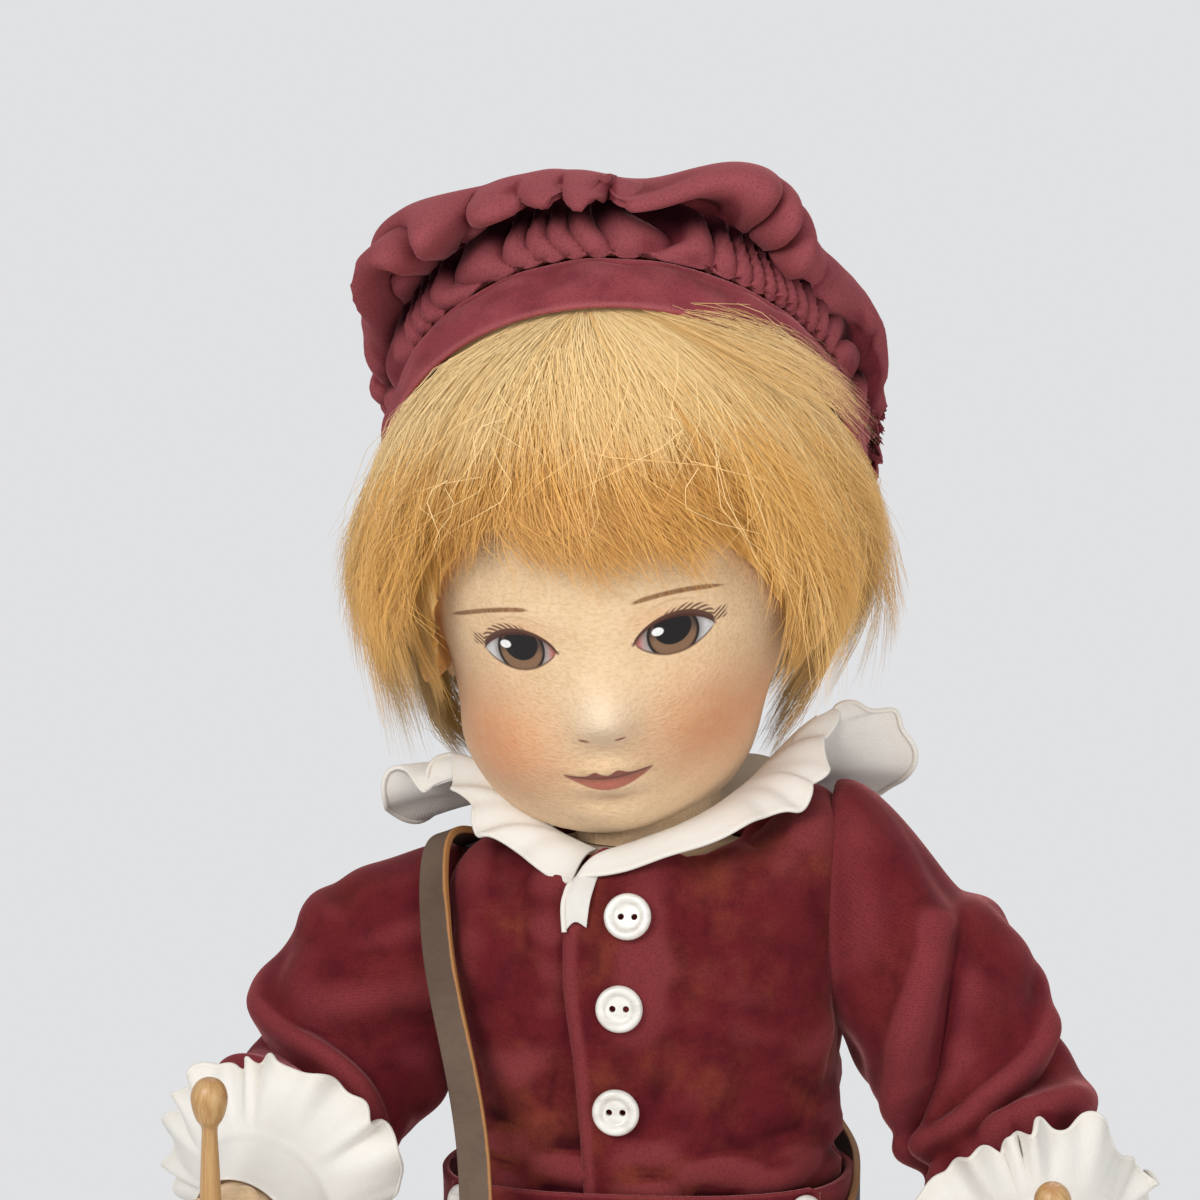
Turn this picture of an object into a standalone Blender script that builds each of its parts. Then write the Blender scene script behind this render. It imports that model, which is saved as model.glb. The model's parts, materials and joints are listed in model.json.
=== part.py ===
"""A jointed felt doll dressed as a drummer boy, as an assembly of separate pieces.

Metres, +Z up. The doll faces -Y, its left is +X, and its soles stand on Z = 0.
Each limb, the head and the drum hang from an empty that sits on their joint's axis.
"""

import math

import bmesh
import bpy
from mathutils import Matrix, Vector

# Clearances and cloth
SEAT_GAP = 0.0003
LAYER_GAP = 0.0007
LINING_GAP = 0.0019
VELVET = 0.0014
COTTON = 0.0009
WELD = 0.00001

# Standing heights
SET_BACK = 0.0073
SET_ASIDE = -0.0031
HIP_HEIGHT = 0.190
HIP_TO_WAIST = 0.038
WAIST_TO_SHOULDER = 0.054
SHOULDER_SLOPE = 0.0075
SHOULDER_TO_NECK = 0.0105
CROTCH_DROP = 0.027

# Stuffed body
HIP_HALF_WIDTH = 0.0365
HIP_HALF_DEPTH = 0.0295
WAIST_HALF_WIDTH = 0.0350
WAIST_HALF_DEPTH = 0.0285
CHEST_HALF_WIDTH = 0.0385
CHEST_HALF_DEPTH = 0.0295
PELVIS_HALF_WIDTH = 0.009
NECK_RADIUS = 0.0150

# Disc joints
DISC_RADIUS = 0.0098
DISC_THICKNESS = 0.0020
DISC_DEPTH = 0.0022
PIN_RADIUS = 0.0014
PIN_HEAD_RADIUS = 0.0032
PIN_HEAD_THICKNESS = 0.0009

# Head, in its own frame with the face towards -Y
HEAD_HALF_WIDTH = 0.0405
HEAD_HALF_DEPTH = 0.0440
HEAD_HALF_HEIGHT = 0.0500
HEAD_RISE = 0.0504
HEAD_FORWARD = 0.0050
HEAD_ASIDE = -0.0045
HEAD_NOD = 15.0
HEAD_LEAN = 5.0
HEAD_TURN = 0.0
JAW_TAPER = 0.12
HEAD_UNDERSIDE = 0.0425
NECK_RECESS = 0.0045
NOSE_LENGTH = 0.0080
EAR_HALF_HEIGHT = 0.0095
EAR_THICKNESS = 0.0026

# Wig and cap
HAIR_TOP = 0.0115
HAIR_SIDE = 0.0125
FRINGE_ANGLE = 66.0
SIDE_HAIR_ANGLE = 119.0
CAP_BACK_TILT = 58.0
BAND_OFFSET = 0.0265
BAND_WIDTH = 0.0140
BAND_TAPER = 0.0015
CROWN_SEAM = 0.0016
CROWN_FLARE = 0.0065
CROWN_FRONT_FLARE = 0.0030
CROWN_RISE = 0.0290
CROWN_SCALLOPS = 11
CROWN_SCALLOP_DEPTH = 0.0016

# Arms, in a frame on the shoulder joint with +X outwards
ARM_ROOT = 0.0125
ARM_RADIUS = 0.0160
FOREARM_RADIUS = 0.0130
WRIST_RADIUS = 0.0095
UPPER_ARM = 0.042
FOREARM = 0.036
ELBOW_ROUND = 0.016
LEFT_ARM_SPLAY = 28.0
RIGHT_ARM_SPLAY = 21.0
ELBOW_BEND = 50.0
RIGHT_ARM_SWING = 14.0
LEFT_ARM_SWING = -6.0
SLEEVE_EASE = 0.0036
SLEEVE_FOLD = 0.0011
SLEEVE_SHORT = 0.0113
ARMHOLE_RADIUS = 0.0186
CUFF_LENGTH = 0.0100
CUFF_FLARE = 0.0125
CUFF_TURN_BACK = 0.0085
CUFF_WAVES = 7
CUFF_WAVE_DEPTH = 0.0016

# Hands and sticks
PALM_LENGTH = 0.0150
FINGER_RADIUS = 0.0031
STICK_RADIUS = 0.0025
STICK_LENGTH = 0.108
STICK_ABOVE_GRIP = 0.041
BEAD_RADIUS = 0.0036
BEAD_LENGTH = 0.0105
STICK_LEAN = 30.0

# Legs, in a frame on the hip joint with +X outwards
LEG_CENTRE = 0.0185
THIGH_HALF_WIDTH = 0.0140
THIGH_HALF_DEPTH = 0.0205
ANKLE_HALF_WIDTH = 0.0085
LEG_SEAT_RADIUS = 0.0125
ANKLE_HEIGHT = 0.017
TROUSER_EASE = 0.0012
TROUSER_HEM_EASE = 0.0065
HEM_HEIGHT = 0.034
WAISTBAND_RISE = 0.005
HIP_SOCKET_GAP = 0.0012
SWING_ROOM = 0.0075

# Shoes
SOLE_THICKNESS = 0.0030
LEATHER = 0.0013
FOOT_HALF_WIDTH = 0.0105
FOOT_HALF_LENGTH = 0.0285
FOOT_HALF_HEIGHT = 0.0095
FOOT_FORWARD = 0.0100
WELT = 0.0014
FOOT_GAP = 0.0015

# Collar and buttons
COLLAR_WAVES = 8
COLLAR_LIFT = 0.0054
COLLAR_WAVE = 0.0038
COLLAR_DROP = 0.15
COLLAR_FRONT_DROP = 0.062
COLLAR_OPENING = 5.0
BUTTON_RADIUS = 0.0047
BUTTON_THICKNESS = 0.0020
BUTTON_HOLE_RADIUS = 0.00055
BUTTON_HOLE_SPACING = 0.0022
BUTTON_SHARES = (0.960, 0.695, 0.365)
OVERLAP_WIDTH = 0.0085
JACKET_TUCK = 0.006
WAIST_BUTTON_TURN = 52.0

# Drum and its strap
DRUM_RADIUS = 0.0225
DRUM_WALL = 0.0016
DRUM_HEIGHT = 0.034
DRUM_BELOW_WAIST = 0.015
DRUM_ASIDE = 0.007
DRUM_STANDOFF = 0.0020
HOOP_THICKNESS = 0.0022
HOOP_HEIGHT = 0.0060
HOOP_RISE = 0.0018
SKIN_THICKNESS = 0.0008
LACING_RADIUS = 0.0008
LACING_TURNS = 8
RING_RADIUS = 0.0050
RING_WIRE = 0.0008
STRAP_WIDTH = 0.0064
STRAP_THICKNESS = 0.0016
STRAP_TAIL = 0.004

# Heights and places that follow
WAIST_HEIGHT = HIP_HEIGHT + HIP_TO_WAIST
SHOULDER_HEIGHT = WAIST_HEIGHT + WAIST_TO_SHOULDER
SHOULDER_LINE = SHOULDER_HEIGHT + SHOULDER_SLOPE
NECK_HEIGHT = SHOULDER_LINE + SHOULDER_TO_NECK
CHEST_HEIGHT = SHOULDER_LINE - WAIST_HEIGHT
DRUM_TOP = WAIST_HEIGHT - DRUM_BELOW_WAIST
JACKET_OUT = LAYER_GAP + VELVET
OVERLAP_OUT = JACKET_OUT + LAYER_GAP + VELVET
TROUSER_OUT = OVERLAP_OUT + LAYER_GAP + VELVET
HEAD_HEIGHT = NECK_HEIGHT + HEAD_RISE
HOOP_RADIUS = DRUM_RADIUS + SEAT_GAP + HOOP_THICKNESS
DRUM_FORWARD = HIP_HALF_DEPTH + TROUSER_OUT + DRUM_STANDOFF + HOOP_RADIUS
RING_OUT = HOOP_RADIUS + SEAT_GAP + RING_WIRE + RING_RADIUS
RING_HEIGHT = DRUM_TOP - HOOP_HEIGHT / 2
LEG_LENGTH = HIP_HEIGHT - ANKLE_HEIGHT

FELT_SKIN = ("felt_skin", (0.80, 0.56, 0.36), 0.95, 0.0)
FELT_BODY = ("felt_body", (0.78, 0.60, 0.42), 0.95, 0.0)
MOHAIR = ("mohair", (0.66, 0.40, 0.13), 0.60, 0.0)
VELVET_RED = ("velvet", (0.21, 0.028, 0.045), 0.85, 0.0)
COTTON_WHITE = ("cotton", (0.86, 0.84, 0.79), 0.90, 0.0)
PEARL = ("pearl", (0.88, 0.87, 0.82), 0.25, 0.0)
STRAP_LEATHER = ("strap_leather", (0.14, 0.085, 0.05), 0.55, 0.0)
SHOE_LEATHER = ("shoe_leather", (0.10, 0.055, 0.035), 0.45, 0.0)
BEECH = ("beech", (0.66, 0.40, 0.16), 0.50, 0.0)
HARDBOARD = ("hardboard", (0.36, 0.23, 0.13), 0.80, 0.0)
STEEL = ("steel", (0.56, 0.56, 0.57), 0.30, 1.0)
BRASS = ("brass", (0.72, 0.53, 0.24), 0.35, 1.0)
DRUM_PAINT = ("drum_paint", (0.16, 0.03, 0.035), 0.40, 0.0)
DRUM_SKIN = ("drum_skin", (0.80, 0.72, 0.56), 0.60, 0.0)
LACE_CORD = ("lace_cord", (0.74, 0.68, 0.55), 0.85, 0.0)


# Curves and forms

def smooth_step(low, high, value):
    """0 below low, 1 above high, and an S curve between them."""
    share = min(1.0, max(0.0, (value - low) / (high - low)))
    return share * share * (3.0 - 2.0 * share)


def through(values, share):
    """Smooth curve through evenly spaced values, read at a share from 0 to 1."""
    last = len(values) - 1
    place = min(max(share, 0.0), 1.0) * last
    index = min(int(place), last - 1)
    part = place - index
    before = values[max(index - 1, 0)]
    start = values[index]
    end = values[index + 1]
    after = values[min(index + 2, last)]
    rise_start = (end - before) / 2.0
    rise_end = (after - start) / 2.0
    square = part * part
    cube = square * part
    held = (2.0 * cube - 3.0 * square + 1.0) * start + (3.0 * square - 2.0 * cube) * end
    return held + (cube - 2.0 * square + part) * rise_start + (cube - square) * rise_end


def hill(distance, width):
    """A bell curve of height 1."""
    return math.exp(-(distance / width) ** 2)


def lifted(surface, u, v, distance):
    """The point a distance out of surface(u, v) along its normal."""
    step = 0.002
    here = surface(u, v)
    across = surface(u + step, v) - surface(u - step, v)
    up = surface(u, min(v + step, 1.0)) - surface(u, max(v - step, 0.0))
    normal = across.cross(up)
    return here + normal.normalized() * distance


# Meshes, modifiers and placing

def clear_scene():
    """Removes what the scene starts with."""
    for thing in list(bpy.data.objects):
        bpy.data.objects.remove(thing)


def collection(name):
    """A new collection in the scene."""
    made = bpy.data.collections.new(name)
    bpy.context.scene.collection.children.link(made)
    return made


def material(finish):
    """The material of a finish, made once."""
    name, colour, roughness, metallic = finish
    found = bpy.data.materials.get(name)
    if found is None:
        found = bpy.data.materials.new(name)
        found.use_nodes = True
        shader = found.node_tree.nodes["Principled BSDF"]
        shader.inputs["Base Color"].default_value = (*colour, 1.0)
        shader.inputs["Roughness"].default_value = roughness
        shader.inputs["Metallic"].default_value = metallic
    return found


def add_object(name, shape, finish, parent, smooth=True):
    """A named piece from a bmesh, under its parent empty."""
    mesh = bpy.data.meshes.new(name)
    shape.to_mesh(mesh)
    shape.free()
    if smooth:
        mesh.shade_smooth()
    piece = bpy.data.objects.new(name, mesh)
    PIECES.objects.link(piece)
    piece.data.materials.append(material(finish))
    piece.parent = parent
    return piece


def as_cutter(piece):
    """Marks an object as a cutter."""
    PIECES.objects.unlink(piece)
    CUTTERS.objects.link(piece)
    piece.hide_render = True
    piece.display_type = "WIRE"
    return piece


def cut(piece, cutter, operation="DIFFERENCE"):
    """Cuts a piece with another object."""
    boolean = piece.modifiers.new(cutter.name, "BOOLEAN")
    boolean.object = cutter
    boolean.operation = operation
    boolean.solver = "EXACT"
    return piece


def thicken(piece, thickness):
    """Gives an open surface its thickness, outwards."""
    solid = piece.modifiers.new("thickness", "SOLIDIFY")
    solid.thickness = thickness
    solid.offset = 1.0
    solid.use_quality_normals = True
    return piece


def grid(point, across, along, side=1):
    """A grid bent to point(u, v), with its seams merged. side -1 mirrors it in X."""
    shape = bmesh.new()
    bmesh.ops.create_grid(shape, x_segments=across, y_segments=along, size=1.0)
    for vert in shape.verts:
        bent = point((vert.co.x + 1.0) / 2.0, (vert.co.y + 1.0) / 2.0)
        vert.co = (side * bent.x, bent.y, bent.z)
    bmesh.ops.remove_doubles(shape, verts=shape.verts, dist=WELD)
    if side < 0:
        bmesh.ops.reverse_faces(shape, faces=shape.faces)
    return shape


def close_ends(shape):
    """Fills the open ends of a surface and turns its faces outwards."""
    rims = [edge for edge in shape.edges if edge.is_boundary]
    if rims:
        bmesh.ops.holes_fill(shape, edges=rims, sides=0)
    bmesh.ops.recalc_face_normals(shape, faces=shape.faces)
    return shape


def joined(base, other):
    """base with the bmesh other added to it."""
    mesh = bpy.data.meshes.new("joining")
    other.to_mesh(mesh)
    other.free()
    base.from_mesh(mesh)
    bpy.data.meshes.remove(mesh)
    return base


def turned(name, profile, finish, parent, steps=24, ring=False):
    """A shape turned round its own Z axis. The profile of (radius, height) runs down the outside."""
    shape = bmesh.new()
    points = [shape.verts.new((radius, 0.0, height)) for radius, height in profile]
    for first, second in zip(points, points[1:]):
        shape.edges.new((first, second))
    if ring:
        shape.edges.new((points[-1], points[0]))
    piece = add_object(name, shape, finish, parent)
    screw = piece.modifiers.new("turning", "SCREW")
    screw.steps = steps
    screw.render_steps = steps
    screw.use_merge_vertices = True
    screw.merge_threshold = WELD
    screw.use_smooth_shade = True
    return piece


def empty(name, parent, place, turns=(0.0, 0.0, 0.0)):
    """An empty on a joint's axis. turns are degrees about X, Y and Z."""
    made = bpy.data.objects.new(name, None)
    made.empty_display_size = 0.01
    PIECES.objects.link(made)
    made.parent = parent
    made.location = place
    made.rotation_euler = [math.radians(turn) for turn in turns]
    return made


def aim(piece, place, direction):
    """Puts a piece at a place with its Z axis along a direction."""
    piece.location = place
    piece.rotation_mode = "QUATERNION"
    piece.rotation_quaternion = Vector(direction).to_track_quat("Z", "Y")
    return piece


def rod(name, place, direction, radius, length, parent, steps=24):
    """A cutter: a cylinder from a place along a direction."""
    profile = [(0.0, length), (radius, length), (radius, 0.0), (0.0, 0.0)]
    return as_cutter(aim(turned(name, profile, HARDBOARD, parent, steps), place, direction))


# Disc joints

def disc(name, parent, place, direction):
    """A hardboard disc with a hole for the pin. It starts at the place and runs along the direction."""
    hole = PIN_RADIUS + SEAT_GAP
    profile = [(hole, DISC_THICKNESS), (DISC_RADIUS, DISC_THICKNESS), (DISC_RADIUS, 0.0), (hole, 0.0)]
    return aim(turned(name, profile, HARDBOARD, parent, steps=8, ring=True), place, direction)


def joint_reach(wall):
    """How far a pin's shank reaches on one side of the seam."""
    return wall + DISC_DEPTH + DISC_THICKNESS + 2.0 * SEAT_GAP


def joint_pin(name, parent, seam, direction, gap):
    """A headed pin through both discs of a joint. seam is on the body's side of a gap."""
    down = joint_reach(0.0)
    up = gap + joint_reach(0.0)
    top = up + PIN_HEAD_THICKNESS
    foot = -down - PIN_HEAD_THICKNESS
    profile = [(0.0, top), (PIN_HEAD_RADIUS, top), (PIN_HEAD_RADIUS, up), (PIN_RADIUS, up)]
    profile += [(PIN_RADIUS, -down), (PIN_HEAD_RADIUS, -down), (PIN_HEAD_RADIUS, foot), (0.0, foot)]
    return aim(turned(name, profile, STEEL, parent, steps=6), seam, direction)


def joint_pocket(name, parent, seam, direction, mouth=None, steps=12):
    """A cutter for one side of a joint: room for the disc, the pin's head and its shank.

    mouth lists the (radius, depth) steps by which it opens, outside the seam.
    """
    room = 2.0 * SEAT_GAP
    near = DISC_DEPTH - SEAT_GAP
    far = DISC_DEPTH + DISC_THICKNESS + SEAT_GAP
    deep = far + PIN_HEAD_THICKNESS + 3.0 * SEAT_GAP
    wide = DISC_RADIUS + 2.0 * SEAT_GAP
    shank = PIN_RADIUS + room
    profile = [(0.0, deep), (PIN_HEAD_RADIUS + room, deep), (PIN_HEAD_RADIUS + room, far), (wide, far)]
    profile += [(wide, near), (shank, near)]
    profile += mouth if mouth else [(shank, -0.004)]
    profile += [(0.0, profile[-1][1])]
    return as_cutter(aim(turned(name, profile, HARDBOARD, parent, steps), seam, direction))


# Torso and what it wears

def torso_stations():
    """Rows of height, half width, half depth and squareness, from the crotch to the neck."""
    crotch = HIP_HEIGHT - CROTCH_DROP
    line = SHOULDER_LINE
    return (
        (crotch, 0.30 * HIP_HALF_WIDTH, 0.35 * HIP_HALF_DEPTH, 2.0),
        (crotch + 0.22 * CROTCH_DROP, 0.66 * HIP_HALF_WIDTH, 0.68 * HIP_HALF_DEPTH, 2.1),
        (HIP_HEIGHT - 0.30 * CROTCH_DROP, 0.93 * HIP_HALF_WIDTH, 0.93 * HIP_HALF_DEPTH, 2.3),
        (HIP_HEIGHT + 0.32 * HIP_TO_WAIST, HIP_HALF_WIDTH, HIP_HALF_DEPTH, 2.4),
        (WAIST_HEIGHT, WAIST_HALF_WIDTH, WAIST_HALF_DEPTH, 2.4),
        (line - 0.53 * CHEST_HEIGHT, 0.97 * CHEST_HALF_WIDTH, CHEST_HALF_DEPTH, 2.7),
        (line - 0.20 * CHEST_HEIGHT, CHEST_HALF_WIDTH, 0.98 * CHEST_HALF_DEPTH, 3.2),
        (line + 0.03 * CHEST_HEIGHT, 0.98 * CHEST_HALF_WIDTH, 0.84 * CHEST_HALF_DEPTH, 3.0),
        (NECK_HEIGHT - 0.26 * SHOULDER_TO_NECK, 0.74 * CHEST_HALF_WIDTH, 0.63 * CHEST_HALF_DEPTH, 2.4),
        (NECK_HEIGHT, 1.20 * NECK_RADIUS, 1.07 * NECK_RADIUS, 2.0),
    )


def torso_skin(u, v):
    """Point on the stuffed body. u goes round from the front towards its left, v from crotch to neck."""
    rows = torso_stations()
    height, wide, deep, square = (through([row[i] for row in rows], v) for i in range(4))
    angle = 2.0 * math.pi * u
    sine = math.sin(angle)
    cosine = math.cos(angle)
    x = wide * math.copysign(abs(sine) ** (2.0 / square), sine)
    y = -deep * math.copysign(abs(cosine) ** (2.0 / square), cosine)
    return Vector((x, y, height))


def torso_share(height):
    """The share v at which the stuffed body has a height."""
    low, high = 0.0, 1.0
    heights = [row[0] for row in torso_stations()]
    for _ in range(30):
        middle = (low + high) / 2.0
        if through(heights, middle) < height:
            low = middle
        else:
            high = middle
    return low


def leg_room(name, parent, side, gap):
    """A cutter beside the pelvis, below the hips, where the thigh swings."""
    shape = bmesh.new()
    bmesh.ops.create_cube(shape, size=1.0)
    room = as_cutter(add_object(name, shape, HARDBOARD, parent, smooth=False))
    tall = CROTCH_DROP + SWING_ROOM + 0.02
    room.scale = (0.06, 0.12, tall)
    room.location = (side * (PELVIS_HALF_WIDTH + gap + 0.03), 0.0, HIP_HEIGHT + SWING_ROOM - tall / 2.0)
    return room


def build_torso(parent):
    """The stuffed felt body, with pockets for five disc joints and a socket for each hip."""
    piece = add_object("torso", close_ends(grid(torso_skin, 20, 11)), FELT_BODY, parent)
    for side, word in ((1, "left"), (-1, "right")):
        hip = (side * PELVIS_HALF_WIDTH, 0.0, HIP_HEIGHT)
        radius = THIGH_HALF_DEPTH + TROUSER_EASE + VELVET + HIP_SOCKET_GAP
        mouth = [(PIN_RADIUS + 2.0 * SEAT_GAP, 0.0), (radius, 0.0), (radius, -0.06)]
        cut(piece, joint_pocket(f"{word}_hip_pocket", parent, hip, (-side, 0, 0), mouth, 20))
        cut(piece, leg_room(f"{word}_thigh_room", parent, side, LAYER_GAP))
        shoulder = (side * CHEST_HALF_WIDTH, 0.0, SHOULDER_HEIGHT)
        cut(piece, joint_pocket(f"{word}_shoulder_pocket", parent, shoulder, (-side, 0, 0)))
    cut(piece, joint_pocket("neck_pocket", parent, (0, 0, NECK_HEIGHT), (0, 0, -1)))
    return piece


def build_body_joints(parent):
    """The discs on the body's side, and the five pins."""
    for side, word in ((1, "left"), (-1, "right")):
        inwards = Vector((-side, 0, 0))
        for name, out, height in (
            ("shoulder", CHEST_HALF_WIDTH, SHOULDER_HEIGHT),
            ("hip", PELVIS_HALF_WIDTH, HIP_HEIGHT),
        ):
            seam = Vector((side * out, 0, height))
            disc(f"{word}_{name}_body_disc", parent, seam + inwards * DISC_DEPTH, inwards)
            joint_pin(f"{word}_{name}_pin", parent, seam, -inwards, SEAT_GAP)
    neck = Vector((0, 0, NECK_HEIGHT))
    disc("neck_body_disc", parent, neck - Vector((0, 0, DISC_DEPTH)), (0, 0, -1))
    joint_pin("neck_pin", parent, neck, (0, 0, 1), SEAT_GAP)


def panel_skin(from_turn, to_turn, low, high, offset):
    """A part of the body's surface, lifted by offset(turn). Turns are degrees from the front."""
    def point(u, v):
        turn = from_turn + (to_turn - from_turn) * u
        share = low + (high(turn) - low) * v
        return lifted(torso_skin, turn / 360.0, share, offset(turn))
    return point


def neckline(turn):
    """How far up the body the jacket reaches, lower at the front."""
    front = math.cos(math.radians(turn))
    return 0.968 - 0.040 * max(0.0, front) ** 2


def turn_at(width):
    """Turn from the front, in degrees, at a width from the middle of the chest."""
    return math.degrees(math.asin(width / CHEST_HALF_DEPTH)) * 0.55


def build_jacket(parent):
    """Back and two fronts, the left front lapping over the right, with an armhole cut at each side."""
    low = torso_share(WAIST_HEIGHT - JACKET_TUCK)
    lap = turn_at(OVERLAP_WIDTH)
    seam = 0.35

    def base(_turn):
        return LAYER_GAP

    def lapped(turn):
        return LAYER_GAP + (OVERLAP_OUT - JACKET_OUT) * (1.0 - smooth_step(lap * 0.6, lap * 2.2, turn))

    panels = (
        ("jacket_back", 90.0 + seam, 270.0 - seam, base, 12),
        ("jacket_right_front", -90.0 + seam, lap * 0.35, base, 7),
        ("jacket_left_front", -lap, 90.0 - seam, lapped, 9),
    )
    holes = [
        rod(f"{word}_armhole", (side * CHEST_HALF_WIDTH, 0, SHOULDER_HEIGHT), (side, 0, 0),
            ARMHOLE_RADIUS, CHEST_HALF_WIDTH, parent)
        for side, word in ((1, "left"), (-1, "right"))
    ]
    for name, start, end, offset, across in panels:
        shape = grid(panel_skin(start, end, low, neckline, offset), across, 8)
        piece = thicken(add_object(name, shape, VELVET_RED, parent), VELVET)
        for hole in holes:
            cut(piece, hole)


def button(name, parent, place, normal):
    """A two-hole shell button with a rounded rim and a sunken middle."""
    r = BUTTON_RADIUS
    t = BUTTON_THICKNESS
    profile = [(0.0, 0.55 * t), (0.55 * r, 0.55 * t), (0.72 * r, t), (0.92 * r, 0.95 * t), (r, 0.5 * t)]
    profile += [(0.80 * r, 0.0), (0.0, 0.0)]
    piece = turned(name, profile, PEARL, parent, steps=12)
    for side in (-1, 1):
        hole = turned(f"{name}_hole", [(0, t), (BUTTON_HOLE_RADIUS, t), (BUTTON_HOLE_RADIUS, -t), (0, -t)],
                      PEARL, piece, steps=4)
        hole.location = (side * BUTTON_HOLE_SPACING / 2.0, 0.0, 0.0)
        cut(piece, as_cutter(hole))
    return aim(piece, place, normal)


def on_body(turn, height, out):
    """Point and normal a distance outside the body."""
    share = torso_share(height)
    place = lifted(torso_skin, turn / 360.0, share, out)
    further = lifted(torso_skin, turn / 360.0, share, out + 0.001)
    return place, (further - place).normalized()


def build_buttons(parent):
    """Three buttons down the front and one on each side of the trousers' flap."""
    for number, share in enumerate(BUTTON_SHARES, 1):
        place, normal = on_body(0.0, WAIST_HEIGHT + share * CHEST_HEIGHT, OVERLAP_OUT + SEAT_GAP)
        button(f"jacket_button_{number}", parent, place, normal)
    for side, word in ((1, "left"), (-1, "right")):
        place, normal = on_body(side * WAIST_BUTTON_TURN, WAIST_HEIGHT, TROUSER_OUT + LAYER_GAP)
        button(f"{word}_waist_button", parent, place, normal)


def collar_skin(u, v):
    """The frill: it leaves the neckline and lies over the shoulders in waves."""
    turn = COLLAR_OPENING + (360.0 - 2.0 * COLLAR_OPENING) * u
    angle = math.radians(turn)
    beside = abs(math.sin(angle)) ** 2.5
    wave = 0.5 - 0.5 * math.cos(COLLAR_WAVES * angle)
    lift = COLLAR_LIFT * v * (0.28 + 0.72 * beside) + COLLAR_WAVE * wave * v * v * (0.20 + 1.10 * beside)
    foot = 0.985 - COLLAR_FRONT_DROP * smooth_step(-0.2, 0.8, math.cos(angle))
    share = foot - COLLAR_DROP * v * (1.0 - 0.42 * beside)
    return lifted(torso_skin, turn / 360.0, share, OVERLAP_OUT + LAYER_GAP + lift)


def build_collar(parent):
    """The gathered cotton collar."""
    shape = grid(collar_skin, 40, 3)
    bmesh.ops.reverse_faces(shape, faces=shape.faces)
    return thicken(add_object("collar_frill", shape, COTTON_WHITE, parent), COTTON)


def trouser_top_skin(u, v):
    """Seat of the trousers: from the crotch up to the waistband."""
    high = torso_share(WAIST_HEIGHT + WAISTBAND_RISE)
    return lifted(torso_skin, u, 0.012 + (high - 0.012) * v, TROUSER_OUT - VELVET)


def build_trouser_top(parent):
    """The seat and waistband of the trousers, open where each leg joins the body."""
    shape = grid(trouser_top_skin, 22, 6)
    rims = [edge for edge in shape.edges if edge.is_boundary]
    lowest = min(vert.co.z for vert in shape.verts)
    foot = [edge for edge in rims if edge.verts[0].co.z < lowest + 0.004]
    bmesh.ops.holes_fill(shape, edges=foot, sides=0)
    bmesh.ops.recalc_face_normals(shape, faces=shape.faces)
    piece = thicken(add_object("trouser_top", shape, VELVET_RED, parent), VELVET)
    for side, word in ((1, "left"), (-1, "right")):
        start = (side * (PELVIS_HALF_WIDTH + SEAT_GAP), 0.0, HIP_HEIGHT)
        radius = THIGH_HALF_DEPTH + TROUSER_EASE + VELVET + HIP_SOCKET_GAP
        cut(piece, rod(f"{word}_leg_opening", start, (side, 0, 0), radius, 0.06, parent, 24))
        cut(piece, leg_room(f"{word}_leg_room", parent, side, 2.0 * SEAT_GAP))
    return piece


# Head, wig and cap

def head_skin(direction, grow=0.0):
    """Point on the head along a direction from its centre, with the face towards -Y."""
    x, y, z = direction
    reach = math.sqrt((x / HEAD_HALF_WIDTH) ** 2 + (y / HEAD_HALF_DEPTH) ** 2 + (z / HEAD_HALF_HEIGHT) ** 2)
    place = Vector(direction) / reach
    low = smooth_step(0.05, 1.0, -place.z / HEAD_HALF_HEIGHT)
    place.x *= 1.0 - JAW_TAPER * low
    if place.y > 0.0:
        place.y *= 1.0 - 0.25 * low
    across = place.x / HEAD_HALF_WIDTH
    up = place.z / HEAD_HALF_HEIGHT
    front = smooth_step(0.0, 0.5, -place.y / HEAD_HALF_DEPTH)
    face = NOSE_LENGTH * hill(across, 0.16) * hill(up + 0.19, 0.10 + 0.08 * (up > -0.19))
    face += 0.27 * NOSE_LENGTH * hill(across, 0.30) * hill(up + 0.46, 0.10)
    face += 0.36 * NOSE_LENGTH * hill(across, 0.32) * hill(up + 0.72, 0.13)
    face -= 0.20 * NOSE_LENGTH * hill(abs(across) - 0.38, 0.20) * hill(up - 0.09, 0.13)
    face += 0.25 * NOSE_LENGTH * hill(abs(across) - 0.52, 0.25) * hill(up + 0.33, 0.22)
    place.y -= face * front
    recess = NECK_RECESS * smooth_step(-0.68, -0.43, place.y / HEAD_HALF_DEPTH)
    place.z = max(place.z, recess - HEAD_UNDERSIDE)
    return place + place.normalized() * grow


def polar(polar_angle, azimuth):
    """Direction at an angle from +Z, with azimuth 0 at the face and 90 at the doll's left. Degrees."""
    angle = math.radians(polar_angle)
    turn = math.radians(azimuth)
    return Vector((math.sin(angle) * math.sin(turn), -math.sin(angle) * math.cos(turn), math.cos(angle)))


def hair_depth(direction):
    """Thickness of the hair, fuller at the sides."""
    return HAIR_TOP + (HAIR_SIDE - HAIR_TOP) * direction.normalized().x ** 2


def ear_place(side):
    """Middle of an ear, on the side of the head."""
    return head_skin(Vector((side, 0.10, -0.16)).normalized(), EAR_THICKNESS * 0.6)


def hair_rim(azimuth):
    """Angle from the top at which the hair ends: a fringe at the front, longer at sides and back."""
    aside = smooth_step(38.0, 62.0, abs((azimuth + 180.0) % 360.0 - 180.0))
    return FRINGE_ANGLE + (SIDE_HAIR_ANGLE - FRINGE_ANGLE) * aside


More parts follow.
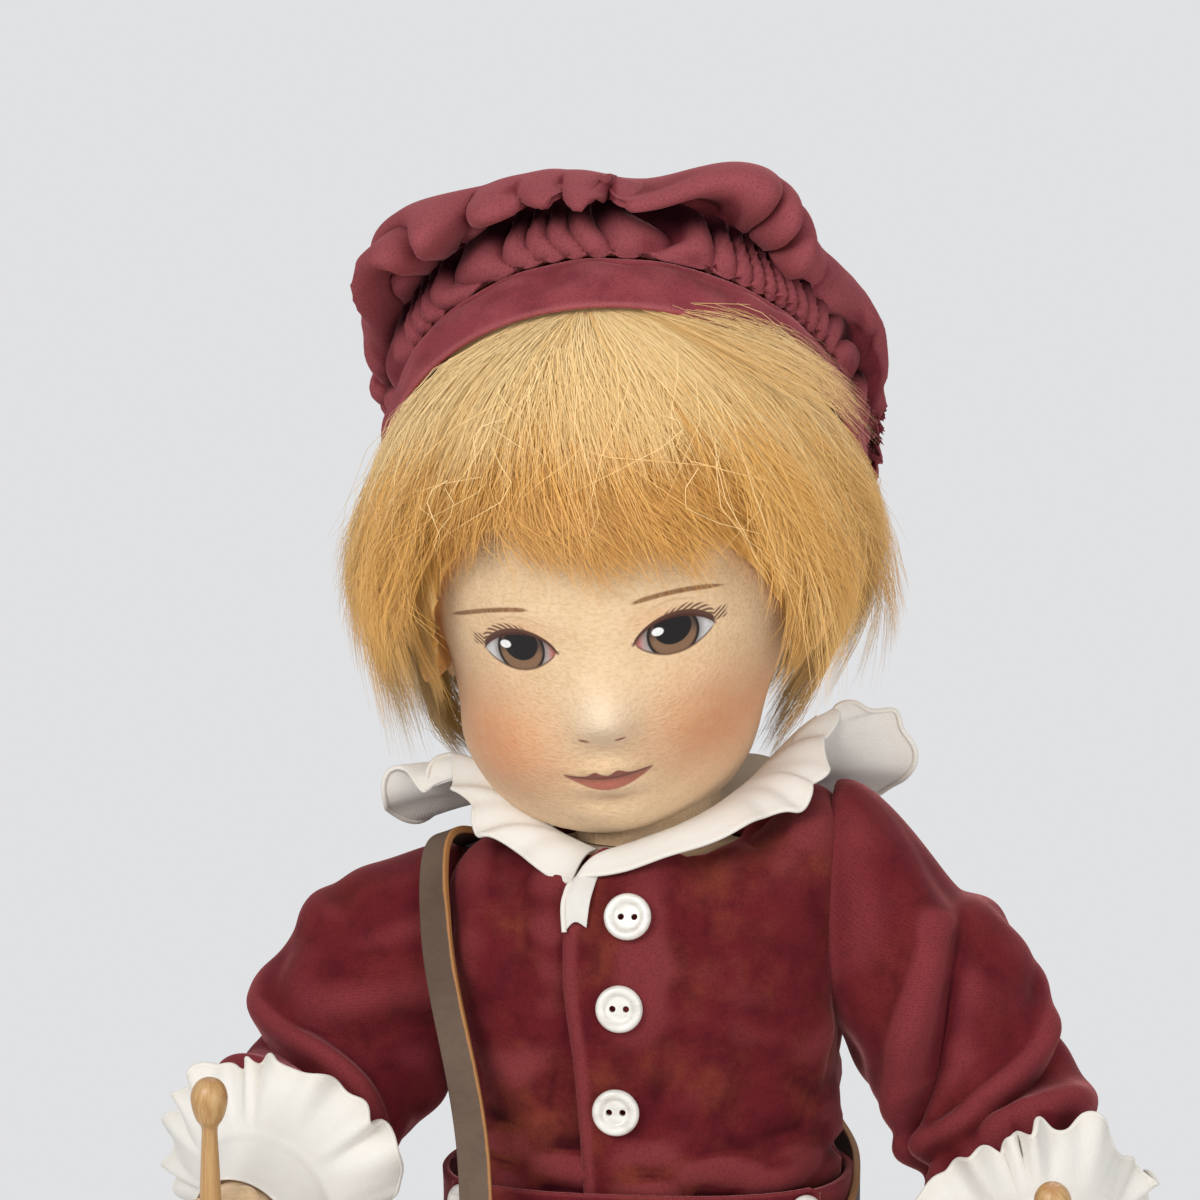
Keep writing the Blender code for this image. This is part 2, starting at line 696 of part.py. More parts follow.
def wig_skin(u, v):
    """Closed form of the hair: down its outside to the rim, and back up its lining."""
    azimuth = 360.0 * u
    outside = v <= 0.5
    share = 2.0 * v if outside else 2.0 - 2.0 * v
    direction = polar(hair_rim(azimuth) * share, azimuth)
    if outside:
        thin = 1.0 - 0.35 * smooth_step(0.75, 1.0, share)
        return head_skin(direction, LAYER_GAP + hair_depth(direction) * thin)
    grow = LINING_GAP
    for side in (-1, 1):
        beside = (head_skin(direction) - ear_place(side)).length
        grow += 2.3 * EAR_THICKNESS * hill(beside, 2.3 * EAR_HALF_HEIGHT)
    return head_skin(direction, grow)


def cap_frame():
    """Directions of the cap: its pole, its front edge and its left side, in the head's frame."""
    tilt = math.radians(CAP_BACK_TILT)
    pole = Vector((0.0, math.sin(tilt), math.cos(tilt)))
    front = Vector((0.0, -math.cos(tilt), math.sin(tilt)))
    return pole, front, Vector((1.0, 0.0, 0.0))


def cap_point(radius, height, azimuth):
    """Point at a radius from the cap's axis and a height along it. Azimuth 0 is the cap's front edge."""
    pole, front, left = cap_frame()
    turn = math.radians(azimuth)
    return pole * height + (front * math.cos(turn) + left * math.sin(turn)) * radius


def band_radius(azimuth):
    """Radius of the cap's lower edge, which rests on the hair all round."""
    radius = HEAD_HALF_DEPTH + HAIR_TOP
    for _ in range(12):
        direction = cap_point(radius, BAND_OFFSET, azimuth).normalized()
        outside = head_skin(direction, 2.0 * LAYER_GAP + hair_depth(direction)).length
        radius = math.sqrt(max(outside ** 2 - BAND_OFFSET ** 2, 0.0))
    return radius


def crown_skin(u, v):
    """The gathered crown: it leaves the band, swells over it and closes at the cap's pole."""
    azimuth = 360.0 * u
    turn = math.radians(azimuth)
    edge = band_radius(azimuth) - BAND_TAPER
    foot = BAND_OFFSET + BAND_WIDTH + CROWN_SEAM
    swell = CROWN_FLARE + CROWN_FRONT_FLARE * math.cos(turn) ** 2
    swell += CROWN_SCALLOP_DEPTH * math.cos(CROWN_SCALLOPS * turn)
    radii = (edge, edge + 0.72 * swell, edge + swell, edge + 0.1 * swell, 0.62 * edge, 0.0)
    rises = (0.0, 0.15, 0.42, 0.74, 0.94, 1.0)
    heights = [foot + CROWN_RISE * rise for rise in rises]
    return cap_point(max(0.0, through(radii, v)), through(heights, v), azimuth)


def build_head(pivot, tilt):
    """Head, ears, neck, wig and cap."""
    def ball(u, v):
        return head_skin(polar(180.0 * (1.0 - v), 360.0 * u))

    def larger_ball(u, v):
        return head_skin(polar(180.0 * (1.0 - v), 360.0 * u), LAYER_GAP)

    add_object("head", close_ends(grid(ball, 28, 18)), FELT_SKIN, tilt)
    room = as_cutter(add_object("head_room", close_ends(grid(larger_ball, 28, 18)), FELT_SKIN, tilt))
    for side, word in ((1, "left"), (-1, "right")):
        shape = bmesh.new()
        bmesh.ops.create_uvsphere(shape, u_segments=8, v_segments=6, radius=EAR_HALF_HEIGHT)
        ear = add_object(f"{word}_ear", shape, FELT_SKIN, tilt)
        for vert in ear.data.vertices:
            vert.co.x *= EAR_THICKNESS / EAR_HALF_HEIGHT
            vert.co.y *= 0.62
        ear.location = ear_place(side)
        ear.rotation_euler = (0.0, 0.0, side * math.radians(-14.0))
        cut(ear, room)
    add_object("wig", close_ends(grid(wig_skin, 30, 14)), MOHAIR, tilt)
    build_cap(tilt)
    build_neck(pivot, room)


def build_cap(tilt):
    """The velvet cap: a band round the back of the head and a gathered crown."""
    def band(u, v):
        azimuth = 360.0 * u
        return cap_point(band_radius(azimuth) - BAND_TAPER * v, BAND_OFFSET + BAND_WIDTH * v, azimuth)

    thicken(add_object("cap_band", grid(band, 30, 2), VELVET_RED, tilt), VELVET)
    thicken(add_object("cap_crown", grid(crown_skin, 33, 6), VELVET_RED, tilt), VELVET)


def build_neck(pivot, head_room):
    """The neck turns with the head. Its disc lies in a pocket at its foot."""
    top = HEAD_RISE - 0.25 * HEAD_HALF_HEIGHT
    profile = [(0.0, top), (NECK_RADIUS, top), (NECK_RADIUS, SEAT_GAP), (0.0, SEAT_GAP)]
    neck = turned("neck", profile, FELT_SKIN, pivot, steps=14)
    cut(neck, head_room)
    cut(neck, joint_pocket("neck_upper_pocket", pivot, (0, 0, SEAT_GAP), (0, 0, 1)))
    disc("neck_head_disc", pivot, (0, 0, SEAT_GAP + DISC_DEPTH), (0, 0, 1))


# Arms

class Limb:
    """A stuffed limb: a domed top, a straight upper part, a round bend and a straight lower part."""

    def __init__(self, start, first, second, upper, lower, bend, radii):
        self.start = Vector(start)
        self.first = Vector(first).normalized()
        self.second = Vector(second).normalized()
        self.upper = upper
        self.lower = lower
        self.bend = bend
        self.radii = radii
        self.knee = self.start + self.first * upper
        across = self.first.cross(self.second)
        self.across = across.normalized() if across.length > 1e-6 else Vector((1, 0, 0))

    @property
    def length(self):
        """Length from the dome's centre to the end."""
        return self.upper + self.lower

    def centre(self, along):
        """Point and direction of the centre line."""
        if along <= self.upper - self.bend:
            return self.start + self.first * along, self.first
        if along >= self.upper + self.bend:
            return self.knee + self.second * (along - self.upper), self.second
        share = (along - self.upper + self.bend) / (2.0 * self.bend)
        begin = self.knee - self.first * self.bend
        end = self.knee + self.second * self.bend
        place = begin * (1 - share) ** 2 + self.knee * (2 * share * (1 - share)) + end * share ** 2
        return place, self.first.lerp(self.second, share).normalized()

    def point(self, along, turn, grow):
        """Point on the skin, grown outwards. along runs from the dome's top, below 0."""
        place, direction = self.centre(along)
        wide, deep = self.radii(max(along, 0.0))
        wide += grow
        deep += grow
        if along < 0.0:
            dome = math.sqrt(max(0.0, 1.0 - (along / deep) ** 2))
            wide *= dome
            deep *= dome
        other = direction.cross(self.across)
        return place + self.across * (wide * math.cos(turn)) + other * (deep * math.sin(turn))

    def skin(self, first, last, grow, domed, spare=None):
        """A surface point(u, v) between two lengths along the limb. The dome takes the share domed of v."""
        def point(u, v):
            if v < domed:
                along = first * math.cos(0.5 * math.pi * v / domed)
            else:
                along = last * (v - domed) / (1.0 - domed)
            turn = 2.0 * math.pi * u
            more = spare(along, turn) if spare else 0.0
            return self.point(along, turn, grow + more)
        return point


def arm_limb(splay_angle):
    """The arm's form, in the frame of its shoulder joint."""
    splay = math.radians(splay_angle)
    bend = math.radians(ELBOW_BEND)
    first = Vector((math.sin(splay), 0.0, -math.cos(splay)))
    second = first * math.cos(bend) + Vector((0.0, -math.sin(bend), 0.0))

    def radii(along):
        share = along / (UPPER_ARM + FOREARM)
        radii = (ARM_RADIUS, 0.97 * ARM_RADIUS, 1.03 * FOREARM_RADIUS, FOREARM_RADIUS, WRIST_RADIUS)
        radius = through(radii, share)
        return radius, radius

    return Limb((ARM_ROOT, 0, 0), first, second, UPPER_ARM, FOREARM, ELBOW_ROUND, radii)


def half_space(name, parent, out):
    """A cutter that fills the joint's frame on the body's side of x = out."""
    shape = bmesh.new()
    bmesh.ops.create_cube(shape, size=0.2)
    block = as_cutter(add_object(name, shape, HARDBOARD, parent, smooth=False))
    block.location = (out - math.copysign(0.1, out), 0.0, 0.0)
    return block


def build_arm(parent, side, word):
    """One arm: the stuffed arm, its disc, sleeve, cuff, hand and drumstick."""
    limb = arm_limb(LEFT_ARM_SPLAY if side > 0 else RIGHT_ARM_SPLAY)
    dome = ARM_RADIUS
    arm = add_object(f"{word}_arm", close_ends(grid(limb.skin(-dome, limb.length, 0.0, 0.3), 12, 10, side)),
                     FELT_SKIN, parent)
    cut(arm, half_space(f"{word}_arm_face", parent, side * SEAT_GAP))
    seam = (side * SEAT_GAP, 0, 0)
    cut(arm, joint_pocket(f"{word}_arm_pocket", parent, seam, (side, 0, 0)))
    disc(f"{word}_shoulder_arm_disc", parent, (side * (SEAT_GAP + DISC_DEPTH), 0, 0), (side, 0, 0))
    build_sleeve(parent, limb, side, word)
    build_cuff(parent, limb, side, word)
    build_hand(parent, limb, side, word)


def build_sleeve(parent, limb, side, word):
    """A wide velvet sleeve with folds gathered at the elbow."""
    grow = SLEEVE_EASE
    dome = ARM_RADIUS + grow

    def folds(along, turn):
        share = along / limb.length
        elbow = hill(share - 0.54, 0.26)
        crease = math.cos(14.0 * share + 2.0 * math.sin(turn)) * (0.6 + 0.4 * math.sin(turn + 0.8))
        gather = math.cos(5.0 * turn) * smooth_step(0.45, 0.90, share)
        return SLEEVE_FOLD * (elbow * crease + 0.5 * gather)

    skin = limb.skin(-dome, limb.length - SLEEVE_SHORT, grow, 3 / 11, folds)
    sleeve = thicken(add_object(f"{word}_sleeve", grid(skin, 14, 11, side), VELVET_RED, parent), VELVET)
    face = JACKET_OUT + SEAT_GAP
    cut(sleeve, half_space(f"{word}_sleeve_face", parent, side * face))


def build_cuff(parent, limb, side, word):
    """A cotton cuff: a band at the wrist and a gathered frill turned back over the sleeve."""
    wrist, along = limb.centre(limb.length)
    other = along.cross(limb.across)
    inner = WRIST_RADIUS + LAYER_GAP

    def skin(u, v):
        turn = 2.0 * math.pi * u
        band = min(1.0, v / 0.35)
        frill = max(0.0, (v - 0.35) / 0.65)
        place = (0.4 - band) * CUFF_LENGTH - CUFF_TURN_BACK * frill
        wave = math.cos(CUFF_WAVES * turn) * CUFF_WAVE_DEPTH * frill
        radius = inner + 0.12 * CUFF_LENGTH * band + CUFF_FLARE * frill ** 0.75 + wave
        out = limb.across * math.cos(turn) + other * math.sin(turn)
        return wrist + along * (place + 1.5 * wave) + out * radius

    shape = grid(skin, 28, 4, side)
    bmesh.ops.reverse_faces(shape, faces=shape.faces)
    thicken(add_object(f"{word}_cuff", shape, COTTON_WHITE, parent), COTTON)


def ball_at(place, axes, radii):
    """A bmesh ball stretched along three axes."""
    shape = bmesh.new()
    frame = Matrix((axes[0] * radii[0], axes[1] * radii[1], axes[2] * radii[2])).transposed().to_4x4()
    frame.translation = place
    bmesh.ops.create_uvsphere(shape, u_segments=16, v_segments=10, radius=1.0, matrix=frame)
    return shape


def finger(points, radius):
    """A bmesh chain of overlapping balls, which the remesh fuses into one finger."""
    shape = bmesh.new()
    for place in points:
        bmesh.ops.create_icosphere(shape, subdivisions=2, radius=radius, matrix=Matrix.Translation(place))
    return shape


def grip_frame(limb):
    """Place and directions of the fist: along the forearm, along the stick, and across the palm."""
    wrist, along = limb.centre(limb.length)
    lean = math.radians(STICK_LEAN)
    stick = Vector((-0.06, -math.sin(lean), math.cos(lean))).normalized()
    across = stick.cross(along).normalized()
    forward = across.cross(stick)
    grip = wrist + along * (1.23 * PALM_LENGTH)
    return grip, stick, across, forward


def build_hand(parent, limb, side, word):
    """A stuffed felt fist with four stitched fingers and a thumb round a turned stick."""
    grip, stick, across, forward = grip_frame(limb)
    wrist, along = limb.centre(limb.length)
    reach = STICK_RADIUS + FINGER_RADIUS
    palm = wrist + along * (0.48 * PALM_LENGTH)
    palm_sizes = (0.80 * PALM_LENGTH, 0.57 * PALM_LENGTH, 0.63 * PALM_LENGTH)
    shape = ball_at(palm, (along, across, stick), palm_sizes)
    spacing = 1.75 * FINGER_RADIUS
    for number in range(4):
        base = grip + stick * (spacing * (number - 1.5))
        curl = [math.radians(-150.0 + 27.0 * step) for step in range(10)]
        arc = [base + forward * (reach * math.cos(turn)) + across * (reach * math.sin(turn)) for turn in curl]
        joined(shape, finger(arc, FINGER_RADIUS))
    thumb_base = palm + stick * (0.50 * PALM_LENGTH) - across * (0.13 * PALM_LENGTH)
    thumb_tip = grip + stick * (1.9 * spacing) + across * (0.9 * reach) + forward * (0.36 * reach)
    thumb = [thumb_base.lerp(thumb_tip, step / 5.0) for step in range(6)]
    joined(shape, finger(thumb, FINGER_RADIUS * 1.05))
    for vert in shape.verts:
        vert.co.x *= side
    if side < 0:
        bmesh.ops.reverse_faces(shape, faces=shape.faces)
    hand = add_object(f"{word}_hand", shape, FELT_SKIN, parent)
    fuse = hand.modifiers.new("fuse", "REMESH")
    fuse.mode = "VOXEL"
    fuse.voxel_size = 0.58 * FINGER_RADIUS
    thin = hand.modifiers.new("thin", "DECIMATE")
    thin.ratio = 0.16
    mirror = Vector((side, 1, 1))
    start = (wrist - along * 0.03) * mirror
    cut(hand, rod(f"{word}_wrist_face", start, along * mirror, 0.02, 0.03 + SEAT_GAP, parent))
    low = grip - stick * (STICK_LENGTH - STICK_ABOVE_GRIP)
    bore_radius = STICK_RADIUS + LAYER_GAP
    bore = rod(f"{word}_stick_bore", low * mirror, stick * mirror, bore_radius, STICK_LENGTH, parent, 16)
    cut(hand, bore)
    build_stick(parent, low * mirror, stick * mirror, word)


def build_stick(parent, foot, direction, word):
    """A turned beech drumstick: rounded butt, plain shaft, thin neck and an acorn bead."""
    neck = STICK_LENGTH - BEAD_LENGTH
    r = STICK_RADIUS
    b = BEAD_RADIUS
    profile = [(0.0, STICK_LENGTH), (0.62 * b, STICK_LENGTH - 0.08 * BEAD_LENGTH)]
    profile += [(0.97 * b, STICK_LENGTH - 0.30 * BEAD_LENGTH), (0.97 * b, STICK_LENGTH - 0.48 * BEAD_LENGTH)]
    profile += [(0.74 * b, neck + 0.22 * BEAD_LENGTH), (0.62 * r, neck)]
    profile += [(0.74 * r, neck - 0.09 * STICK_LENGTH)]
    profile += [(r, neck - 0.31 * STICK_LENGTH), (r, 0.6 * r), (0.6 * r, 0.0), (0.0, 0.0)]
    return aim(turned(f"{word}_drumstick", profile, BEECH, parent, steps=10), foot, direction)


# Legs and shoes

def leg_limb():
    """The leg's form, in the frame of its hip joint."""
    def radii(along):
        share = along / LEG_LENGTH
        wide = through((THIGH_HALF_WIDTH, 0.96 * THIGH_HALF_WIDTH, 0.84 * THIGH_HALF_WIDTH,
                        0.82 * THIGH_HALF_WIDTH, ANKLE_HALF_WIDTH), share)
        deep = through((THIGH_HALF_DEPTH, 0.94 * THIGH_HALF_DEPTH, 0.68 * THIGH_HALF_DEPTH,
                        0.64 * THIGH_HALF_DEPTH, 1.12 * ANKLE_HALF_WIDTH), share)
        return wide, deep

    down = (0, 0, -1)
    return Limb((LEG_CENTRE, 0, 0), down, down, LEG_LENGTH / 2, LEG_LENGTH / 2, 0.01, radii)


def foot_skin(grow):
    """The foot inside the shoe, flat below. Point on it from a direction out of its middle."""
    middle = Vector((LEG_CENTRE, -FOOT_FORWARD, -HIP_HEIGHT + SOLE_THICKNESS + FOOT_HALF_HEIGHT))
    floor = -HIP_HEIGHT + SOLE_THICKNESS + SEAT_GAP + LEATHER + FOOT_GAP

    def point(direction):
        toe = smooth_step(0.0, 1.0, -direction.y)
        wide = (FOOT_HALF_WIDTH + grow) * (1.0 + 0.10 * toe)
        tall = (FOOT_HALF_HEIGHT + grow) * (1.08 - 0.22 * toe)
        square = (abs(direction.x) ** 2.6 + abs(direction.y) ** 2.6) ** (1 / 2.6)
        level = math.hypot(direction.x, direction.y)
        full = level / square if square > 1e-6 else 1.0
        place = middle + Vector((direction.x * wide * full, direction.y * (FOOT_HALF_LENGTH + grow) * full,
                                 direction.z * tall))
        place.z = max(place.z, floor - grow)
        return place

    return point


def build_leg(parent, side, word):
    """One leg: the stuffed leg and foot, its disc, trouser leg, shoe and sole."""
    limb = leg_limb()
    dome = THIGH_HALF_DEPTH
    leg_form = grid(limb.skin(-dome, LEG_LENGTH - 0.001, 0.0, 0.375), 12, 8, side)
    leg = add_object(f"{word}_leg", close_ends(leg_form), FELT_BODY, parent)
    seat_profile = [(0, LEG_CENTRE), (LEG_SEAT_RADIUS, LEG_CENTRE)]
    seat_profile += [(LEG_SEAT_RADIUS, SEAT_GAP), (0, SEAT_GAP)]
    seat = turned(f"{word}_leg_seat", seat_profile, FELT_BODY, parent, 12)
    seat = as_cutter(aim(seat, (0, 0, 0), (side, 0, 0)))
    cut(leg, seat, "UNION")
    stuffed = foot_skin(0.0)

    def foot(u, v):
        return stuffed(polar(180.0 * (1.0 - v), 360.0 * u))

    foot_form = add_object(f"{word}_foot", close_ends(grid(foot, 14, 8, side)), FELT_BODY, parent)
    cut(leg, as_cutter(foot_form), "UNION")
    cut(leg, joint_pocket(f"{word}_leg_pocket", parent, (side * SEAT_GAP, 0, 0), (side, 0, 0)))
    disc(f"{word}_hip_leg_disc", parent, (side * (SEAT_GAP + DISC_DEPTH), 0, 0), (side, 0, 0))
    build_trouser_leg(parent, limb, side, word)
    build_shoe(parent, side, word)


def build_trouser_leg(parent, limb, side, word):
    """A straight velvet trouser leg, closed over the top of the thigh and open at the hem."""
    hem = HIP_HEIGHT - HEM_HEIGHT

    def fall(along, turn):
        loose = (TROUSER_HEM_EASE - TROUSER_EASE) * smooth_step(0.2 * hem, hem, along)
        return loose + 0.6 * TROUSER_EASE * math.cos(4.0 * turn + 0.6) * smooth_step(0.13, 0.38, along / hem)

    skin = limb.skin(-(THIGH_HALF_DEPTH + TROUSER_EASE), hem, TROUSER_EASE, 3 / 9, fall)
    piece = thicken(add_object(f"{word}_trouser_leg", grid(skin, 14, 9, side), VELVET_RED, parent), VELVET)
    cut(piece, half_space(f"{word}_trouser_face", parent, side * 4 * SEAT_GAP))
    opening_radius = LEG_SEAT_RADIUS + LAYER_GAP
    opening = rod(f"{word}_hip_opening", (0, 0, 0), (side, 0, 0), opening_radius, 0.008, parent, 20)
    cut(piece, opening)


def build_shoe(parent, side, word):
    """A slip-on shoe: a moulded leather upper, open at the ankle, on a stitched sole."""
    cover = foot_skin(FOOT_GAP)

    def upper(u, v):
        azimuth = 360.0 * u
        front = max(0.0, math.cos(math.radians(azimuth)))
        rim = 112.0 + 40.0 * smooth_step(0.45, 0.95, front)
        return cover(polar(180.0 - rim * v, azimuth))

    shape = grid(upper, 18, 5, side)
    bmesh.ops.recalc_face_normals(shape, faces=shape.faces)
    thicken(add_object(f"{word}_shoe_upper", shape, SHOE_LEATHER, parent), LEATHER)
    outline = foot_skin(FOOT_GAP + LEATHER + WELT)
    curve = bpy.data.curves.new(f"{word}_shoe_sole", "CURVE")
    curve.dimensions = "2D"
    curve.fill_mode = "BOTH"
    curve.extrude = SOLE_THICKNESS / 2.0
    edge = curve.splines.new("POLY")
    count = 22
    edge.points.add(count - 1)
    for number, spot in enumerate(edge.points):
        place = outline(polar(90.0, 360.0 * number / count))
        spot.co = (side * place.x, place.y, 0.0, 1.0)
    edge.use_cyclic_u = True
    sole = bpy.data.objects.new(f"{word}_shoe_sole", curve)
    PIECES.objects.link(sole)
    curve.materials.append(material(SHOE_LEATHER))
    sole.parent = parent
    sole.location = (0.0, 0.0, SOLE_THICKNESS / 2.0 - HIP_HEIGHT)


# Drum and strap

def ring_place(side):
    """Middle of a strap ring, in the doll's frame."""
    return Vector((DRUM_ASIDE + side * RING_OUT, -DRUM_FORWARD, RING_HEIGHT))


def build_drum(parent):
    """A side drum: shell, skins, hoops, lacing and strap rings. Its frame is on the rings' axis."""
    middle = Vector((DRUM_ASIDE, 0.0, 0.0))
    top = DRUM_TOP - RING_HEIGHT - HOOP_RISE
    foot = top - DRUM_HEIGHT
    inside = DRUM_RADIUS - DRUM_WALL
    walls = [(DRUM_RADIUS, top), (DRUM_RADIUS, foot), (inside, foot), (inside, top)]
    turned("drum_shell", walls, DRUM_PAINT, parent, 20, ring=True).location = middle
    for word, seat, rise in (("top", top, 1), ("bottom", foot, -1)):
        near = seat + rise * SEAT_GAP
        far = near + rise * SKIN_THICKNESS
        high, low = max(near, far), min(near, far)
        skin = [(0, high), (DRUM_RADIUS, high), (DRUM_RADIUS, low), (0, low)]
        turned(f"drum_{word}_skin", skin, DRUM_SKIN, parent, 20).location = middle
        edge = seat + rise * HOOP_RISE
        back = edge - rise * HOOP_HEIGHT
        high, low = max(edge, back), min(edge, back)
        bore = DRUM_RADIUS + SEAT_GAP
        hoop = [(HOOP_RADIUS, high), (HOOP_RADIUS, low), (bore, low), (bore, high)]
        turned(f"drum_{word}_hoop", hoop, BEECH, parent, 20, ring=True).location = middle
    build_lacing(parent, middle, top, foot)
    for side, word in ((1, "left"), (-1, "right")):
        ring = ring_place(side) - Vector((0.0, -DRUM_FORWARD, RING_HEIGHT))
        wire = [(RING_RADIUS + RING_WIRE * math.cos(turn), RING_WIRE * math.sin(turn))
                for turn in (math.radians(90 - 90 * step) for step in range(4))]
        towards = (0.0, 0.4, 0.9) if side < 0 else (0.0, 1.0, 0.25)
        aim(turned(f"{word}_strap_ring", wire, BRASS, parent, 12, ring=True), ring, towards)


def build_lacing(parent, middle, top, foot):
    """One cord that zigzags between the hoops."""
    reach = HOOP_RADIUS + SEAT_GAP + LACING_RADIUS
    high = top - HOOP_HEIGHT + 2.0 * HOOP_RISE
    low = foot + HOOP_HEIGHT - 2.0 * HOOP_RISE
    curve = bpy.data.curves.new("drum_lacing", "CURVE")
    curve.dimensions = "3D"
    curve.bevel_depth = LACING_RADIUS
    curve.bevel_resolution = 0
    cord = curve.splines.new("POLY")
    count = 4 * LACING_TURNS
    cord.points.add(count - 1)
    for number, spot in enumerate(cord.points):
        turn = 2.0 * math.pi * (number + 1.5) / count
        level = high if number % 4 in (0, 1) else low
        spread = reach / math.cos(math.pi / count)
        spot.co = (spread * math.sin(turn), -spread * math.cos(turn), level, 1.0)
    cord.use_cyclic_u = True
    lacing = bpy.data.objects.new("drum_lacing", curve)
    PIECES.objects.link(lacing)
    curve.materials.append(material(LACE_CORD))
    lacing.parent = parent
    lacing.location = middle


def strap_route():
    """Points and outward directions of the strap's middle, from the right ring to the left one."""
    out = OVERLAP_OUT + LAYER_GAP + STRAP_THICKNESS / 2.0
    low_out = TROUSER_OUT + LAYER_GAP + STRAP_THICKNESS / 2.0
    right = ring_place(-1)
    left = ring_place(1)
    front = Vector((0.0, -1.0, 0.25)).normalized()
    aside = Vector((1.0, 0.0, 0.0))
    route = [(right + Vector((0.0, 0.0, -STRAP_TAIL)), front), (right, front)]
    on_front, _ = on_body(-64.0, SHOULDER_LINE + 0.43 * SHOULDER_TO_NECK, out + 1.7 * STRAP_THICKNESS)
    route.append((right.lerp(on_front, 0.5), front))
    for turn, rise, lift in (
        (-64.0, 0.43, 1.7),
        (-90.0, 0.74, 0.6),
        (-122.0, 0.41, 0.5),
        (-146.0, -1.1, 0.0),
        (-174.0, -2.7, 0.0),
        (-210.0, -4.1, 0.0),
    ):
        route.append(on_body(turn, SHOULDER_LINE + rise * SHOULDER_TO_NECK, out + lift * STRAP_THICKNESS))
    for turn, rise in ((-240.0, 0.12), (-268.0, 0.0)):
        route.append(on_body(turn, WAIST_HEIGHT + rise * CHEST_HEIGHT, low_out))
    side_point, _ = on_body(-268.0, WAIST_HEIGHT, low_out)
    route.append((side_point.lerp(left, 0.5), aside))
    route.append((left, aside))
    route.append((left + (left - side_point).normalized() * STRAP_TAIL, aside))
    return route


def build_strap(parent):
    """The leather strap, one flat band of even width and thickness."""
    route = strap_route()
    count = 44

    def at(share, part):
        return Vector([through([spot[part][i] for spot in route], share) for i in range(3)])

    def band(u, v):
        share = v
        place = at(share, 0)
        direction = (at(min(share + 0.004, 1.0), 0) - at(max(share - 0.004, 0.0), 0)).normalized()
        normal = at(share, 1)
        normal = (normal - direction * normal.dot(direction)).normalized()
        across = direction.cross(normal)
        corner = ((1, 1), (-1, 1), (-1, -1), (1, -1), (1, 1))[int(round(u * 4))]
        return place + across * (corner[0] * STRAP_WIDTH / 2) + normal * (corner[1] * STRAP_THICKNESS / 2)

    add_object("shoulder_strap", close_ends(grid(band, 4, count)), STRAP_LEATHER, parent, smooth=False)


def main():
    """Builds the doll."""
    doll = empty("doll", None, (SET_ASIDE, SET_BACK, 0.0))
    build_torso(doll)
    build_body_joints(doll)
    build_jacket(doll)
    build_buttons(doll)
    build_collar(doll)
    build_trouser_top(doll)
    build_strap(doll)
    pivot = empty("neck_joint", doll, (0.0, 0.0, NECK_HEIGHT))
    head_place = (HEAD_ASIDE, -HEAD_FORWARD, HEAD_RISE)
    tilt = empty("head_frame", pivot, head_place, (HEAD_NOD, -HEAD_LEAN, HEAD_TURN))
    build_head(pivot, tilt)
    for side, word, swing in ((1, "left", LEFT_ARM_SWING), (-1, "right", RIGHT_ARM_SWING)):
        shoulder = (side * CHEST_HALF_WIDTH, 0.0, SHOULDER_HEIGHT)
        build_arm(empty(f"{word}_shoulder_joint", doll, shoulder, (-swing, 0.0, 0.0)), side, word)
        hip = (side * PELVIS_HALF_WIDTH, 0.0, HIP_HEIGHT)
        build_leg(empty(f"{word}_hip_joint", doll, hip), side, word)
    build_drum(empty("drum_joint", doll, (0.0, -DRUM_FORWARD, RING_HEIGHT)))


clear_scene()
PIECES = collection("felt_doll")
CUTTERS = collection("cutters")
main()
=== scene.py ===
"""Looks of the felt drummer doll: its cloth, felt, hair, leather and wood, on the packed frame."""

import json
import logging
import math
from dataclasses import dataclass, field
from enum import Enum
from typing import Callable, Dict, List, Optional, Sequence, Tuple, Union

import bpy
import numpy as np
from mathutils import Euler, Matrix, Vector


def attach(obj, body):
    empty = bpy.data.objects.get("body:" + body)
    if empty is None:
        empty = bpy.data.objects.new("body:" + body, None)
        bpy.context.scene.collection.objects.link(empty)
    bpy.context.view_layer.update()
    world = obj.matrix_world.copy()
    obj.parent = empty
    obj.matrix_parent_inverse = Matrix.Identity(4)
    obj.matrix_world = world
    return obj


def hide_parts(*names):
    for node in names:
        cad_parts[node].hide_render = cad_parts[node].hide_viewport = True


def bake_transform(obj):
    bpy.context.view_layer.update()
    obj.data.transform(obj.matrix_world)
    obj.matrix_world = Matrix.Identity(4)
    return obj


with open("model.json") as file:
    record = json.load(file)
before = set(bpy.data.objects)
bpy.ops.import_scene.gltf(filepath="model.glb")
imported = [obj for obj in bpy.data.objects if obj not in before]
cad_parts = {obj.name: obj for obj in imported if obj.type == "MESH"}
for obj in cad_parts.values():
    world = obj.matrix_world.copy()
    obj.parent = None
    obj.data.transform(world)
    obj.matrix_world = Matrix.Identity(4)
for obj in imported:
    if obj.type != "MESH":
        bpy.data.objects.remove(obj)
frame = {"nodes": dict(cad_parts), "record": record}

Array = np.ndarray
Surface = Callable[[Array, Array], Array]
Colour = Tuple[float, float, float]
Piece = bpy.types.Object

LOG = logging.getLogger("felt_doll")
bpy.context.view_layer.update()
JOINTS = {row["name"]: row for row in frame["record"]["behaviour"]["joints"]}
DOLL = np.array([JOINTS["head_turn"]["pos_m"][0], JOINTS["head_turn"]["pos_m"][1], 0.0])
WELD = 0.00001
MM = 0.001
TURN = 2.0 * np.pi
HOLLOW = "hollow"

# Sizes that several pieces share, in metres: the gap between two layers, the velvet's thickness, how far the
# trousers stand off the body, and the place and half width and depth of a thigh.
GAP = 0.0007
VELVET = 0.0014
TROUSER_OUT = 0.0063
LEG_CENTRE = 0.0185
THIGH_WIDE = 0.0140
THIGH_DEEP = 0.0205


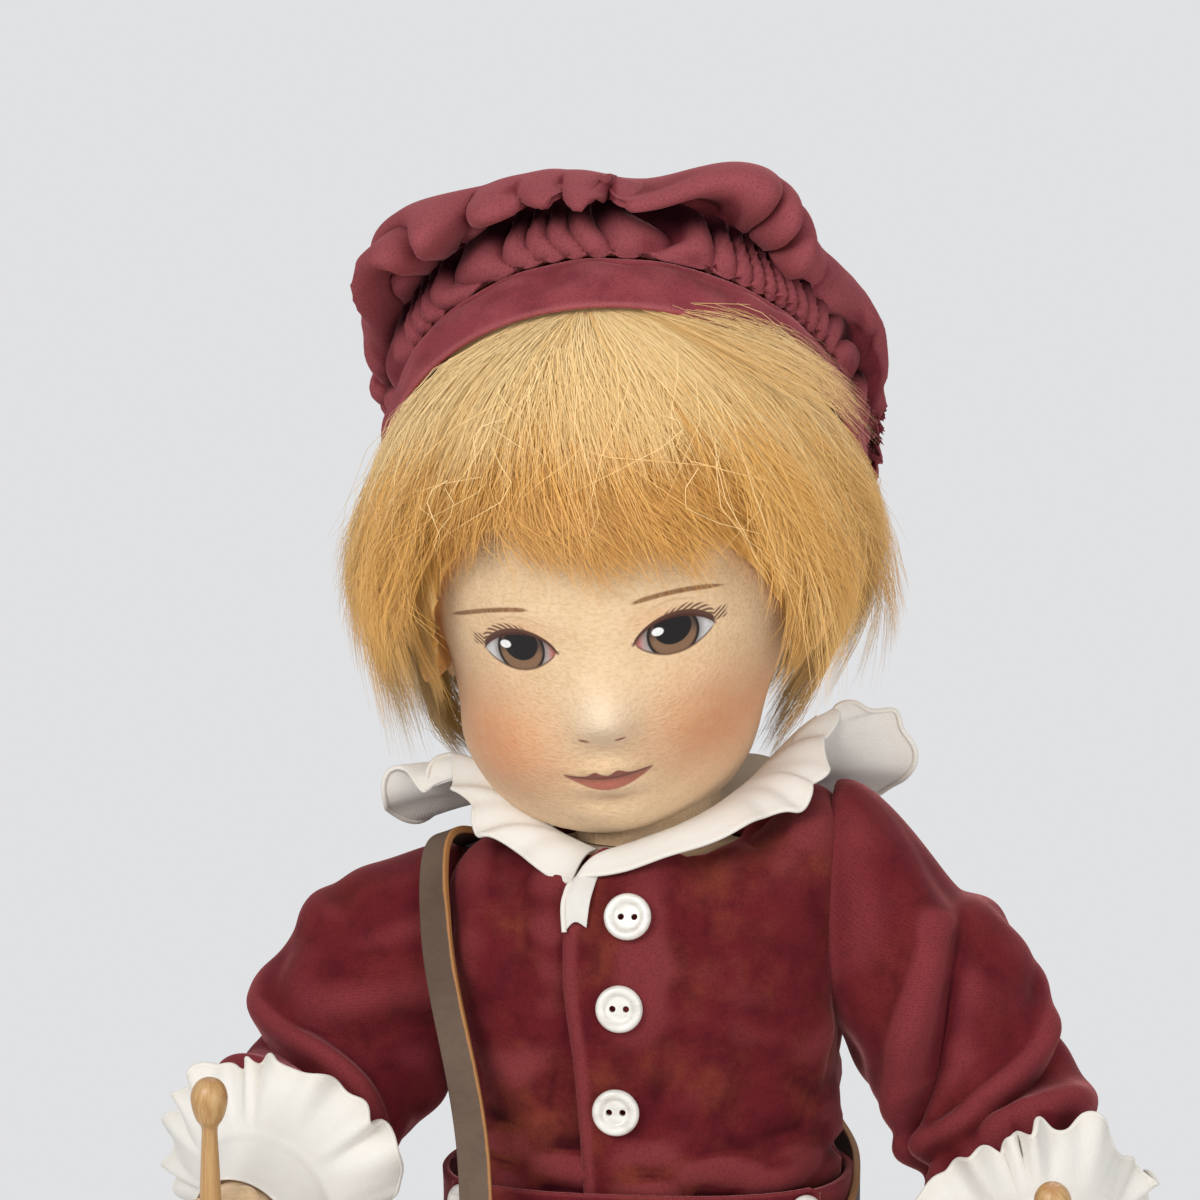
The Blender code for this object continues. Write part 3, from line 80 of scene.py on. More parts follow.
class Side(Enum):
    """The doll's two sides, with the sign of X."""

    LEFT = 1
    RIGHT = -1

    @property
    def word(self) -> str:
        """The side as the pieces' names have it."""
        return self.name.lower()


def ramp(low: float, high: float, value: Array) -> Array:
    """0 below low, 1 above high, and an S curve between them.

    Args:
        low: Where the curve starts.
        high: Where it ends.
        value: What is measured.

    Returns:
        The share from 0 to 1.
    """
    share = np.clip((np.asarray(value, float) - low) / (high - low), 0.0, 1.0)
    return share * share * (3.0 - 2.0 * share)


def fade(low: float, high: float, value: Array) -> Array:
    """1 below low, 0 above high, and an S curve between them."""
    return 1.0 - ramp(low, high, value)


def hill(distance: Array, width: float) -> Array:
    """A bell curve of height 1."""
    return np.exp(-(np.asarray(distance, float) / width) ** 2)


def through(values: Sequence[float], share: Array) -> Array:
    """Smooth curve through evenly spaced values.

    Args:
        values: The values, numbers or rows of numbers.
        share: Where to read the curve, from 0 to 1.

    Returns:
        The curve's values there.
    """
    rows = np.asarray(values, float)
    last = len(rows) - 1
    place = np.clip(np.asarray(share, float), 0.0, 1.0) * last
    index = np.minimum(place.astype(int), last - 1)
    part = place - index
    if rows.ndim > 1:
        part = part[..., None]
    before = rows[np.maximum(index - 1, 0)]
    start = rows[index]
    end = rows[index + 1]
    after = rows[np.minimum(index + 2, last)]
    square = part * part
    cube = square * part
    held = (2.0 * cube - 3.0 * square + 1.0) * start + (3.0 * square - 2.0 * cube) * end
    slopes = (cube - 2.0 * square + part) * (end - before) + (cube - square) * (after - start)
    return held + slopes / 2.0


def half_turn(angle: Array) -> Array:
    """The angle brought between -180 and 180 degrees."""
    return (np.asarray(angle, float) + 180.0) % 360.0 - 180.0


def unit(vectors: Array) -> Array:
    """The vectors at length 1."""
    return vectors / np.maximum(np.linalg.norm(vectors, axis=-1, keepdims=True), 1e-12)


def square_to(vectors: Array, ways: Array) -> Array:
    """The part of the vectors that is square to unit directions, at length 1."""
    return unit(vectors - ways * np.sum(vectors * ways, axis=-1, keepdims=True))


def point(*parts: Union[float, Array]) -> Array:
    """Rows of X, Y, Z from three arrays or numbers."""
    return np.stack(np.broadcast_arrays(*[np.asarray(part, float) for part in parts]), axis=-1)


def squared_ring(turn: Array, square: Union[float, Array]) -> Tuple[Array, Array]:
    """A rounded square's two coordinates. It is a circle where square is 2."""
    waves = (np.cos(turn), np.sin(turn))
    first, second = (np.copysign(np.abs(wave) ** (2.0 / square), wave) for wave in waves)
    return first, second


def directions(polar: Array, azimuth: Array) -> Array:
    """Directions at an angle from +Z, with azimuth 0 at the doll's front and 90 at its left. Degrees."""
    angle, turn = np.radians(polar), np.radians(azimuth)
    return point(np.sin(angle) * np.sin(turn), -np.sin(angle) * np.cos(turn), np.cos(angle))


def around(turn: Array, first: Array, second: Array) -> Array:
    """Directions round an axis, from the two that span its plane. Turn is in radians."""
    return first * np.cos(turn)[..., None] + second * np.sin(turn)[..., None]


def down_limb(v: Array, head: float, dome: float, length: float) -> Array:
    """Distance down a limb: over its rounded head up to that share of v, then along its length."""
    return np.where(v < head, -dome * np.cos(0.5 * np.pi * v / head), length * (v - head) / (1.0 - head))


def joint_place(name: str) -> Array:
    """A joint's place, from the record."""
    return np.array(JOINTS[name]["pos_m"])


def lifted(surface: Surface, u: Array, v: Array, distance: Array) -> Array:
    """Points a distance out of a surface along its normal.

    Args:
        surface: The surface.
        u: Place across it.
        v: Place along it.
        distance: How far out, in metres.

    Returns:
        The points.
    """
    step = 0.002
    across = surface(u + step, v) - surface(u - step, v)
    up = surface(u, np.minimum(v + step, 1.0)) - surface(u, np.maximum(v - step, 0.0))
    normal = unit(np.cross(across, up))
    return surface(u, v) + normal * np.asarray(distance, float)[..., None]


class Waves:
    """Smooth irregular waves: a sum of sines in seeded directions."""

    def __init__(self, seed: int, length: float, count: int = 12, stretch: Colour = (1.0, 1.0, 1.0)) -> None:
        """Draws the sines.

        Args:
            seed: Start of the random draws.
            length: A wave's usual length, in the units of the points.
            count: How many sines.
            stretch: Factor of the frequency on each axis.
        """
        rng = np.random.default_rng(seed)
        ways = unit(rng.normal(size=(count, 3))) * np.asarray(stretch)
        self.ways = ways * (TURN / length) * rng.uniform(0.6, 1.5, (count, 1))
        self.phase = rng.uniform(0.0, TURN, count)
        self.height = 1.6 / math.sqrt(count)

    def __call__(self, places: Array) -> Array:
        """The waves' height at the points, about -1 to 1."""
        return np.sin(places @ self.ways.T + self.phase).sum(axis=-1) * self.height


# Modelling with operators


def select_only(piece: Piece) -> None:
    """Selects one piece and makes it active."""
    bpy.ops.object.select_all(action="DESELECT")
    piece.select_set(True)
    bpy.context.view_layer.objects.active = piece


def places_of(piece: Piece) -> Array:
    """The places of a mesh's points, one row each."""
    flat = np.empty(len(piece.data.vertices) * 3)
    piece.data.vertices.foreach_get("co", flat)
    return flat.reshape(-1, 3)


def put_places(piece: Piece, places: Array) -> None:
    """Moves a mesh's points to the given places."""
    piece.data.vertices.foreach_set("co", np.ascontiguousarray(places, float).ravel())
    piece.data.update()


def write_uv(piece: Piece, flat: Array) -> None:
    """Writes a UV map from one pair of numbers for each point."""
    index = np.empty(len(piece.data.loops), dtype=np.int64)
    piece.data.loops.foreach_get("vertex_index", index)
    layer = piece.data.uv_layers[0]
    layer.uv.foreach_set("vector", np.ascontiguousarray(flat[index], dtype=np.float32).ravel())


def named(name: str) -> Piece:
    """Names the piece that an operator has just added."""
    piece = bpy.context.active_object
    piece.name = name
    piece.data.name = name
    return piece


def bent_grid(name: str, surface: Surface, across: int, along: int) -> Piece:
    """A grid bent to a surface.

    Args:
        name: The piece's name.
        surface: Gives the points from shares u and v.
        across: Faces along u.
        along: Faces along v.

    Returns:
        The piece, whose UV map holds u and v.
    """
    bpy.ops.object.select_all(action="DESELECT")
    bpy.ops.mesh.primitive_grid_add(x_subdivisions=across, y_subdivisions=along, size=2.0)
    piece = named(name)
    flat = places_of(piece)
    put_places(piece, surface((flat[:, 0] + 1.0) / 2.0, (flat[:, 1] + 1.0) / 2.0))
    return piece


def edit(piece: Piece, weld: bool = True, outward: bool = False, turn_over: bool = False,
         fill: bool = False) -> Piece:
    """Merges a mesh's doubles, and mends its openings and normals.

    Args:
        piece: The piece.
        weld: Whether doubles are merged.
        outward: Whether the faces of a closed form are turned outwards.
        turn_over: Whether all faces are turned over.
        fill: Whether open rims are filled.

    Returns:
        The piece.
    """
    select_only(piece)
    bpy.ops.object.mode_set(mode="EDIT")
    bpy.ops.mesh.select_all(action="SELECT")
    if weld:
        bpy.ops.mesh.remove_doubles(threshold=WELD)
    if fill:
        bpy.ops.mesh.select_all(action="DESELECT")
        bpy.ops.mesh.select_mode(type="EDGE")
        bpy.ops.mesh.select_non_manifold()
        bpy.ops.mesh.fill_holes(sides=0)
        bpy.ops.mesh.select_mode(type="VERT")
        bpy.ops.mesh.select_all(action="SELECT")
    if outward:
        bpy.ops.mesh.normals_make_consistent(inside=False)
    if turn_over:
        bpy.ops.mesh.flip_normals()
    bpy.ops.object.mode_set(mode="OBJECT")
    return piece


def apply(piece: Piece, kind: str, **settings: object) -> Piece:
    """Adds a modifier and applies it.

    Args:
        piece: The piece.
        kind: The modifier's type.
        **settings: Its settings.

    Returns:
        The piece.
    """
    select_only(piece)
    modifier = piece.modifiers.new(kind.lower(), kind)
    for name, value in settings.items():
        setattr(modifier, name, value)
    bpy.ops.object.modifier_apply(modifier=modifier.name)
    return piece


def thicken(piece: Piece, thickness: float, rim: int = 0) -> Piece:
    """Gives a sheet its thickness, outwards.

    Args:
        piece: The sheet.
        thickness: In metres.
        rim: Levels of subdivision that round its edges.

    Returns:
        The piece.
    """
    apply(piece, "SOLIDIFY", thickness=thickness, offset=1.0, use_quality_normals=True)
    if rim:
        apply(piece, "SUBSURF", levels=rim, render_levels=rim)
    return piece


def join(pieces: Sequence[Piece], name: str) -> Piece:
    """Joins pieces into the first one."""
    select_only(pieces[0])
    for piece in pieces[1:]:
        piece.select_set(True)
    bpy.ops.object.join()
    return named(name)


def turned(name: str, profile: Sequence[Tuple[float, float]], steps: int, smooth: int) -> Piece:
    """A shape turned round Z by bending a grid.

    Args:
        name: The piece's name.
        profile: Pairs of radius and height, from the top down the outside.
        steps: Faces round the axis.
        smooth: Faces along the profile for each of its steps. 1 keeps the steps straight.

    Returns:
        The closed piece, whose UV map goes round and along.
    """
    rows = np.asarray(profile, float)
    count = (len(rows) - 1) * smooth

    def surface(u: Array, v: Array) -> Array:
        place = (1.0 - v) * (len(rows) - 1)
        if smooth > 1:
            ring = through(rows, place / (len(rows) - 1))
        else:
            index = np.clip(np.round(place).astype(int), 0, len(rows) - 1)
            ring = rows[index]
        radius = np.maximum(ring[:, 0], 0.0)
        return point(radius * np.cos(TURN * u), radius * np.sin(TURN * u), ring[:, 1])

    return edit(bent_grid(name, surface, steps, count), outward=True)


def stand(piece: Piece, place: Array, way: Array) -> Piece:
    """Moves a shape from the origin to a place, with its Z along a direction, and applies that."""
    turn = Vector(way).to_track_quat("Z", "Y").to_matrix()
    put_places(piece, places_of(piece) @ np.array(turn).T + np.asarray(place))
    return piece


def tube(name: str, path: Array, radius: Union[float, Array], sides: int = 8, ring: bool = False) -> Piece:
    """A round cord along a path.

    Args:
        name: The piece's name.
        path: The points that it follows.
        radius: Its radius, or one for each point.
        sides: Faces round it.
        ring: Whether its ends meet.

    Returns:
        The piece, with closed ends.
    """
    count = len(path) - (0 if ring else 1)
    rows = np.vstack([path, path[:1]]) if ring else path
    way = np.gradient(rows, axis=0)
    if ring:
        way[0] = way[-1] = rows[1] - rows[-2]
    way = unit(way)
    side = np.zeros_like(rows)
    last = np.cross(way[0], (0.31, 0.17, 0.93))
    for index, step in enumerate(way):
        last = last - step * last.dot(step)
        last = last / np.linalg.norm(last)
        side[index] = last
    if ring:
        side[-1] = side[0]
    other = np.cross(way, side)
    size = np.broadcast_to(np.asarray(radius, float), (len(path),))
    size = np.append(size, size[0]) if ring else size

    def surface(u: Array, v: Array) -> Array:
        index = np.round(v * count).astype(int)
        return rows[index] + around(TURN * u, side[index], other[index]) * size[index][:, None]

    return edit(bent_grid(name, surface, sides, count), fill=not ring, outward=True)


def hemmed(piece: Piece, edge: Array, radius: float, ring: bool = False) -> Piece:
    """Joins a rolled hem to a sheet.

    Args:
        piece: The sheet.
        edge: The points that the hem follows.
        radius: The hem's radius.
        ring: Whether its ends meet.

    Returns:
        The piece, with the hem at the top of its UV map.
    """
    name = piece.name.split(".")[0]
    hem = tube(f"{name}_hem", edge, radius, ring=ring)
    write_uv(hem, np.tile((0.0, 1.0), (len(hem.data.vertices), 1)))
    return join([piece, hem], name)


# Shader maths


def math_node(operation: str, meaning: str, swapped: bool = False) -> Callable[..., "Term"]:
    """A method of Term that adds a Math node.

    Args:
        operation: What the node does.
        meaning: The method's docstring.
        swapped: Whether the other value comes first.

    Returns:
        The method.
    """
    def method(term: "Term", other: object = None) -> "Term":
        values = (other, term) if swapped else (term, other)
        sockets = {index: value for index, value in enumerate(values) if value is not None}
        return term.paint.node("ShaderNodeMath", {"operation": operation}, sockets)

    method.__doc__ = meaning
    return method


class Term:
    """A shader value. Python's operators on it add Math nodes."""

    def __init__(self, paint: "Paint", socket: bpy.types.NodeSocket) -> None:
        """Wraps a socket of a paint's node tree."""
        self.paint = paint
        self.socket = socket

    __add__ = __radd__ = math_node("ADD", "This value plus another.")
    __sub__ = math_node("SUBTRACT", "This value less another.")
    __rsub__ = math_node("SUBTRACT", "Another value less this one.", swapped=True)
    __mul__ = __rmul__ = math_node("MULTIPLY", "This value times another.")
    __pow__ = math_node("POWER", "This value to a power.")
    __abs__ = math_node("ABSOLUTE", "This value without its sign.")
    sign = math_node("SIGN", "-1, 0 or 1.")
    root = math_node("SQRT", "The square root.")
    sine = math_node("SINE", "The sine, in radians.")
    least = math_node("MINIMUM", "The smaller of this value and another.")
    most = math_node("MAXIMUM", "The larger of this value and another.")

    def far(self, other: "Term", first: float = 1.0, second: float = 1.0) -> "Term":
        """Distance over two axes, with a factor on each one's square."""
        return (self * self * first + other * other * second).root()

    def bell(self, width: float) -> "Term":
        """A bell curve of height 1 over this distance."""
        scaled = self * (1.0 / width)
        sockets = {0: math.e, 1: scaled * scaled * -1.0}
        return self.paint.node("ShaderNodeMath", {"operation": "POWER"}, sockets)

    def rise(self, low: float, high: float) -> "Term":
        """0 at low, 1 at high, and an S curve between them, either way round."""
        settings = {"interpolation_type": "SMOOTHSTEP"}
        if low <= high:
            return self.paint.node("ShaderNodeMapRange", settings, {0: self, 1: low, 2: high, 3: 0.0, 4: 1.0})
        return self.paint.node("ShaderNodeMapRange", settings, {0: self, 1: high, 2: low, 3: 1.0, 4: 0.0})


class Paint:
    """A material under construction."""

    def __init__(self, name: str) -> None:
        """Starts a material with one Principled shader."""
        self.material = bpy.data.materials.new(name)
        self.material.use_nodes = True
        self.tree = self.material.node_tree
        self.shader = self.tree.nodes["Principled BSDF"]

    def node(self, kind: str, settings: Optional[Dict[str, object]] = None,
             sockets: Optional[Dict[object, object]] = None, out: Union[int, str] = 0) -> Term:
        """Adds a node.

        Args:
            kind: The node's type.
            settings: Its settings, set first.
            sockets: Values or links of its sockets, by number or name.
            out: The output that is used.

        Returns:
            That output as a term.
        """
        made = self.tree.nodes.new(kind)
        for name, value in (settings or {}).items():
            setattr(made, name, value)
        for key, value in (sockets or {}).items():
            if isinstance(value, Term):
                self.tree.links.new(value.socket, made.inputs[key])
            else:
                made.inputs[key].default_value = value
        return Term(self, made.outputs[out])

    def places(self) -> Term:
        """Object coordinates, in metres."""
        return self.node("ShaderNodeTexCoord", out="Object")

    def uv(self) -> Tuple[Term, Term]:
        """The two coordinates of the piece's UV map."""
        split = self.node("ShaderNodeSeparateXYZ", sockets={0: self.node("ShaderNodeTexCoord", out="UV")})
        return split, Term(self, split.socket.node.outputs[1])

    def noise(self, scale: float, detail: float = 2.0, rough: float = 0.5, where: Optional[Term] = None,
              stretch: Optional[Colour] = None) -> Term:
        """Noise from 0 to 1.

        Args:
            scale: Its scale, in waves per metre on Object coordinates.
            detail: Its octaves.
            rough: How strong the finer octaves are.
            where: Its coordinates, if not the Object ones.
            stretch: Factors of the coordinates.

        Returns:
            The noise.
        """
        where = where or self.places()
        if stretch:
            where = self.node("ShaderNodeVectorMath", {"operation": "MULTIPLY"}, {0: where, 1: stretch})
        sockets = {"Vector": where, "Scale": scale, "Detail": detail, "Roughness": rough}
        return self.node("ShaderNodeTexNoise", {"noise_dimensions": "3D"}, sockets)

    def mix(self, share: object, first: object, second: object) -> Term:
        """A colour between two, by a share."""
        sockets: Dict[object, object] = {0: share}
        for key, value in ((6, first), (7, second)):
            sockets[key] = value if isinstance(value, Term) else (*value, 1.0)
        return self.node("ShaderNodeMix", {"data_type": "RGBA"}, sockets, 2)

    def set(self, **values: object) -> "Paint":
        """Sets or links the shader's sockets, with _ for a space in their names."""
        for name, value in values.items():
            socket = self.shader.inputs[name.replace("_", " ")]
            if isinstance(value, Term):
                self.tree.links.new(value.socket, socket)
            elif isinstance(value, tuple):
                socket.default_value = (*value, 1.0)
            else:
                socket.default_value = value
        return self

    def bump(self, height: Term, depth: float) -> "Paint":
        """Relief on the surface. Depth is what a height of 1 stands for, in metres."""
        sockets = {"Height": height, "Distance": depth, "Strength": 1.0}
        return self.set(Normal=self.node("ShaderNodeBump", {}, sockets))


@dataclass(frozen=True)
class Felt:
    """Pressed wool felt, with a short fuzz and faint mottling."""

    name: str
    colour: Colour
    shade: Colour

    def paint(self) -> Paint:
        """The felt without anything painted on it."""
        paint = Paint(self.name)
        mottle = paint.noise(140.0, 4.0, 0.6)
        fibre = paint.noise(1500.0, 3.0, 0.65, stretch=(0.5, 1.0, 1.0))
        share = mottle.rise(0.30, 0.75) * 0.4 + fibre.rise(0.36, 0.58) * 0.6
        paint.set(Base_Color=paint.mix(share, self.shade, self.colour))
        paint.set(Roughness=0.92, Specular_IOR_Level=0.2, Sheen_Weight=0.12, Sheen_Roughness=0.5)
        return paint.bump(fibre + mottle * 0.6, 0.00038)

    def material(self) -> bpy.types.Material:
        """The finished material."""
        return self.paint().material


@dataclass(frozen=True)
class PaintedFace:
    """The doll's painted face on felt. Its UV map holds X and Z of the head's frame, 0.1 m to a unit.

    Lengths are millimetres. x is across the face and z up it.
    """

    felt: Felt
    blush: Colour = (0.72, 0.265, 0.105)
    lip: Colour = (0.34, 0.085, 0.062)
    dark_lip: Colour = (0.22, 0.042, 0.036)
    iris: Colour = (0.085, 0.055, 0.042)
    light_iris: Colour = (0.235, 0.130, 0.074)
    black: Colour = (0.014, 0.012, 0.012)
    line: Colour = (0.075, 0.026, 0.018)
    brow: Colour = (0.235, 0.105, 0.042)
    white: Colour = (0.60, 0.58, 0.56)
    # nose is the colour of a painted highlight on the tip of the nose.
    nose: Colour = (0.95, 0.77, 0.58)
    pink: Colour = (0.45, 0.11, 0.085)

    def material(self) -> bpy.types.Material:
        """The felt with the face painted over it."""
        paint = self.felt.paint()
        first, second = paint.uv()
        x = (first - 0.5) * 100.0
        z = (second - 0.5) * 100.0
        colour = Term(paint, paint.shader.inputs["Base Color"].links[0].from_socket)
        rubbed = paint.noise(420.0, 3.0, 0.6)
        colour = self._blush(paint, colour, x, z, rubbed)
        colour = self._mouth(paint, colour, x, z, rubbed)
        colour = self._eyes(paint, colour, x, z, rubbed)
        paint.set(Base_Color=colour)
        return paint.material

    def _blush(self, paint: Paint, colour: Term, x: Term, z: Term, rubbed: Term) -> Term:
        """Blush on cheeks, chin and lids, and the nostrils."""
        aside = abs(x + 1.2)
        cheek = (aside - 22.0).far(z + 17.5).bell(13.5)
        colour = paint.mix(cheek * (0.52 + rubbed * 0.45), colour, self.blush)
        lid = (aside - 14.5).bell(7.5) * (z - 8.6 - x * 0.04).bell(2.6)
        colour = paint.mix(lid * 0.25, colour, self.blush)
        # Painted highlight on the tip of the nose.
        bulb = (x + 0.2).far(z + 8.6, 1.0, 0.8).bell(5.6)
        colour = paint.mix(bulb * 0.55, colour, self.nose)
        # Painted shade in the crease between the lower lip and the chin.
        crease = (x + 1.8).bell(3.6) * (z + 29.6).bell(0.9)
        colour = paint.mix(crease * 0.35, colour, self.lip)
        hole_x = aside - 3.6
        slant = z + 14.2 - hole_x * 0.22
        hole = hole_x.far(slant, 0.45, 5.0)
        return paint.mix(hole.rise(1.0, 0.5) * 0.85, colour, self.dark_lip)

    def _mouth(self, paint: Paint, colour: Term, x: Term, z: Term, rubbed: Term) -> Term:
        """Upper lip with its bow, fuller lower lip, and the line between them."""
        across = x + 1.6
        square = across * across
        level = z + 24.3 - square * 0.020
        thin = (1.0 - square * (1.0 / 78.0)).most(0.0)
        upper = thin ** 0.9 * (0.95 + (abs(across) - 2.3).bell(1.5) * 1.35)
        lower = thin ** 0.75 * 2.35
        on_upper = (level - upper).rise(0.22, -0.22) * level.rise(-0.2, 0.1)
        on_lower = (level + lower).rise(-0.28, 0.25) * level.rise(0.1, -0.2)
        inside = abs(across).rise(9.1, 8.5)
        colour = paint.mix(on_upper * inside * (0.80 + rubbed * 0.2), colour, self.dark_lip)
        tone = paint.mix((level + 1.6).bell(0.9) * across.bell(4.0) * 0.45, self.lip, self.pink)
        colour = paint.mix(on_lower * inside * (0.78 + rubbed * 0.2), colour, tone)
        parting = (level - 0.1).bell(0.26) * abs(across).rise(9.2, 7.5)
        return paint.mix(parting * 0.70, colour, self.line)

    def _eyes(self, paint: Paint, colour: Term, x: Term, z: Term, rubbed: Term) -> Term:
        """Both eyes, lashes and brows. a is the distance outwards from an eye's middle, b the height."""
        shifted = x + 0.4
        hand = shifted.sign()
        a = abs(shifted) - 15.2
        b = z - 4.4 - x * 0.04
        square = a * a * (1.0 / 58.0)
        full = (1.0 - square).most(0.0)
        top = full ** 0.75 * 3.8 + a * 0.04
        bottom = full ** 0.85 * -3.7
        opening = (b - top).rise(0.2, -0.2) * (b - bottom).rise(-0.2, 0.2) * abs(a).rise(7.7, 7.3)
        ball = paint.mix((a + 7.0).bell(1.4) * 0.95, self.white, self.pink)
        # Painted shade under the upper lid darkens the top of the eye white.
        ball = paint.mix((b - top).rise(-1.8, 0.0) * 0.6, ball, self.iris)
        away = (a + 0.2).far(b - 0.3)
        ball = paint.mix(away.rise(6.3, 4.9) * 0.55, ball, self.iris)
        ring = paint.mix(b.rise(1.6, -1.2), self.iris, self.light_iris)
        ring = paint.mix(away.rise(4.1, 4.7), ring, self.black)
        ball = paint.mix(away.rise(5.1, 4.8), ball, ring)
        dark = (a + 0.2).far(b - 1.4, 0.88)
        ball = paint.mix(dark.rise(3.5, 3.2), ball, self.black)
        signed = a * hand
        spark = (signed + 3.0).far(b - 1.2, 0.8, 1.5)
        ball = paint.mix(spark.rise(1.15, 0.85), ball, (0.86, 0.85, 0.83))
        colour = paint.mix(opening, colour, ball)
        under = (abs(b - bottom + 0.05) - 0.16).rise(0.22, -0.1) * abs(a).rise(7.9, 6.6)
        colour = paint.mix(under * 0.75, colour, self.line)
        wide = a.rise(-6.0, 5.0) * 0.36 + 0.36
        lid = (abs(b - top - 0.1) - wide).rise(0.2, -0.12) * abs(a + 0.1).rise(8.3, 7.4)
        above = b - top
        hairs = ((a - above * 1.3) * 5.6 + rubbed * 1.6).sine().rise(-0.55, 0.05)
        reach = (above - a.rise(-6.0, 6.0) * 2.3 - 0.5 + rubbed * 0.9).rise(0.4, -0.3)
        lashes = hairs * reach * above.rise(-0.1, 0.2) * a.rise(-5.0, -1.5) * a.rise(10.4, 9.4)
        colour = paint.mix(lid.most(lashes * 0.85) * 0.95, colour, self.line)
        crease = (abs(b - top - 3.1) - 0.1).rise(0.35, -0.1) * abs(a).rise(6.5, 3.0)
        colour = paint.mix(crease * 0.22, colour, self.brow)
        along = abs(shifted) - 17.8 + hand * 2.35
        arch = b - (8.2 + hand * 0.2 + along * (hand * 0.0605 - 0.0975) - along * along * 0.0140)
        thick = along.rise(-9.0, -5.0) * along.rise(11.0, 6.0) * 0.40
        strokes = paint.noise(1300.0, 2.0, 0.5, stretch=(1.0, 1.0, 0.5))
        brow = (abs(arch) - thick).rise(0.30, -0.16) * along.rise(-8.2, -6.6) * along.rise(10.5, 8.8)
        return paint.mix(brow * (0.65 + strokes * 0.5), colour, self.brow)


@dataclass(frozen=True)
class Velvet:
    """Cotton velvet with a worn nap and fine twill lines that follow the piece's UV map."""

    name: str
    colour: Colour
    rubbed: Colour
    # deep is the dark of the nap, and also the colour of the painted shade in folds and under the crown's
    # roll.
    deep: Colour
    # ridge is a painted highlight on the ridges of folds.
    ridge: Colour
    twill: Tuple[float, float] = (0.0, 0.0)
    # Where along v a painted shadow band lies, in the crease under the crown's roll; 0 for none.
    pocket: float = 0.0
    sheen: float = 0.55

    def material(self) -> bpy.types.Material:
        """The finished material."""
        paint = Paint(self.name)
        patches = paint.noise(55.0, 4.0, 0.62)
        streaks = paint.noise(150.0, 3.0, 0.6)
        pile = paint.noise(2600.0, 2.0, 0.6)
        hollow = paint.node("ShaderNodeAttribute", {"attribute_name": HOLLOW}, {}, "Fac")
        u, v = paint.uv()
        lines = ((u * self.twill[0] + v * self.twill[1]).sine() * 0.5 + 0.5)
        colour = paint.mix(patches.rise(0.42, 0.70), self.colour, self.rubbed)
        colour = paint.mix(streaks.rise(0.60, 0.30) * 0.35, colour, self.deep)
        # Painted highlight on ridges and painted shade in folds, from the hollow attribute.
        colour = paint.mix(hollow.rise(0.48, 0.10) * 0.75, colour, self.ridge)
        colour = paint.mix(hollow.rise(0.52, 0.92) * 0.90, colour, self.deep)
        # A painted shadow band in the crease under the crown's roll.
        if self.pocket:
            inside = (v - self.pocket).bell(0.11) * (0.75 + streaks * 0.5)
            colour = paint.mix(inside.least(1.0), colour, tuple(0.45 * part for part in self.deep))
        colour = paint.mix(lines * 0.12 + pile.rise(0.55, 0.35) * 0.25, colour, self.deep)
        paint.set(Base_Color=colour, Roughness=0.95, Specular_IOR_Level=0.05)
        paint.set(Sheen_Weight=self.sheen, Sheen_Roughness=0.30, Sheen_Tint=(1.0, 0.40, 0.40))
        return paint.bump(pile + streaks * 0.4, 0.00010).material


@dataclass(frozen=True)
class Cotton:
    """Thin white cotton lawn, woven, and a little yellowed at its hems."""

    name: str = "white_lawn"
    colour: Colour = (0.80, 0.765, 0.705)
    aged: Colour = (0.74, 0.675, 0.57)
    threads: Tuple[float, float] = (3200.0, 240.0)

    def material(self) -> bpy.types.Material:
        """The finished material."""
        paint = Paint(self.name)
        u, v = paint.uv()
        weave = (u * self.threads[0]).sine() * (v * self.threads[1]).sine()
        cloud = paint.noise(70.0, 3.0, 0.6)
        slub = paint.noise(900.0, 2.0, 0.5)
        share = v.rise(0.80, 1.0) * 0.35 + cloud.rise(0.55, 0.8) * 0.45
        paint.set(Base_Color=paint.mix(share, self.colour, self.aged))
        paint.set(Roughness=0.85, Specular_IOR_Level=0.25, Sheen_Weight=0.15, Sheen_Roughness=0.5)
        return paint.bump(weave * 0.25 + slub, 0.00009).material


@dataclass(frozen=True)
class Mohair:
    """Golden mohair. The UV map holds each hair's tone and the place along it."""

    name: str = "golden_mohair"
    dark: Colour = (0.45, 0.190, 0.038)
    gold: Colour = (0.82, 0.430, 0.108)
    pale: Colour = (1.00, 0.72, 0.350)
    # A painted glow: the hairs give off their own colour, which lifts the shade between them.
    glow: float = 0.09

    def material(self) -> bpy.types.Material:
        """The finished material."""
        paint = Paint(self.name)
        tone, along = paint.uv()
        colour = paint.mix(tone.rise(0.0, 0.55), self.dark, self.gold)
        colour = paint.mix(tone.rise(0.45, 1.0), colour, self.pale)
        colour = paint.mix(along.rise(0.35, 1.0) * 0.20, colour, self.gold)
        # The emission is a painted glow that lifts the shade between hairs.
        paint.set(Base_Color=colour, Emission_Color=colour, Emission_Strength=self.glow)
        paint.set(Roughness=0.50, Specular_IOR_Level=0.40)
        paint.set(Sheen_Weight=0.3, Sheen_Roughness=0.4, Sheen_Tint=(1.0, 0.84, 0.58))
        return paint.material


@dataclass(frozen=True)
class Shell:
    """Polished shell with faint clouds and a bright skin."""

    name: str = "button_shell"
    colour: Colour = (0.80, 0.775, 0.71)
    cloud: Colour = (0.66, 0.62, 0.56)

    def material(self) -> bpy.types.Material:
        """The finished material."""
        paint = Paint(self.name)
        bands = paint.noise(260.0, 4.0, 0.6, stretch=(1.0, 1.0, 2.4))
        fine = paint.noise(1500.0, 2.0, 0.5)
        paint.set(Base_Color=paint.mix(bands.rise(0.40, 0.72), self.colour, self.cloud))
        paint.set(Roughness=0.22 + fine * 0.16, Coat_Weight=0.5, Coat_Roughness=0.12)
        return paint.bump(bands, 0.00006).material


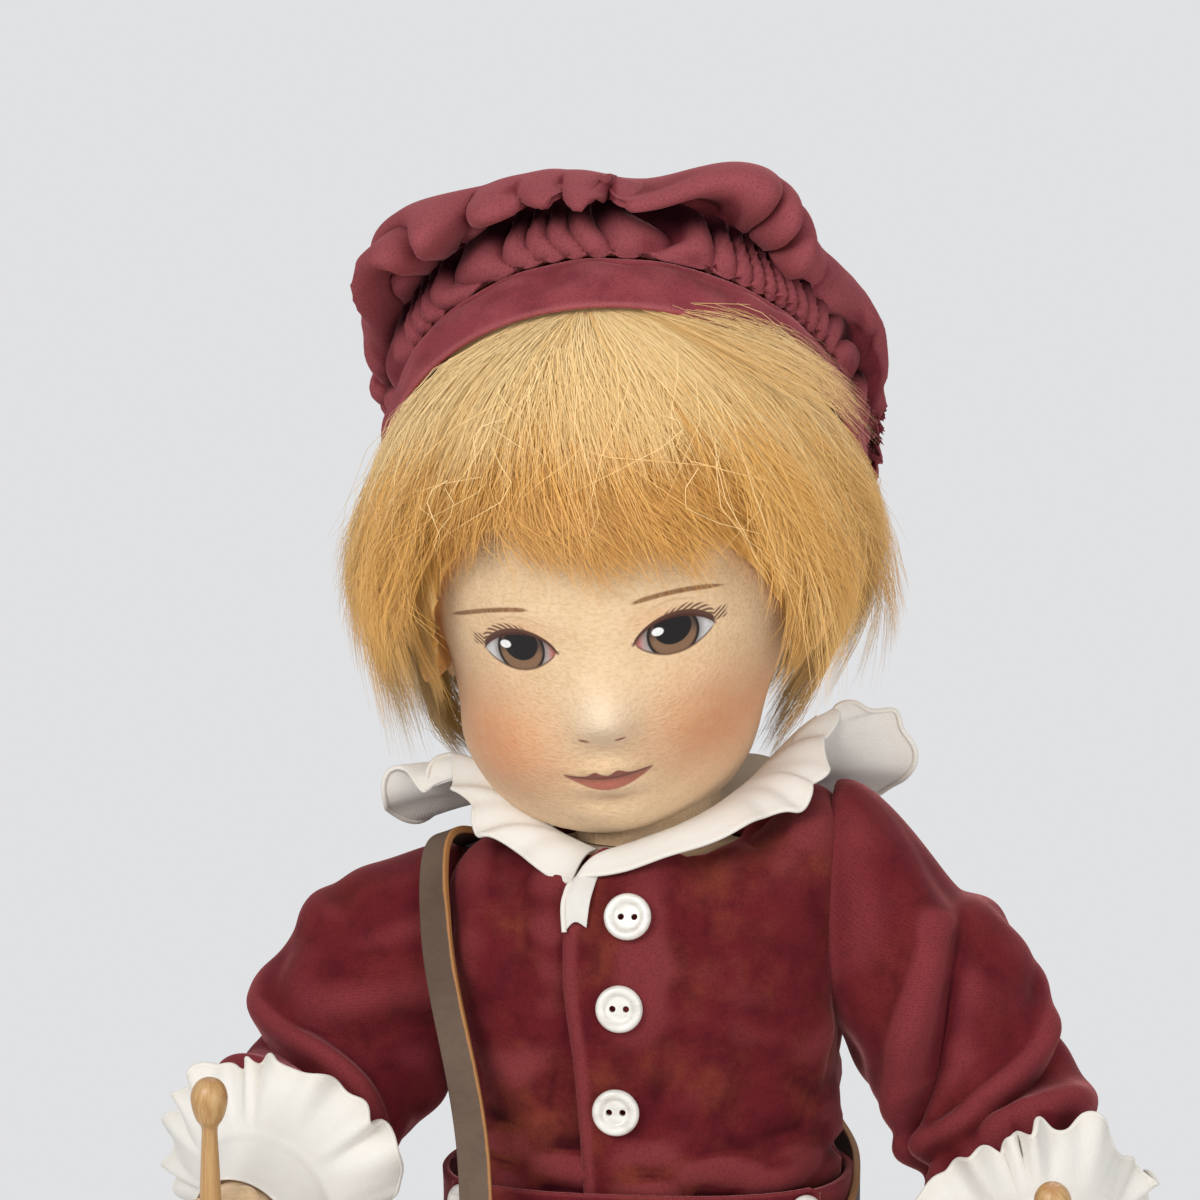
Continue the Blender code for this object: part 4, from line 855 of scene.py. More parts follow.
@dataclass(frozen=True)
class Leather:
    """Worn leather with grain. Across its UV map the cut edges show the raw hide."""

    name: str
    colour: Colour
    worn: Colour
    raw: Optional[Colour] = None
    roughness: float = 0.55

    def material(self) -> bpy.types.Material:
        """The finished material."""
        paint = Paint(self.name)
        clouds = paint.noise(45.0, 4.0, 0.62)
        grain = paint.noise(1300.0, 3.0, 0.6)
        scuffs = paint.noise(190.0, 4.0, 0.7)
        colour = paint.mix(clouds.rise(0.35, 0.70), self.colour, self.worn)
        colour = paint.mix(scuffs.rise(0.60, 0.82) * 0.45, colour, self.worn)
        if self.raw:
            u, _ = paint.uv()
            ragged = u + (scuffs - 0.5) * 0.08
            colour = paint.mix(ragged.rise(0.90, 0.95) * 0.9, colour, self.raw)
        paint.set(Base_Color=colour, Roughness=self.roughness + grain * 0.2, Specular_IOR_Level=0.35)
        return paint.bump(grain + scuffs * 0.6, 0.00016).material


@dataclass(frozen=True)
class Beech:
    """Waxed beech with fine grain along the piece's UV map, darker where it is handled."""

    name: str = "waxed_beech"
    colour: Colour = (0.56, 0.335, 0.135)
    dark: Colour = (0.40, 0.195, 0.06)
    tip: float = 0.90

    def material(self) -> bpy.types.Material:
        """The finished material."""
        paint = Paint(self.name)
        u, v = paint.uv()
        where = paint.node("ShaderNodeCombineXYZ", sockets={0: u * 9.0, 1: v * 2.0})
        grain = paint.noise(3.0, 5.0, 0.65, where)
        flecks = paint.noise(2400.0, 2.0, 0.5, stretch=(1.0, 1.0, 0.15))
        colour = paint.mix(grain.rise(0.35, 0.72), self.colour, self.dark)
        colour = paint.mix(flecks.rise(0.62, 0.75) * 0.35, colour, self.dark)
        colour = paint.mix(v.rise(self.tip, self.tip + 0.07) * 0.42, colour, (0.42, 0.17, 0.05))
        paint.set(Base_Color=colour, Roughness=0.36 + grain * 0.2, Coat_Weight=0.25, Coat_Roughness=0.25)
        return paint.bump(grain + flecks * 0.4, 0.00008).material


@dataclass(frozen=True)
class Plain:
    """A plain finish with clouds and a fine relief, for paint, parchment, cord and metal."""

    name: str
    colour: Colour
    worn: Colour
    roughness: float
    metallic: float = 0.0
    scale: float = 120.0
    relief: float = 0.00006

    def material(self) -> bpy.types.Material:
        """The finished material."""
        paint = Paint(self.name)
        clouds = paint.noise(self.scale, 4.0, 0.62)
        fine = paint.noise(self.scale * 14.0, 2.0, 0.5)
        paint.set(Base_Color=paint.mix(clouds.rise(0.42, 0.72), self.colour, self.worn))
        paint.set(Roughness=self.roughness + fine * 0.14, Metallic=self.metallic)
        return paint.bump(fine + clouds * 0.5, self.relief).material


@dataclass(frozen=True)
class Floor:
    """A pale matt floor that fades into the backdrop with the distance from its middle."""

    name: str = "pale_floor"
    colour: Colour = (0.80, 0.80, 0.805)
    worn: Colour = (0.77, 0.77, 0.775)
    full: float = 0.42
    end: float = 0.80

    def material(self) -> bpy.types.Material:
        """The finished material."""
        paint = Paint(self.name)
        clouds = paint.noise(3.0, 3.0)
        away = paint.node("ShaderNodeVectorMath", {"operation": "LENGTH"}, {0: paint.places()}, "Value")
        paint.set(Base_Color=paint.mix(clouds, self.colour, self.worn), Roughness=0.85)
        paint.set(Alpha=away.rise(self.end, self.full))
        return paint.material


SKIN_FELT = Felt("skin_felt", (0.83, 0.605, 0.375), (0.70, 0.475, 0.265))
BODY_FELT = Felt("body_felt", (0.70, 0.56, 0.40), (0.63, 0.49, 0.33))


class Cupboard:
    """Every finish's material, made once."""

    def __init__(self) -> None:
        """Makes the materials."""
        finishes = {
            "skin": SKIN_FELT,
            "face": PaintedFace(Felt("face_felt", SKIN_FELT.colour, SKIN_FELT.shade)),
            "body": BODY_FELT,
            # Each velvet's fourth colour is a painted highlight for ridges, and its dark third colour also
            # paints shade in folds.
            "jacket": Velvet("jacket_velvet", (0.132, 0.0140, 0.018), (0.200, 0.040, 0.024),
                             (0.030, 0.003, 0.006), (0.235, 0.042, 0.046)),
            "sleeve": Velvet("sleeve_velvet", (0.140, 0.015, 0.020), (0.165, 0.022, 0.022),
                             (0.028, 0.003, 0.006), (0.250, 0.044, 0.050), (700.0, 900.0)),
            "cap": Velvet("cap_velvet", (0.285, 0.054, 0.066), (0.330, 0.072, 0.080),
                          (0.060, 0.008, 0.013), (0.430, 0.120, 0.130)),
            # The crown's velvet also carries a painted shadow band under its roll.
            "crown": Velvet("crown_velvet", (0.200, 0.032, 0.040), (0.235, 0.042, 0.049),
                            (0.026, 0.003, 0.006), (0.370, 0.095, 0.105), pocket=0.30, sheen=0.30),
            "cotton": Cotton(),
            "mohair": Mohair(),
            "shell": Shell(),
            "strap": Leather("strap_hide", (0.082, 0.046, 0.028), (0.125, 0.080, 0.052), (0.42, 0.19, 0.06)),
            "shoe": Leather("shoe_hide", (0.075, 0.038, 0.024), (0.13, 0.07, 0.042), None, 0.42),
            "beech": Beech(),
            "hoop": Beech("hoop_beech", (0.50, 0.28, 0.11), (0.34, 0.16, 0.055), 2.0),
            "drum": Plain("drum_paint", (0.150, 0.024, 0.028), (0.20, 0.05, 0.04), 0.38),
            "parchment": Plain("drum_parchment", (0.74, 0.66, 0.51), (0.62, 0.52, 0.37), 0.60, 0.0, 60.0),
            "cord": Plain("lacing_cord", (0.70, 0.63, 0.50), (0.52, 0.44, 0.32), 0.85, 0.0, 500.0, 0.00012),
            "brass": Plain("ring_brass", (0.60, 0.42, 0.17), (0.36, 0.24, 0.10), 0.30, 1.0),
            "steel": Plain("pin_steel", (0.50, 0.50, 0.51), (0.38, 0.37, 0.36), 0.30, 1.0),
            "board": Plain("joint_board", (0.34, 0.22, 0.12), (0.26, 0.16, 0.085), 0.80),
            "floor": Floor(),
        }
        self.materials = {key: finish.material() for key, finish in finishes.items()}

    def dress(self, piece: Piece, key: str) -> None:
        """Puts a finish on a piece, in place of what it has."""
        piece.data.materials.clear()
        piece.data.materials.append(self.materials[key])


@dataclass
class Maker:
    """Finishes pieces: material, body, slot and the nodes that they stand for."""

    cupboard: Cupboard = field(default_factory=Cupboard)

    @staticmethod
    def mark_hollows(piece: Piece, rounds: int = 14, scale: float = 0.0007) -> None:
        """Writes how hollow the surface is at each point: 0.5 where it is flat, 1 in a deep fold.

        Args:
            piece: The piece.
            rounds: How often the surface is smoothed to find its folds.
            scale: Depth of a full fold, in metres.
        """
        mesh = piece.data
        edges = np.empty(2 * len(mesh.edges), dtype=np.int64)
        mesh.edges.foreach_get("vertices", edges)
        first, second = edges[0::2], edges[1::2]
        places = places_of(piece)
        count = len(places)
        links = np.bincount(edges, minlength=count)[:, None]
        flat = places
        for _ in range(rounds):
            near = [np.bincount(first, flat[second, axis], count)
                    + np.bincount(second, flat[first, axis], count) for axis in range(3)]
            flat = 0.4 * flat + 0.6 * np.stack(near, axis=-1) / np.maximum(links, 1)
        normals = np.empty(3 * count, dtype=np.float32)
        mesh.vertex_normals.foreach_get("vector", normals)
        depth = np.sum((flat - places) * normals.reshape(-1, 3), axis=1)
        layer = mesh.attributes.get(HOLLOW) or mesh.attributes.new(HOLLOW, "FLOAT", "POINT")
        layer.data.foreach_set("value", np.clip(0.5 + 0.5 * depth / scale, 0.0, 1.0).astype(np.float32))

    def hand_over(self, piece: Piece, finish: str, slot: str, body: Optional[str], *nodes: str) -> Piece:
        """Finishes a piece.

        Args:
            piece: The piece, in place.
            finish: Key of its finish.
            slot: The record's material slot.
            body: The body that it rides on, or None where it is blended later.
            *nodes: The nodes that it stands for.

        Returns:
            The piece.
        """
        select_only(piece)
        bpy.ops.object.shade_smooth()
        self.cupboard.dress(piece, finish)
        # Velvet pieces get their hollowness, from which the velvet paints shade in folds and highlights on
        # ridges.
        if slot == "velvet":
            self.mark_hollows(piece)
        if nodes:
            piece.name = piece.data.name = f"{nodes[0]}_visual"
            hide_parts(*nodes)
        if body:
            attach(piece, body)
        areas = np.empty(len(piece.data.polygons))
        piece.data.polygons.foreach_get("area", areas)
        LOG.info("%s: %d faces, %.1f cm2", piece.name, len(areas), areas.sum() * 1e4)
        return piece


# The stuffed doll under the clothes


@dataclass
class Torso:
    """The stuffed body, whose surface carries the clothes."""

    hip: float = 0.190
    waist: float = 0.228
    line: float = 0.2895
    neck: float = 0.300
    crotch_drop: float = 0.027
    hip_wide: float = 0.0365
    hip_deep: float = 0.0295
    waist_wide: float = 0.0350
    waist_deep: float = 0.0285
    chest_wide: float = 0.0385
    chest_deep: float = 0.0295
    neck_radius: float = 0.0150

    def __post_init__(self) -> None:
        """Lists the stations: height, half width, half depth and squareness."""
        crotch = self.hip - self.crotch_drop
        chest = self.line - self.waist
        rise = self.neck - self.line
        self.rows = np.array([
            (crotch, 0.30 * self.hip_wide, 0.35 * self.hip_deep, 2.0),
            (crotch + 0.22 * self.crotch_drop, 0.66 * self.hip_wide, 0.68 * self.hip_deep, 2.1),
            (self.hip - 0.30 * self.crotch_drop, 0.93 * self.hip_wide, 0.93 * self.hip_deep, 2.3),
            (self.hip + 0.32 * (self.waist - self.hip), self.hip_wide, self.hip_deep, 2.4),
            (self.waist, self.waist_wide, self.waist_deep, 2.4),
            (self.line - 0.53 * chest, 0.97 * self.chest_wide, self.chest_deep, 2.7),
            (self.line - 0.20 * chest, self.chest_wide, 0.98 * self.chest_deep, 3.2),
            (self.line + 0.03 * chest, 0.98 * self.chest_wide, 0.84 * self.chest_deep, 3.0),
            (self.neck - 0.26 * rise, 0.74 * self.chest_wide, 0.63 * self.chest_deep, 2.4),
            (self.neck, 1.20 * self.neck_radius, 1.07 * self.neck_radius, 2.0),
        ])

    def skin(self, u: Array, v: Array) -> Array:
        """Points on the body: u goes round from the front to its left, v from crotch to neck."""
        height, wide, deep, square = np.moveaxis(through(self.rows, v), -1, 0)
        turn = TURN * np.asarray(u, float)
        front, aside = squared_ring(turn, square)
        return point(wide * aside, -deep * front, height) + DOLL

    def share(self, height: float) -> float:
        """The share v at which the body has a height."""
        low, high = 0.0, 1.0
        for _ in range(30):
            middle = (low + high) / 2.0
            if through(self.rows[:, 0], np.array([middle]))[0] < height:
                low = middle
            else:
                high = middle
        return low

    def outside(self, turn: Array, share: Array, out: Array) -> Array:
        """Points outside the body. Turn is in degrees from the front."""
        return lifted(self.skin, np.asarray(turn, float) / 360.0, np.asarray(share, float), out)

    def spot(self, turn: float, height: float, out: float) -> Tuple[Array, Array]:
        """One point outside the body, and the direction out of it."""
        share = np.array([self.share(height)])
        place = self.outside(np.array([turn]), share, np.array([out]))[0]
        further = self.outside(np.array([turn]), share, np.array([out + MM]))[0]
        return place, unit(further - place)


@dataclass
class Head:
    """The stuffed head with its moulded face, ears and neck, in a tilted frame."""

    wide: float = 0.0405
    deep: float = 0.0440
    tall: float = 0.0500
    rise: float = 0.0504
    forward: float = 0.0050
    aside: float = -0.0045
    nod: float = 15.0
    lean: float = 5.0
    cheek_levels: Tuple[float, ...] = (-1.0, -0.74, -0.56, -0.36, -0.20, 0.0, 0.25)
    cheek_widths: Tuple[float, ...] = (0.96, 0.945, 0.895, 0.850, 0.865, 0.92, 1.0)
    underside: float = 0.0445
    chin_aside: float = 0.0048
    ear_tall: float = 0.0095
    ear_thick: float = 0.0026
    hair_top: float = 0.0115
    hair_aside: float = 0.0125

    def __post_init__(self) -> None:
        """Works out the head's frame."""
        turn = Euler((math.radians(self.nod), -math.radians(self.lean), 0.0))
        self.frame = np.array(turn.to_matrix())
        self.centre = joint_place("head_turn") + (self.aside, -self.forward, self.rise)

    def world(self, places: Array) -> Array:
        """Points of the head's frame, in the doll's."""
        return places @ self.frame.T + self.centre

    def relief(self, places: Array) -> Array:
        """How far the face stands out, in metres, from X and Z in the head's frame."""
        x = places[:, 0] / MM
        z = places[:, 2] / MM
        mid = -0.4 - 1.3 * ramp(-2.0, 24.0, -z)
        x = x - mid
        aside = np.abs(x)
        bulb = x - 0.9
        nose = 4.6 * hill(bulb, 5.6) * np.where(z > -9.6, hill(z + 9.6, 6.5), hill(z + 9.6, 5.2))
        wings = 0.6 * hill(aside - 4.2, 2.6) * hill(z + 12.0, 2.8)
        lips = 1.5 * hill(x, 6.5) * hill(z + 22.3, 2.3) + 1.8 * hill(x, 5.2) * hill(z + 26.6, 2.2)
        parting = -0.9 * hill(x, 7.5) * hill(z + 24.3, 0.9)
        hollows = -0.5 * hill(x, 1.5) * hill(z + 18.3, 2.3) - 1.1 * hill(x, 7.0) * hill(z + 30.4, 2.3)
        chin = 1.9 * hill(x, 9.5) * hill(z + 35.5, 5.5)
        sockets = -1.9 * hill(aside - 14.5, 7.5) * hill(z - 4.6, 5.2)
        balls = 0.8 * hill(aside - 15.2, 5.0) * hill(z - 4.4, 3.4)
        cheeks = 2.2 * hill(aside - 20.0, 10.0) * hill(z + 17.0, 10.0)
        return (nose + wings + lips + parting + hollows + chin + sockets + balls + cheeks) * MM

    def skin(self, ways: Array, grow: Union[float, Array] = 0.0, face: bool = True) -> Array:
        """Points on the head along directions from its centre, in its frame.

        Args:
            ways: The directions.
            grow: How far outside, in metres.
            face: Whether the face's relief is on it.

        Returns:
            The points.
        """
        sizes = np.array([self.wide, self.deep, self.tall])
        places = ways / np.linalg.norm(ways / sizes, axis=-1, keepdims=True)
        low = ramp(0.05, 1.0, -places[:, 2] / self.tall)
        width = np.interp(places[:, 2] / self.tall, self.cheek_levels, self.cheek_widths)
        covered = ramp(0.0, 0.5, places[:, 1] / self.deep)
        places[:, 0] *= width + (1.0 - width) * covered * (1.0 - low)
        places[:, 1] *= np.where(places[:, 1] > 0.0, 1.0 - 0.25 * low, 1.0)
        places[:, 0] -= self.chin_aside * ramp(0.05, 0.55, -places[:, 2] / self.tall)
        if face:
            front = ramp(0.0, 0.5, -places[:, 1] / self.deep)
            places[:, 1] -= self.relief(places) * front
        recess = 0.0045 * ramp(-0.68, -0.43, places[:, 1] / self.deep)
        floor = recess - self.underside
        soft = 0.0018
        below = np.minimum(places[:, 2] - floor, soft)
        places[:, 2] = np.where(below < soft, floor + soft * np.exp((below - soft) / soft), places[:, 2])
        return places + unit(places) * np.asarray(grow, float).reshape(-1, 1)

    def hair(self, ways: Array) -> Array:
        """Thickness of the hair along directions, fuller at the sides."""
        return self.hair_top + (self.hair_aside - self.hair_top) * unit(ways)[:, 0] ** 2

    def build(self, maker: Maker) -> None:
        """Head, ears and neck."""
        def ball(u: Array, v: Array) -> Array:
            azimuth = 360.0 * (u - 0.5) + 0.70 * np.degrees(np.sin(TURN * u))
            polar = 180.0 * (1.0 - v) - 0.35 * np.degrees(np.sin(TURN * (v - 0.12))) * 0.5 * np.sin(np.pi * v)
            return self.skin(directions(polar, azimuth))

        head = edit(bent_grid("head", ball, 236, 180), outward=True)
        places = places_of(head)
        flat = np.where(places[:, 1:2] < 0.0, places[:, (0, 2)] / 0.1 + 0.5, 9.0)
        write_uv(head, flat)
        put_places(head, self.world(places))
        maker.hand_over(head, "face", "felt_skin", "head", "head")
        for side in Side:
            self.build_ear(maker, side)
        maker.cupboard.dress(frame["nodes"]["neck"], "skin")

    def build_ear(self, maker: Maker, side: Side) -> None:
        """A small felt ear with a pressed hollow."""
        middle = self.skin(unit(np.array([[side.value, 0.10, -0.16]])), self.ear_thick * 0.6, False)[0]
        turn = side.value * math.radians(-14.0)

        def shape(u: Array, v: Array) -> Array:
            ball = directions(180.0 * (1.0 - v), 360.0 * u)
            sizes = np.array([self.ear_thick, 0.62 * self.ear_tall, self.ear_tall])
            places = ball * sizes
            hollow = hill(places[:, 1] / sizes[1], 0.55) * hill(places[:, 2] / sizes[2] - 0.1, 0.6)
            outer = side.value * ball[:, 0] > 0
            places[:, 0] -= np.where(outer, side.value * 0.0016 * hollow, 0.0)
            x = places[:, 0] * math.cos(turn) - places[:, 1] * math.sin(turn)
            y = places[:, 0] * math.sin(turn) + places[:, 1] * math.cos(turn)
            return self.world(point(x, y, places[:, 2]) + middle)

        ear = edit(bent_grid(f"{side.word}_ear", shape, 32, 24), outward=True)
        maker.hand_over(ear, "skin", "felt_skin", "head", f"{side.word}_ear")


@dataclass(frozen=True)
class HairLayer:
    """One layer of hairs, by its place on the head. Angles are degrees.

    Azimuth is 0 at the face and 90 at the doll's left. Start and end are angles from the top; an end of up
    to 2 is a share of the rim's angle there. Depths are shares of the hair's thickness.
    """

    name: str
    seed: int
    hairs: int
    azimuths: Tuple[Tuple[float, float], ...]
    start: Tuple[float, float]
    end: Tuple[float, float]
    depth: Tuple[float, float, float]
    tone: float
    tufts: int = 150
    sweep: float = 0.0
    flick: float = 0.0
    stray: float = 0.04
    sway: float = 1.0


# Tones are partly painted light: the crown layer is pale where light falls, the fringe dark where it curls
# into shade.
WIG_LAYERS = (
    HairLayer("wig_crown_hair", 11, 4600, ((-108.0, 108.0),), (0.5, 9.0), (0.57, 0.73),
              (0.94, 1.03, 1.01), 0.88, 230, 5.0),
    HairLayer("wig_middle_hair", 18, 4200, ((-118.0, 118.0),), (10.0, 34.0), (0.72, 0.94),
              (0.80, 0.88, 0.76), 0.42, 220, 7.0),
    HairLayer("wig_fringe", 12, 5200, ((-56.0, 56.0),), (32.0, 52.0), (0.80, 1.03),
              (0.62, 0.74, 0.46), 0.24, 190, 13.0),
    HairLayer("wig_left_lock", 13, 4900, ((42.0, 128.0),), (26.0, 70.0), (0.70, 1.06),
              (0.72, 1.05, 1.00), 0.54, 90, 5.0, 0.34),
    HairLayer("wig_right_lock", 14, 4900, ((-128.0, -44.0),), (26.0, 70.0), (0.72, 1.08),
              (0.72, 1.05, 1.12), 0.52, 90, -3.0, 0.30),
    HairLayer("wig_temple_hair", 19, 1900, ((60.0, 86.0), (-86.0, -60.0)), (56.0, 80.0), (94.0, 108.0),
              (0.50, 0.44, 0.32), 0.44, 70, 0.0, 0.06),
    HairLayer("wig_nape_hair", 15, 4000, ((90.0, 180.0), (-180.0, -90.0)), (84.0, 110.0), (118.0, 138.0),
              (0.70, 0.66, 0.36), 0.46, 110),
    HairLayer("wig_side_tuft", 16, 500, ((62.0, 92.0),), (8.0, 20.0), (42.0, 60.0),
              (1.02, 1.30, 1.56), 0.78, 30, 9.0, 0.15, 0.10, 1.6),
    HairLayer("wig_stray_hair", 17, 110, ((-120.0, 120.0),), (10.0, 50.0), (0.55, 1.02),
              (0.98, 1.10, 1.12), 0.85, 110, 0.0, 0.15, 1.0, 2.0),
)


@dataclass
class Wig:
    """Mohair wig: a combed base and layers of single hairs that fan out from under the cap."""

    head: Head
    gap: float = GAP
    lining: float = 0.0019
    steps: int = 6
    radius: float = 0.00008
    bare: float = 10.0
    least_arc: float = 14.0
    stray_sway: float = 2.2
    cap_depth: float = 1.02
    free_depth: float = 1.2
    rim_turns: Tuple[float, ...] = (-180.0, -75.0, -60.0, -48.0, -38.0, -25.0, -10.0, 5.0, 13.0, 24.0,
                                    36.0, 46.0, 58.0, 75.0, 180.0)
    rim_angles: Tuple[float, ...] = (124.0, 106.0, 98.0, 80.0, 69.0, 63.5, 66.0, 68.5, 70.5, 66.5,
                                     70.5, 83.0, 98.0, 104.0, 124.0)

    def rim(self, azimuth: Array) -> Array:
        """Angle from the top at which the hair ends."""
        return np.interp(half_turn(azimuth), self.rim_turns, self.rim_angles)

    def build(self, maker: Maker, cap: "Cap") -> None:
        """The base, then the layers of hairs."""
        combed = Waves(5, 0.0042, 14, (1.0, 1.0, 0.25))
        streak = Waves(6, 0.0026, 16, (1.0, 1.0, 0.15))

        def form(u: Array, v: Array) -> Array:
            azimuth = 360.0 * u
            outside = v <= 0.5
            share = np.where(outside, 2.0 * v, 2.0 - 2.0 * v)
            side = ramp(60.0, 85.0, np.abs(half_turn(azimuth)))
            ways = directions((self.rim(azimuth) - self.bare * (1.0 - side)) * share, azimuth)
            thin = 1.0 - (0.80 - 0.35 * side) * ramp(0.40, 1.0, share)
            grow = self.gap + self.head.hair(ways) * 0.82 * thin
            places = self.head.skin(ways, np.where(outside, grow, self.lining), False)
            furrow = combed(places) * 0.0006 * np.where(outside, ramp(0.02, 0.2, share), 0.0)
            return places + unit(places) * furrow[:, None]

        base = edit(bent_grid("wig", form, 300, 100), outward=True)
        places = places_of(base)
        tone = np.clip(0.46 + 0.12 * streak(places), 0.05, 0.9)
        write_uv(base, np.stack([tone, np.full(len(tone), 0.3)], axis=-1))
        put_places(base, self.head.world(places))
        maker.hand_over(base, "mohair", "mohair", "head", "wig")
        for layer in WIG_LAYERS:
            self.build_hairs(maker, cap, layer)

    def build_hairs(self, maker: Maker, cap: "Cap", layer: HairLayer) -> None:
        """One layer of hairs, gathered in small tufts.

        Args:
            maker: Finishes the piece.
            cap: The cap that presses on the hairs.
            layer: What the layer is like.
        """
        rng = np.random.default_rng(layer.seed)
        count, tufts = layer.hairs, layer.tufts
        tuft = rng.integers(0, tufts, count)
        spans = np.array([high - low for low, high in layer.azimuths])
        which = rng.choice(len(spans), tufts, p=spans / spans.sum())
        lows = np.array([low for low, _ in layer.azimuths])
        middle = lows[which] + spans[which] * rng.random(tufts)
        stray = rng.random(count) < layer.stray
        loose = np.where(stray, self.stray_sway, 1.0) * layer.sway
        share = np.linspace(0.0, 1.0, self.steps)
        spread = 0.42 * spans.sum() / tufts + 1.6
        azimuth = middle[tuft] + rng.normal(0.0, spread, count)
        low, high = layer.start
        begin = rng.uniform(low, high, count)
        ragged = 0.045 if layer.end[1] < 2.0 else 3.0
        ends = rng.uniform(*layer.end, tufts)[tuft] + rng.normal(0.0, ragged, count)
        end = np.where(ends < 2.0, ends * self.rim(azimuth), ends)
        end = np.maximum(end, begin + self.least_arc)
        polar = begin[:, None] + (end - begin)[:, None] * share
        sweep = (layer.sweep + rng.normal(0.0, 4.0, tufts))[tuft]
        sweep = np.where((np.abs(azimuth) < 60.0) & (azimuth < -24.0), -0.5 * sweep, sweep)
        phase = rng.uniform(0.0, TURN, tufts)[tuft] + rng.normal(0.0, 0.6, count)
        wave = rng.uniform(0.6, 2.6, tufts)[tuft] * loose
        sway = wave[:, None] * np.sin(phase[:, None] + 4.6 * share) * share ** 0.6
        own = (rng.normal(0.0, 1.2, count) * loose)[:, None] * np.sin(math.pi * share * 0.85)
        curl = (rng.normal(0.0, 2.0, count) * loose)[:, None] * share ** 2
        girth = np.sin(np.radians(np.clip(polar, 25.0, 155.0)))
        spin = sweep[:, None] * share ** 1.4 + (sway + own + curl) / girth
        spin = spin - 0.30 * (azimuth - middle[tuft])[:, None] * share ** 1.6
        ways = directions(polar.ravel(), (azimuth[:, None] + spin).ravel())
        depth = through(layer.depth, share)[None, :] * rng.uniform(0.86, 1.04, count)[:, None]
        puff = rng.normal(0.0, 0.06, tufts)[tuft]
        puff = puff + np.where(stray, rng.uniform(0.0, 0.14, count), 0.0) * layer.sway
        flick = np.maximum(rng.normal(0.0, 1.0, tufts), -0.6)[tuft] * layer.flick
        depth = depth + puff[:, None] * np.sin(math.pi * share) + flick[:, None] * ramp(0.55, 1.0, share)
        thick = self.head.hair(ways)
        rough = self.head.skin(ways, self.gap + thick * depth.ravel(), False)
        pressed = ramp(cap.offset - 6.0 * MM, cap.offset - 1.0 * MM, rough @ cap.pole)
        if layer.depth[1] < self.free_depth:
            flat = depth.ravel()
            depth = (flat * (1.0 - pressed) + np.minimum(flat, self.cap_depth) * pressed).reshape(depth.shape)
        path = self.head.skin(ways, self.gap + thick * depth.ravel(), False).reshape(count, self.steps, 3)
        tone = np.clip(rng.normal(layer.tone, 0.085, tufts)[tuft] + rng.normal(0.0, 0.06, count), 0.02, 1.0)
        radius = rng.uniform(0.7, 1.3, count) * self.radius
        self.knit(maker, layer.name, self.head.world(path), tone, radius, rng)

    def knit(self, maker: Maker, name: str, path: Array, tone: Array, radius: Array,
             rng: np.random.Generator) -> None:
        """Makes three-sided hairs from their paths, in one mesh.

        Args:
            maker: Finishes the piece.
            name: The piece's name.
            path: Hairs by steps by X, Y, Z.
            tone: Each hair's tone.
            radius: Each hair's radius at its root.
            rng: Random draws.
        """
        count, steps, _ = path.shape
        way = unit(np.gradient(path, axis=1))
        out = unit(path - self.head.centre)
        side = unit(np.cross(way, out))
        other = np.cross(side, way)
        tilt = rng.normal(0.0, 0.45, count)[:, None, None]
        across = side * np.cos(tilt) + other * np.sin(tilt)
        inward = side * np.sin(tilt) - other * np.cos(tilt)
        share = np.linspace(0.0, 1.0, steps)
        size = (radius[:, None] * (1.0 - 0.85 * share ** 2.5))[..., None]
        rings = [path - across * size, path + across * size, path + inward * size * 0.9]
        verts = np.stack(rings, axis=2).reshape(-1, 3)
        hair = np.arange(count)[:, None, None] * steps * 3
        step = np.arange(steps - 1)[None, :, None] * 3
        corner = np.arange(3)[None, None, :]
        following = (corner + 1) % 3
        quads = np.stack([hair + step + corner, hair + step + following,
                          hair + step + 3 + following, hair + step + 3 + corner], axis=-1).reshape(-1, 4)
        first = np.arange(count)[:, None] * steps * 3
        caps = np.vstack([first + (2, 1, 0), first + (steps - 1) * 3 + (0, 1, 2)])
        mesh = bpy.data.meshes.new(name)
        mesh.from_pydata(verts.tolist(), [], quads.tolist() + caps.tolist())
        mesh.uv_layers.new(name="UVMap")
        piece = bpy.data.objects.new(name, mesh)
        bpy.context.scene.collection.objects.link(piece)
        paper = np.stack([np.repeat(tone, steps * 3), np.tile(np.repeat(share, 3), count)], axis=-1)
        write_uv(piece, paper)
        edit(piece, weld=False, outward=True)
        maker.hand_over(piece, "mohair", "mohair", "head")
        soft = np.stack([out - 0.35 * across, out + 0.35 * across, out + 0.2 * inward], axis=2).reshape(-1, 3)
        piece.data.normals_split_custom_set_from_vertices(unit(soft).tolist())


